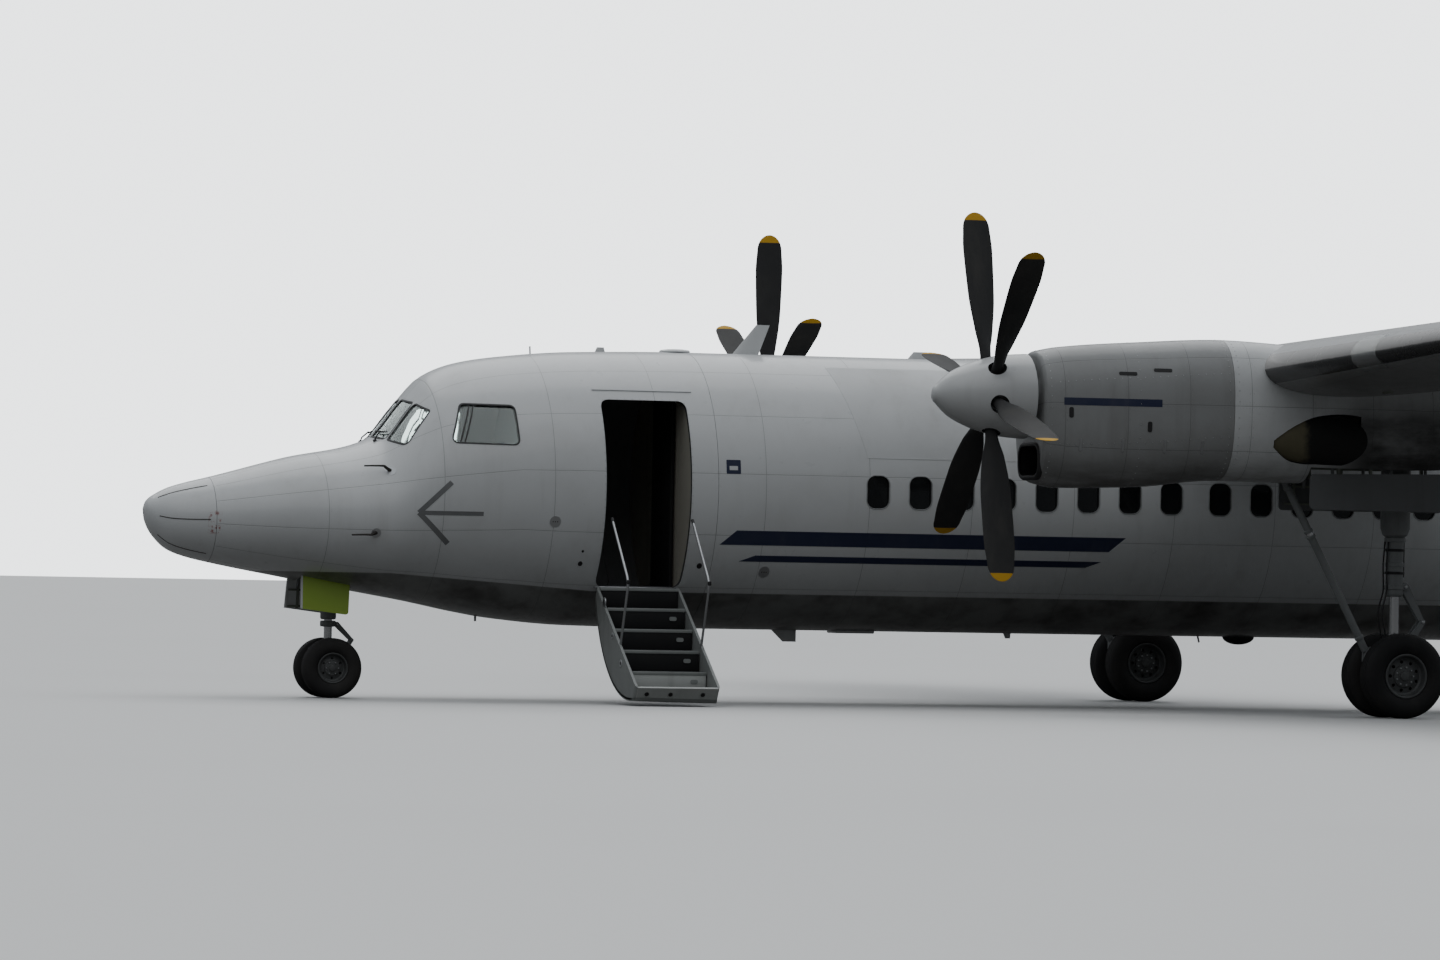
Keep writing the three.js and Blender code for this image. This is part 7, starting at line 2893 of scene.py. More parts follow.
# Flight deck outlines in side view: station and height
PANEL_SIDE = ((0.560, 1.280), (0.640, 1.280), (0.700, 1.700), (0.672, 2.150), (0.560, 2.190))
HOOD_SIDE = ((0.545, 2.180), (0.560, 2.215), (0.640, 2.262), (0.735, 2.235), (0.740, 2.205), (0.640, 2.200))
PEDESTAL_SIDE = ((0.640, 1.280), (0.860, 1.280), (0.860, 1.800), (0.720, 1.945), (0.640, 1.945))
SEAT_BACK_SIDE = ((1.585, 1.620), (1.655, 1.620), (1.685, 2.330), (1.640, 2.345))
SCREENS = (-0.450, -0.235, 0.0, 0.235, 0.450)
LEVERS = (-0.070, -0.025, 0.025, 0.070)
# Half of a control wheel's horns: station, distance from its middle and height
CONTROL_HORN = ((0.885, 0.150, 2.060), (0.870, 0.165, 1.98), (0.875, 0.080, 1.93))
# Seat pads: station and height of the middle, and half sizes
SEAT_PADS = (
    ((1.370, 1.675), (0.235, 0.195, 0.042)),
    ((1.585, 1.985), (0.040, 0.190, 0.300)),
    ((1.605, 2.430), (0.038, 0.115, 0.095)),
)


class AIRLINER_OT_flight_deck(bpy.types.Operator):
    """Builds the instrument panel, pedestal, controls and pilot seats"""

    bl_idname = "airliner.flight_deck"
    bl_label = "Flight deck"

    def execute(self, context):
        body = Shape()
        body.add(block((0.520, -0.640, 1.2505), (1.900, 0.640, 1.284), 0.004), 3)
        body.add(prism(rounded(PANEL_SIDE, 0.03), "y", -0.600, 0.600), 0)
        body.add(prism(rounded(HOOD_SIDE, 0.012, 4), "y", -0.610, 0.610), 1)
        for y in SCREENS:
            body.add(block((0.672, y - 0.088, 1.880), (0.700, y + 0.088, 2.080), 0.008), 1)
        body.add(prism(rounded(PEDESTAL_SIDE, 0.03), "y", -0.150, 0.150), 0)
        for y in LEVERS:
            body.add(pipe([(0.780, y, 1.86), (0.800, y, 1.97), (0.795, y, 2.03)], 0.007, 10), 2)
            body.add(bar((0.795, y - 0.014, 2.035), (0.795, y + 0.014, 2.035), 0.014, 14, 0.003), 1)
        for side in (-SEAT_SIDE, SEAT_SIDE):
            body.add(pipe([(0.900, side, 1.284), (0.905, side, 1.75), (0.880, side, 1.93)], 0.020, 14), 0)
            horns = [(x, side - out, z) for x, out, z in CONTROL_HORN]
            horns += [(x, side + out, z) for x, out, z in reversed(CONTROL_HORN)]
            body.add(pipe(smoothed(horns), 0.014, 12), 1)
            body.add(block((1.180, side - 0.150, 1.280), (1.500, side + 0.150, 1.600), 0.02), 0)
            body.add(block((1.130, side - 0.205, 1.590), (1.600, side + 0.205, 1.640), 0.012), 0)
            body.add(prism(rounded(SEAT_BACK_SIDE, 0.02), "y", side - 0.200, side + 0.200), 0)
            for y in (side - 0.060, side + 0.060):
                body.add(bar((1.650, y, 2.300), (1.640, y, 2.430), 0.009, 12), 2)
            for y in (side - 0.235, side + 0.205):
                body.add(block((1.260, y, 1.860), (1.600, y + 0.030, 1.900), 0.010), 1)
        paints = [finish("trim"), finish("dark_trim"), finish("metal"), finish("carpet")]
        piece("flight_deck_fittings", body, "airframe", paints, ("flight_deck",), "inside_trim")

        screens = Shape()
        for y in SCREENS:
            screens.add(block((0.699, y - 0.074, 1.895), (0.703, y + 0.074, 2.065), 0.0015))
        piece("flight_deck_screens", screens, "airframe", [finish("screen")], slot="glass")

        pads = Shape()
        for side in (-SEAT_SIDE, SEAT_SIDE):
            for (x, z), half in SEAT_PADS:
                pads.add(cushion((x, side, z), half))
        obj = piece("pilot_seat_pads", pads, "airframe", [finish("seat")], slot="inside_trim", crease=60)
        return {"FINISHED"}


# Entrance: end walls, locker doors, jamb behind the doorway, and the sill plate
ROOM_WALLS = (2.060, 3.410)
LOCKERS = (1.60, 2.05, 2.45)
JAMB = {"front": 3.300, "rear": 3.360, "depth": 0.060, "high": 2.900, "inner": -0.700}
SEAL_WIDTH = 0.003
SILL_PLATE = {"outer": -0.925, "inner": -0.80, "thick": 0.004, "inset": 0.02}
SERVICE_GAP = 0.003


class AIRLINER_OT_entrance(bpy.types.Operator):
    """Builds the lining inside the passenger door, the door frame and the service door"""

    bl_idname = "airliner.entrance"
    bl_label = "Entrance and service door"

    def execute(self, context):
        inside = Shape()
        sill = DOOR["sill"]
        for x in ROOM_WALLS:
            inside.add(hull_loft(x, x + 0.030, 0.050, 0.03, 64, sill + 0.002), 0)
        inside.add(block((2.100, -0.86, sill + 0.001), (3.400, 0.86, sill + 0.010), 0.002), 1)
        inside.add(block((2.095, 0.25, sill + 0.010), (2.400, 1.00, 2.900), 0.012), 0)
        for z in LOCKERS:
            inside.add(block((2.398, 0.30, z), (2.404, 0.92, z + 0.36), 0.002), 0)
            inside.add(block((2.404, 0.58, z + 0.05), (2.414, 0.64, z + 0.07), 0.002), 2)
        # Painted shade: a near-black panel on the rear wall stands for the dark passage into the cabin
        inside.add(block((3.365, -0.30, sill + 0.010), (3.400, 0.36, 3.02), 0.006), 3)
        low, high = sill + 0.020, JAMB["high"]
        middle_x = (JAMB["front"] + JAMB["rear"]) / 2
        jamb = [(hull_side(middle_x, z, -1, -JAMB["depth"]).y, z) for z in stations(low, high, 0.08)]
        jamb += [(JAMB["inner"], high), (JAMB["inner"], low)]
        inside.add(prism(jamb, "x", JAMB["front"], JAMB["rear"]), 0)
        inside.add(block((2.550, -0.14, 3.285), (3.250, 0.14, 3.300), 0.004), 4)
        paints = [finish(each) for each in ("lining", "carpet", "metal", "dark_trim", "lamp_panel")]
        piece("entrance_lining", inside, "airframe", paints, slot="inside_trim")

        frame_strip = Shape()
        outline = denser(door_outline(), 0.06)
        frame_strip.add(hull_band(outline, 0.020, side_projector(-1), 0.0025), 0)
        seal_line = grown(outline, -SEAL_WIDTH)
        frame_strip.add(hull_band(seal_line, SEAL_WIDTH, into_doorway, 0.004, 0.06), 1)
        surround = mesh_of("door_surround", frame_strip, [finish("metal"), finish("gasket")])
        front, rear = DOOR["front"], DOOR["rear"]
        sill_zone = block((front - 0.03, -1.2, sill - 0.03), (rear + 0.03, -0.7, sill + 0.018))
        carved(surround, [Shape().add(sill_zone, 0)])
        plate_low = (front + SILL_PLATE["inset"], SILL_PLATE["outer"], sill)
        plate_high = (rear - SILL_PLATE["inset"], SILL_PLATE["inner"], sill + SILL_PLATE["thick"])
        added(surround, Shape().add(block(plate_low, plate_high, 0.001), 0))
        smooth(surround)
        fitted(surround, "airframe", slot="bare_metal")

        x0, x1, z0, z1 = SERVICE_DOOR
        finishes = [finish("hull"), finish("trim")]
        gap = SERVICE_GAP
        outline = rounded(box_outline(x0 + gap, x1 - gap, z0 + gap, z1 - gap), 0.07)
        leaf = mesh_of("service_door_leaf", Shape().add(prism(outline, "y", 0.8, 1.5), 1), finishes)
        carved(leaf, [Shape().add(hull_loft(x0 - 0.1, x1 + 0.1, 0.0, 0.05, 192), 0)], "INTERSECT")
        carved(leaf, [Shape().add(hull_loft(x0 - 0.2, x1 + 0.2, LINING, 0.05, 192), 1)])
        smooth(leaf)
        faired(leaf, hull_normal_at)
        fitted(leaf, "airframe", ("service_door",), "white_paint")
        return {"FINISHED"}


# Fittings and marks


def ellipsoid(centre, half, rows=12, columns=28):
    """A smooth blister."""
    points = [(centre[0], centre[1], centre[2] - half[2])]
    for r in range(1, rows):
        lift = -math.pi / 2 + math.pi * r / rows
        for a in around(columns, 0):
            points.append((
                centre[0] + half[0] * math.cos(lift) * math.cos(a),
                centre[1] + half[1] * math.cos(lift) * math.sin(a),
                centre[2] + half[2] * math.sin(lift),
            ))
    points.append((centre[0], centre[1], centre[2] + half[2]))
    last = len(points) - 1
    faces = [[0, 1 + (i + 1) % columns, 1 + i] for i in range(columns)]
    for r in range(rows - 2):
        for i in range(columns):
            a, b = 1 + r * columns + i, 1 + r * columns + (i + 1) % columns
            faces.append([a, b, b + columns, a + columns])
    top = 1 + (rows - 2) * columns
    faces += [[top + i, top + (i + 1) % columns, last] for i in range(columns)]
    return points, faces


def evenly(outline, pitch):
    """Points at an even pitch along a closed outline."""
    points = [Vector(p) for p in outline]
    lengths = [(points[(i + 1) % len(points)] - p).length for i, p in enumerate(points)]
    total = sum(lengths)
    count = max(3, round(total / pitch))
    result = []
    i, passed = 0, 0.0
    for k in range(count):
        at = total * k / count
        while passed + lengths[i] < at:
            passed += lengths[i]
            i += 1
        share = (at - passed) / lengths[i]
        result.append(tuple(points[i].lerp(points[(i + 1) % len(points)], share)))
    return result


def on_surface(outline, onto, lift=0.0):
    """Each outline point on a surface with the outward direction there."""
    spots = []
    for u, v in outline:
        at, above = Vector(onto(u, v, lift)), Vector(onto(u, v, lift + 0.01))
        spots.append((tuple(at), tuple((above - at).normalized())))
    return spots


def on_port(spots):
    return [((x, -y, z), (dx, -dy, dz)) for (x, y, z), (dx, dy, dz) in spots]


def hull_disc(x, z, side, radius, lift, sides=24):
    outline = [(x + radius * math.cos(a), z + radius * math.sin(a)) for a in around(sides)]
    return patch(outline, side_projector(side), lift)


def window_tree():
    """Rounded frames that follow the curve of the fuselage side."""
    if "window frames" not in GROUPS:
        inputs = (
            ("Width", "NodeSocketFloat"), ("Height", "NodeSocketFloat"), ("Corner", "NodeSocketFloat"),
            ("Bar", "NodeSocketFloat"), ("Bend", "NodeSocketFloat"), ("Material", "NodeSocketMaterial"),
        )
        tree, n, source, target = node_tree("Window frames", inputs)
        outline = n.add("GeometryNodeCurvePrimitiveQuadrilateral", mode="RECTANGLE")
        n.put(outline.inputs["Width"], source["Width"])
        n.put(outline.inputs["Height"], source["Height"])
        fillet = n.add("GeometryNodeFilletCurve")
        if "Mode" in fillet.inputs:
            fillet.inputs["Mode"].default_value = "Poly"
        else:
            fillet.mode = "POLY"
        n.put(fillet.inputs["Curve"], outline.outputs["Curve"])
        n.put(fillet.inputs["Radius"], source["Corner"])
        fillet.inputs["Count"].default_value = 7
        section_curve = n.add("GeometryNodeCurvePrimitiveCircle")
        section_curve.inputs["Resolution"].default_value = 8
        n.put(section_curve.inputs["Radius"], source["Bar"])
        solid = n.add("GeometryNodeCurveToMesh")
        n.put(solid.inputs["Curve"], fillet.outputs["Curve"])
        n.put(solid.inputs["Profile Curve"], section_curve.outputs["Curve"])
        bend = n.add("GeometryNodeSetPosition")
        n.put(bend.inputs["Geometry"], solid.outputs["Mesh"])
        height = n.split(n.add("GeometryNodeInputPosition").outputs["Position"])[1]
        offset = n.add("ShaderNodeCombineXYZ")
        n.put(offset.inputs["Z"], n.times(n.times(height, height), source["Bend"]))
        n.put(bend.inputs["Offset"], offset.outputs["Vector"])
        close_tree(n, repeated(n, source, bend.outputs["Geometry"]), source["Material"], target)
        GROUPS["window frames"] = tree
    return GROUPS["window frames"]


SCREW_ROW = {"away": 0.024, "pitch": 0.048, "side_pitch": 0.055, "door_pitch": 0.075}


class AIRLINER_OT_window_frames(bpy.types.Operator):
    """Builds the thin frames around the cabin windows and the screws around the flight deck panes"""

    bl_idname = "airliner.window_frames"
    bl_label = "Window frames and screws"

    def execute(self, context):
        spots = []
        for x in window_stations():
            y = hull_side(x, WINDOW_MID, 1).y
            spots += [((x, y, WINDOW_MID), (0, 1, 0)), ((x, -y, WINDOW_MID), (0, -1, 0))]
        girth_radius = (HULL_LINES.at(8.0)[0] - HULL_LINES.at(8.0)[1]) / 2
        values = {
            "Width": 2 * CABIN_WINDOW["half"] + 0.012, "Height": 2 * CABIN_WINDOW["rise"] + 0.012,
            "Corner": CABIN_WINDOW["corner"] + 0.005, "Bar": 0.0055,
            "Bend": -0.5 / girth_radius, "Material": finish("window_frame"),
        }
        repeated_piece("cabin_window_frames", spots, window_tree(), values, "airframe", "grey_paint", 50)

        screws = []
        for outline in (FRONT_PANE, CORNER_PANE):
            pane = denser(rounded(outline, PANE_CORNER), PANE_STRIP["pitch"])
            line = evenly(grown(pane, SCREW_ROW["away"]), SCREW_ROW["pitch"])
            spots = on_surface(line, onto_front)
            screws += spots + on_port(spots)
        pane = denser(rounded(SIDE_PANE, SIDE_PANE_CORNER), PANE_STRIP["pitch"])
        line = evenly(grown(pane, SCREW_ROW["away"]), SCREW_ROW["side_pitch"])
        spots = on_surface(line, side_projector(1))
        screws += spots + on_port(spots)
        door = evenly(grown(denser(door_outline(), 0.06), 0.010), SCREW_ROW["door_pitch"])
        screws += on_surface(door, side_projector(-1), 0.0025)
        studs("pane_screws", screws, 0.0045, 0.0028, "metal", "airframe", "bare_metal", 8, 0.8)
        return {"FINISHED"}


# Wipers on the front panes: distance from the middle, height, and lift off the glass
WIPER_BLADE = ((0.075, 2.600), (0.180, 2.592), (0.290, 2.588), (0.385, 2.590))
WIPER_LIFT = 0.012
WIPER_ARM = ((0.300, 2.505, 0.006), (0.290, 2.530, 0.028), (0.235, 2.592, 0.022))
PROBES = ((0.390, 2.215), (0.235, 1.610))
STATIC_PLATES = ((1.930, 1.750), (4.100, 1.300))
STRIP_ANGLES = (0, 55, 125, 180, 235, 305)


class AIRLINER_OT_nose_fittings(bpy.types.Operator):
    """Builds the wipers, air data probes, static plates and diverter strips"""

    bl_idname = "airliner.nose_fittings"
    bl_label = "Wipers, probes and strips"

    def execute(self, context):
        wipers = Shape()
        for side in (1, -1):
            blade = [onto_front(y, z, WIPER_LIFT) for y, z in WIPER_BLADE]
            arm = [onto_front(y, z, lift) for y, z, lift in WIPER_ARM]
            wipers.add(on_side(pipe(blade, 0.007, 8), side), 0)
            wipers.add(on_side(pipe([p + Vector((0, 0, 0.006)) for p in blade], 0.0035, 8), side), 1)
            wipers.add(on_side(pipe(arm, 0.008, 10), side), 1)
            foot_y, foot_z, _ = WIPER_ARM[0]
            foot, head = onto_front(foot_y, foot_z, -0.010), onto_front(foot_y, foot_z, 0.020)
            wipers.add(on_side(bar(foot, head, 0.018, 16, 0.004), side), 1)
        piece("wipers", wipers, "airframe", [finish("boot"), finish("dark_trim")], slot="tyre")

        probes = Shape()
        for x, z in PROBES:
            for side in (1, -1):
                root, knee = hull_side(x, z, side, -0.01), hull_side(x - 0.045, z, side, 0.070)
                tip = knee + Vector((-0.190, 0, -0.004))
                probes.add(pipe([root, knee.lerp(root, 0.15)], 0.020, 14, 0.012), 0)
                bend = smoothed([root, knee, knee + Vector((-0.05, 0, 0)), tip])
                probes.add(pipe(bend, 0.012, 14, 0.008), 0)
                probes.add(hull_disc(x, z, side, 0.045, 0.003), 1)
        for side in (1, -1):
            for x, z in STATIC_PLATES:
                probes.add(hull_disc(x, z, side, 0.055, 0.002), 1)
                for k in range(3):
                    probes.add(hull_disc(x + 0.022 * (k - 1), z, side, 0.005, 0.0035, 10), 0)
        piece("air_data_probes", probes, "airframe", [finish("dark"), finish("metal")], slot="bare_metal")

        strips = Shape()
        for angle in STRIP_ANGLES:
            path = [hull_point(x, math.radians(angle), -0.001) for x in stations(-1.74, -1.285, 0.05)]
            strips.add(pipe(path, 0.0045, 8))
        piece("diverter_strips", strips, "airframe", [finish("dark")], slot="dark_metal")
        return {"FINISHED"}


ICE_PANEL = {"low": 2.430, "high": 3.330, "front": 5.080, "lean": 0.230, "rear": 7.350}
# Blank plates aft of the doorway: outline, corner and lift
PLATES = (
    ((3.630, 3.775, 2.250, 2.385), 0.008, 0.0022),
    ((3.660, 3.745, 2.285, 2.325), 0.004, 0.0030),
)
# Plain stripes: heights of the lower and upper edge, and stations of the ends
STRIPES = ((1.560, 1.700, 3.60, 7.62), (1.400, 1.460, 3.82, 7.40))
STRIPE_SLOPE = 0.16
ARROW = {"tip": (0.620, 1.812), "tail": (1.230, 1.812), "barbs": ((0.920, 2.110), (0.920, 1.520))}
SIDE_VENTS = ((2.230, 1.350, 0.022), (3.430, 1.350, 0.026), (2.235, 1.470, 0.012))
DOOR_GUTTER = ((2.36, 3.045), (3.36, 3.045))
SERVICE_HANDLE = (2.70, 2.90, 1.86, 1.95)
SERVICE_HINGES = [(x, z) for x in (2.60, 2.95) for z in (1.30, 2.30)]


def ice_panel_rows(count=12):
    """The sheet that guards the side against ice from a propeller: a slanted front and a level foot."""
    low, high, rear = ICE_PANEL["low"], ICE_PANEL["high"], ICE_PANEL["rear"]
    rows = []
    for r in range(count + 1):
        z = low + (high - low) * r / count
        front = ICE_PANEL["front"] - ICE_PANEL["lean"] * r / count
        rows.append([(front + (rear - front) * i / 24, z) for i in range(25)])
    return rows


class AIRLINER_OT_marks(bpy.types.Operator):
    """Builds the ice panels, plain placards, stripes, vents and handles on the fuselage"""

    bl_idname = "airliner.marks"
    bl_label = "Panels, marks and vents"

    def execute(self, context):
        for name, side in SIDES.items():
            guard = Shape().add(hull_sheet(ice_panel_rows(), side, 0.003), 0)
            paints = [finish("ice_panel")]
            piece(f"ice_panel_{name}", guard, "airframe", paints, slot="white_paint", crease=20)

            marks = Shape()
            for paint, (box, corner, lift) in enumerate(PLATES):
                plate = denser(rounded(box_outline(*box), corner), 0.03)
                marks.add(patch(plate, side_projector(side), lift), paint)
            for low, high, start, end in STRIPES:
                along = [start + (end - start) * i / 40 for i in range(41)]
                edges = [[(x, low) for x in along], [(x + STRIPE_SLOPE, high) for x in along]]
                marks.add(hull_sheet(edges, side, 0.0018), 0)
            tip = ARROW["tip"]
            shaft = denser_line([(tip[0] + 0.03, tip[1]), ARROW["tail"]], 0.06)
            marks.add(hull_strip(shaft, 0.040, 0.0018, side), 2)
            for end in ARROW["barbs"]:
                marks.add(hull_strip(denser_line([tip, end], 0.05), 0.048, 0.0020, side), 2)
            paints = [finish("navy"), finish("white"), finish("mark_grey")]
            piece(f"plain_marks_{name}", marks, "airframe", paints, slot="white_paint", crease=20)

        vents = Shape()
        for x, z, radius in SIDE_VENTS:
            vents.add(hull_disc(x, z, -1, radius, 0.004), 0)
        vents.add(hull_strip(denser_line(DOOR_GUTTER, 0.08), 0.014, 0.010, -1), 1)
        handle = denser(rounded(box_outline(*SERVICE_HANDLE), 0.03), 0.03)
        vents.add(patch(handle, side_projector(1), 0.0025), 1)
        grip = [hull_side(x, 1.905, 1, 0.016) for x in (2.73, 2.80, 2.87)]
        vents.add(pipe(grip, 0.010, 10), 2)
        for x, z in SERVICE_HINGES:
            hinge = denser(rounded(box_outline(x - 0.05, x + 0.05, z - 0.02, z + 0.02), 0.01), 0.03)
            vents.add(patch(hinge, side_projector(1), 0.004), 1)
        vents.add(ellipsoid((9.480, 0.0, keel_at(9.48) + 0.004), (0.170, 0.095, 0.082)), 0)
        vents.add(ellipsoid((12.9, 0.0, crown_at(12.9) - 0.006), (0.20, 0.075, 0.05)), 1)
        paints = [finish("boot"), finish("white"), finish("metal")]
        piece("hull_fittings", vents, "airframe", paints, slot="bare_metal")
        return {"FINISHED"}


def edge_shell(low, high, side, reach=0.07, lift=0.002):
    """A shell over the wing's leading edge between two span positions."""
    rings = []
    for y in stations(low, high, 0.06):
        row = wing_row(y)
        shares = [s for s in CHORD_STEPS if s <= reach]
        ring = []
        for grow in (lift, -0.004):
            side_ring = []
            for share, sign in [(s, 1) for s in reversed(shares)] + [(s, -1) for s in shares[1:]]:
                depth = half_thickness(share) * row["thick"] + EDGE_HALF * share + grow
                x = row["edge"] + share * row["chord"] - (grow if share < 0.01 else 0)
                z = row["height"] + camber_line(share, WING_CAMBER) * row["chord"] + sign * depth
                side_ring.append((x, y, z))
            ring += side_ring if grow > 0 else side_ring[::-1]
        rings.append(ring)
    return on_side(loft(rings), side)


# Landing lamps in the wing's edge: inner and outer distance from the middle
LANDING_LAMP = (6.080, 6.620)
TAIL_LAMP = ((TAIL_TIP - 0.055, 0.0, 2.995), (0.050, 0.035, 0.040))
BEACON = (
    (0.0, 0.075), (0.030, 0.068), (0.050, 0.045), (0.055, 0.010), (0.066, 0.006), (0.066, -0.01),
    (0.0, -0.01),
)
# Wing tip lamps: span of the wing row, centre from its edge and from the middle, rise and half sizes
TIP_LAMP = {"row": 14.30, "behind": 0.20, "out": 14.335, "rise": 0.012, "half": (0.17, 0.10, 0.045)}


class AIRLINER_OT_lights(bpy.types.Operator):
    """Builds the landing, position and beacon lights"""

    bl_idname = "airliner.lights"
    bl_label = "Lights"

    def execute(self, context):
        lamps = Shape()
        for side in (1, -1):
            lamps.add(edge_shell(*LANDING_LAMP, side), 0)
        lamps.add(ellipsoid(*TAIL_LAMP), 0)
        piece("white_lamps", lamps, "airframe", [finish("lens")], slot="glass", crease=50)
        beacons = Shape()
        for x, skin_at, sign in ((11.60, crown_at, 1), (12.60, keel_at, -1)):
            profile = [(radius, sign * rise) for radius, rise in BEACON]
            beacons.add(lathe(profile, (x, 0.0, skin_at(x)), "z", 28))
        piece("beacons", beacons, "airframe", [finish("red_lens")], slot="glass", crease=50)
        for name, side in SIDES.items():
            row = wing_row(TIP_LAMP["row"])
            centre = (
                row["edge"] + TIP_LAMP["behind"], side * TIP_LAMP["out"], row["height"] + TIP_LAMP["rise"],
            )
            tip = ellipsoid(centre, TIP_LAMP["half"])
            paint = "red_lens" if name == "left" else "green_lens"
            piece(
                f"position_lamp_{name}", Shape().add(tip), "airframe", [finish(paint)], slot="glass",
                crease=50,
            )
        return {"FINISHED"}


# Fasteners round the cowl: station and count; and along it: angles about its axis
FASTENER_HOOPS = ((6.015, 44), (7.785, 52), (7.880, 52), (6.890, 40))
FASTENER_LINES = (-0.30, 0.42, math.pi + 0.30, math.pi - 0.42)
FASTENER_PITCH = 0.075
WICK = {"radius": 0.0035, "height": 0.150, "paint": "boot", "slot": "tyre", "sides": 6, "taper": 0.4}
WICK_BEHIND = 0.070
AILERON_WICKS = (10.4, 11.7, 13.0)
ELEVATOR_WICKS = (2.4, 3.3, 4.2)
RUDDER_WICKS = (6.4, 7.1, 7.8)


class AIRLINER_OT_small_hardware(bpy.types.Operator):
    """Builds the cowl fasteners and the static dischargers"""

    bl_idname = "airliner.small_hardware"
    bl_label = "Fasteners and dischargers"

    def execute(self, context):
        for name, side in SIDES.items():
            onto = nacelle_normal_at(side)
            places = [(x, angle) for x, count in FASTENER_HOOPS for angle in around(count)]
            places += [(x, angle) for angle in FASTENER_LINES for x in stations(6.10, 7.70, FASTENER_PITCH)]
            spots = []
            for x, angle in places:
                at = Vector(oval(NACELLE_LINES, x, angle, 0.0, NACELLE_POWER, side * ENGINE_SIDE))
                spots.append((tuple(at), tuple(onto(at + Vector((AXLE, 0, 0))))))
            studs(
                f"cowl_fasteners_{name}", spots, 0.0060, 0.0026, "metal", "airframe", "bare_metal", 8, 0.75,
            )

        aft = (1.0, 0.0, 0.0)

        def trailing(row, y, z):
            """A spot just behind the trailing edge of a wing or tail row, and the way it points."""
            return (row["edge"] + row["chord"] + WICK_BEHIND, y, z), aft

        for name, side in SIDES.items():
            rows = [(wing_row(y), y) for y in AILERON_WICKS]
            spots = [trailing(row, side * y, row["height"]) for row, y in rows]
            studs(f"aileron_wicks_{name}", spots, body=f"aileron_{name}", **WICK)
            rows = [(mixed(TAIL_ROOT, TAIL_TOP, y / TAIL_TOP["y"]), y) for y in ELEVATOR_WICKS]
            spots = [trailing(row, side * y, row["height"]) for row, y in rows]
            studs(f"elevator_wicks_{name}", spots, body=f"elevator_{name}", **WICK)
        fin_height = FIN_TOP["z"] - FIN_ROOT["z"]
        rows = [(mixed(FIN_ROOT, FIN_TOP, (z - FIN_ROOT["z"]) / fin_height), z) for z in RUDDER_WICKS]
        spots = [trailing(row, 0.0, z) for row, z in rows]
        studs("rudder_wicks", spots, body="rudder", **WICK)
        return {"FINISHED"}


# Stage


SENSOR_WIDTH = 36.0
CAMERA_SPOT = (-15.402 + AXLE, -64.894, 1.258)
FLOOR_REACH = 600.0
# How the two soft suns are turned, in degrees, and how wide they look
SUN_TURNS = {"overhead": (-34, 10, 0), "fill": (38, 0, -24)}
SUN_WIDTH = 60


class AIRLINER_OT_stage(bpy.types.Operator):
    """Sets the camera, the pale floor and the soft light"""

    bl_idname = "airliner.stage"
    bl_label = "Camera, floor and light"

    def execute(self, context):
        sizes = context.scene.airliner_sizes
        camera = bpy.data.cameras.new("camera")
        camera.lens = sizes.lens
        camera.sensor_width = SENSOR_WIDTH
        camera.sensor_fit = "HORIZONTAL"
        camera.clip_end = 2000.0
        eye = bpy.data.objects.new("camera", camera)
        yaw, pitch, roll = sizes.yaw, sizes.pitch, sizes.roll
        flat = Vector((math.sin(yaw), math.cos(yaw), 0)) * math.cos(pitch)
        ahead = flat + Vector((0, 0, math.sin(pitch)))
        level = Vector((math.cos(yaw), -math.sin(yaw), 0))
        up = level.cross(ahead)
        right = level * math.cos(roll) + up * math.sin(roll)
        over = up * math.cos(roll) - level * math.sin(roll)
        axes = Matrix((right, over, -ahead)).transposed().to_4x4()
        eye.matrix_world = Matrix.Translation(CAMERA_SPOT) @ axes
        context.scene.collection.objects.link(eye)
        context.scene.camera = eye

        corners = box_outline(-FLOOR_REACH, FLOOR_REACH, -FLOOR_REACH, FLOOR_REACH)
        square = [(x, y, 0) for x, y in corners], [[0, 1, 2, 3]]
        floor = mesh_of("floor", Shape().add(square), [finish("floor")])

        world = bpy.data.worlds.new("soft_sky")
        world.use_nodes = True
        context.scene.world = world
        world.node_tree.nodes.clear()
        n = Nodes(world.node_tree)
        _, y, z = n.split(n.add("ShaderNodeTexCoord").outputs["Generated"])
        high = n.ramp(z, 0.0, 0.75, 0.17, 1.2, soft=False)
        behind = n.ramp(y, -0.9, 0.9, 0.55, 1.25, soft=False)
        light = n.add("ShaderNodeBackground")
        light.inputs["Color"].default_value = (0.86, 0.91, 0.96, 1)
        n.put(light.inputs["Strength"], n.times(n.times(high, behind), sizes.sky))
        seen = n.add("ShaderNodeBackground")
        seen.inputs["Color"].default_value = (0.95, 0.98, 1.0, 1)
        seen.inputs["Strength"].default_value = sizes.backdrop
        path = n.add("ShaderNodeLightPath").outputs
        choice = n.add("ShaderNodeMixShader")
        n.put(choice.inputs[0], n.maths("MAXIMUM", path["Is Camera Ray"], path["Is Transmission Ray"]))
        n.put(choice.inputs[1], light.outputs[0])
        n.put(choice.inputs[2], seen.outputs[0])
        n.put(n.add("ShaderNodeOutputWorld").inputs["Surface"], choice.outputs[0])
        for label, turn in SUN_TURNS.items():
            lamp = bpy.data.lights.new(label, "SUN")
            lamp.energy = getattr(sizes, label)
            lamp.angle = math.radians(SUN_WIDTH)
            holder = bpy.data.objects.new(label, lamp)
            holder.rotation_euler = [math.radians(angle) for angle in turn]
            context.scene.collection.objects.link(holder)
        return {"FINISHED"}


NODE_FINISHES = {
    "white_paint": "white",
    "wing_paint": "wing",
    "grey_paint": "cowl_left",
    "bare_metal": "metal",
    "steel": "steel",
    "dark_metal": "dark",
    "blade_black": "blade",
    "tyre": "tyre",
    "glass": "clear_glass",
    "inside_trim": "trim",
    "lime_paint": "lime",
    "engine_cast": "dark",
}


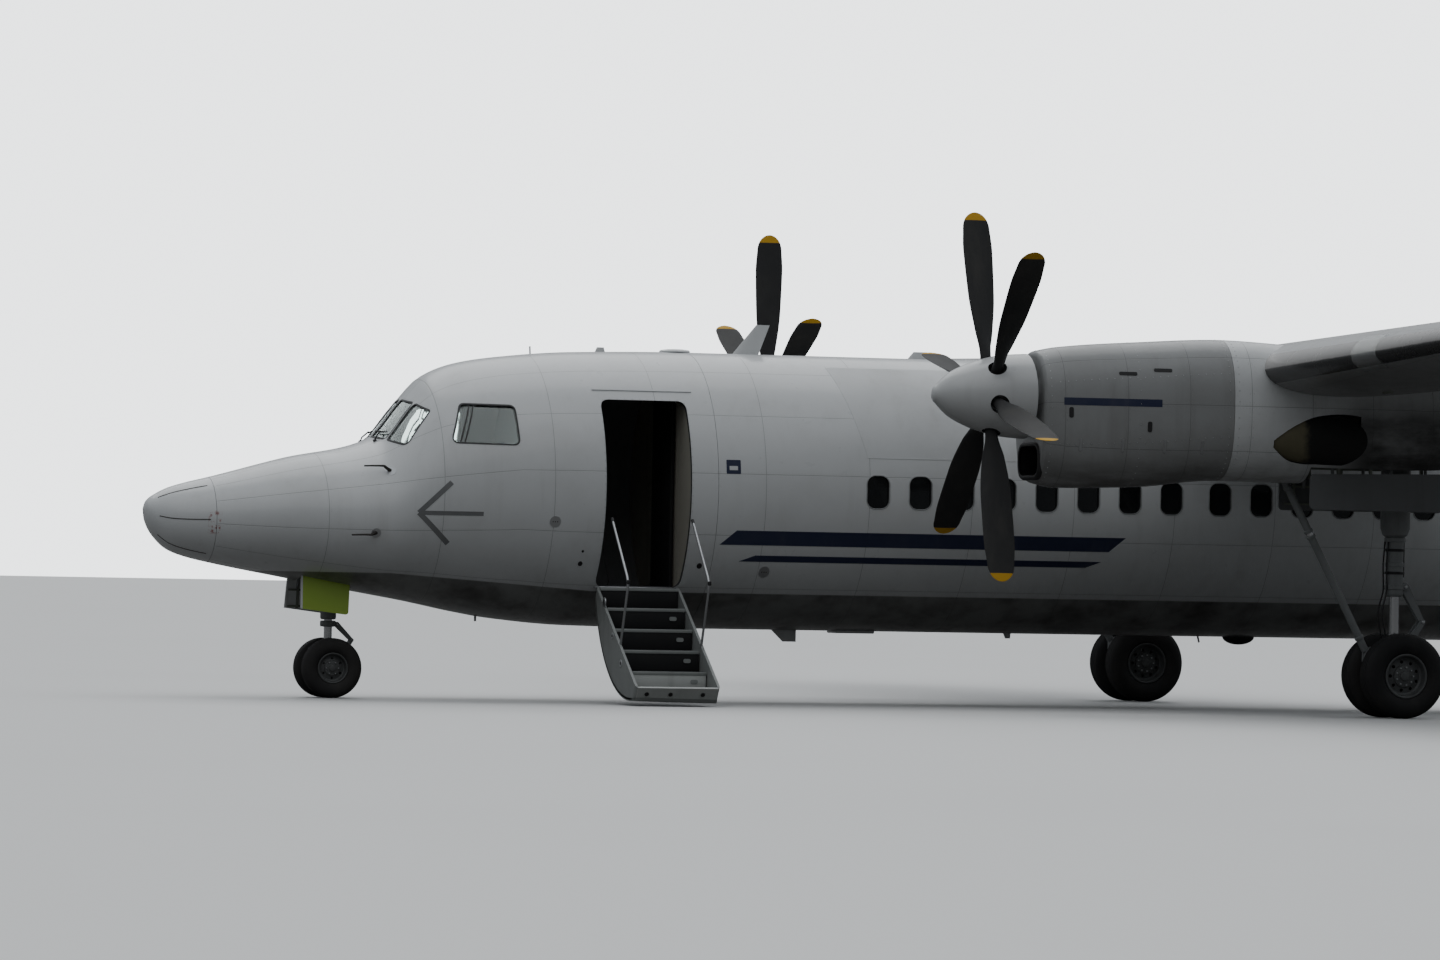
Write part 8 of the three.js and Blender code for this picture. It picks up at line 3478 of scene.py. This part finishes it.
class AIRLINER_OT_kept_solids(bpy.types.Operator):
    """Gives each solid that keeps its own shape its finish"""

    bl_idname = "airliner.kept_solids"
    bl_label = "Kept solids"

    def execute(self, context):
        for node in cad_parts.values():
            slot = node.data.materials[0].name.split(".")[0]
            chosen = finish(NODE_FINISHES[slot])
            for holder in node.material_slots:
                holder.material = chosen
        return {"FINISHED"}


def number_property(label, description, default, **more):
    return FloatProperty(name=label, description=description, default=default, **more)


def colour_property(label, description, default):
    return FloatVectorProperty(name=label, description=description, default=default, subtype="COLOR")


class AirlinerSizes(bpy.types.PropertyGroup):
    """Sizes and light that a user may change"""

    lens: number_property("Lens", "Focal length of the camera on a 36 mm frame", 170.65, unit="CAMERA")
    yaw: number_property("Yaw", "Camera turn towards the tail", 0.290, subtype="ANGLE")
    pitch: number_property("Pitch", "Camera tilt above level", 0.014, subtype="ANGLE")
    roll: number_property("Roll", "Camera roll", 0.018, subtype="ANGLE")
    sky: number_property("Sky", "Strength of the soft light from all round", 0.56)
    backdrop: number_property("Backdrop", "Brightness of the plain sky behind", 3.0)
    overhead: number_property("Overhead", "Strength of the soft light from above", 0.82)
    fill: number_property("Fill", "Strength of the soft light from the camera's side", 0.32)


class AirlinerColours(bpy.types.PropertyGroup):
    """Colours that a user may change"""

    white: colour_property("Body white", "Paint of the fuselage, tail and nacelles", (0.72, 0.735, 0.74))
    belly: colour_property("Belly grey", "Paint below the belly line", (0.31, 0.315, 0.31))
    wing: colour_property("Wing grey", "Paint of the wing and flaps", (0.50, 0.51, 0.515))
    cowl: colour_property("Cowl grey", "Paint of the engine cowls", (0.33, 0.335, 0.335))
    navy: colour_property("Navy", "Dark blue marks on the body", (0.020, 0.028, 0.075))
    blade_tip: colour_property("Blade tip", "Warning colour at the blade tips", (0.75, 0.42, 0.03))
    door_lime: colour_property("Lime", "Paint of the port nose wheel door", (0.34, 0.52, 0.04))


class AIRLINER_PT_panel(bpy.types.Panel):
    """Lists the pieces of the airliner"""

    bl_idname = "AIRLINER_PT_panel"
    bl_label = "Turboprop airliner"
    bl_space_type = "VIEW_3D"
    bl_region_type = "UI"
    bl_category = "Airliner"

    def draw(self, context):
        for operator in OPERATORS:
            self.layout.operator(operator.bl_idname)
        for group in (context.scene.airliner_sizes, context.scene.airliner_colours):
            for label in group.__annotations__:
                self.layout.prop(group, label)


OPERATORS = (
    AIRLINER_OT_stage,
    AIRLINER_OT_kept_solids,
    AIRLINER_OT_forward_fuselage,
    AIRLINER_OT_glazing,
    AIRLINER_OT_cabin,
    AIRLINER_OT_wing_fairing,
    AIRLINER_OT_aerials,
    AIRLINER_OT_wings,
    AIRLINER_OT_tail,
    AIRLINER_OT_propellers,
    AIRLINER_OT_nacelles,
    AIRLINER_OT_main_gear,
    AIRLINER_OT_wheels,
    AIRLINER_OT_nose_gear,
    AIRLINER_OT_stairs,
    AIRLINER_OT_flight_deck,
    AIRLINER_OT_entrance,
    AIRLINER_OT_window_frames,
    AIRLINER_OT_nose_fittings,
    AIRLINER_OT_marks,
    AIRLINER_OT_lights,
    AIRLINER_OT_small_hardware,
)
CLASSES = (AirlinerSizes, AirlinerColours, *OPERATORS, AIRLINER_PT_panel)


def register():
    for cls in CLASSES:
        bpy.utils.register_class(cls)
    bpy.types.Scene.airliner_sizes = PointerProperty(type=AirlinerSizes)
    bpy.types.Scene.airliner_colours = PointerProperty(type=AirlinerColours)


def unregister():
    del bpy.types.Scene.airliner_colours
    del bpy.types.Scene.airliner_sizes
    for cls in reversed(CLASSES):
        bpy.utils.unregister_class(cls)


def main():
    register()
    for operator in OPERATORS:
        category, label = operator.bl_idname.split(".")
        getattr(getattr(bpy.ops, category), label)()


if __name__ == "__main__":
    main()
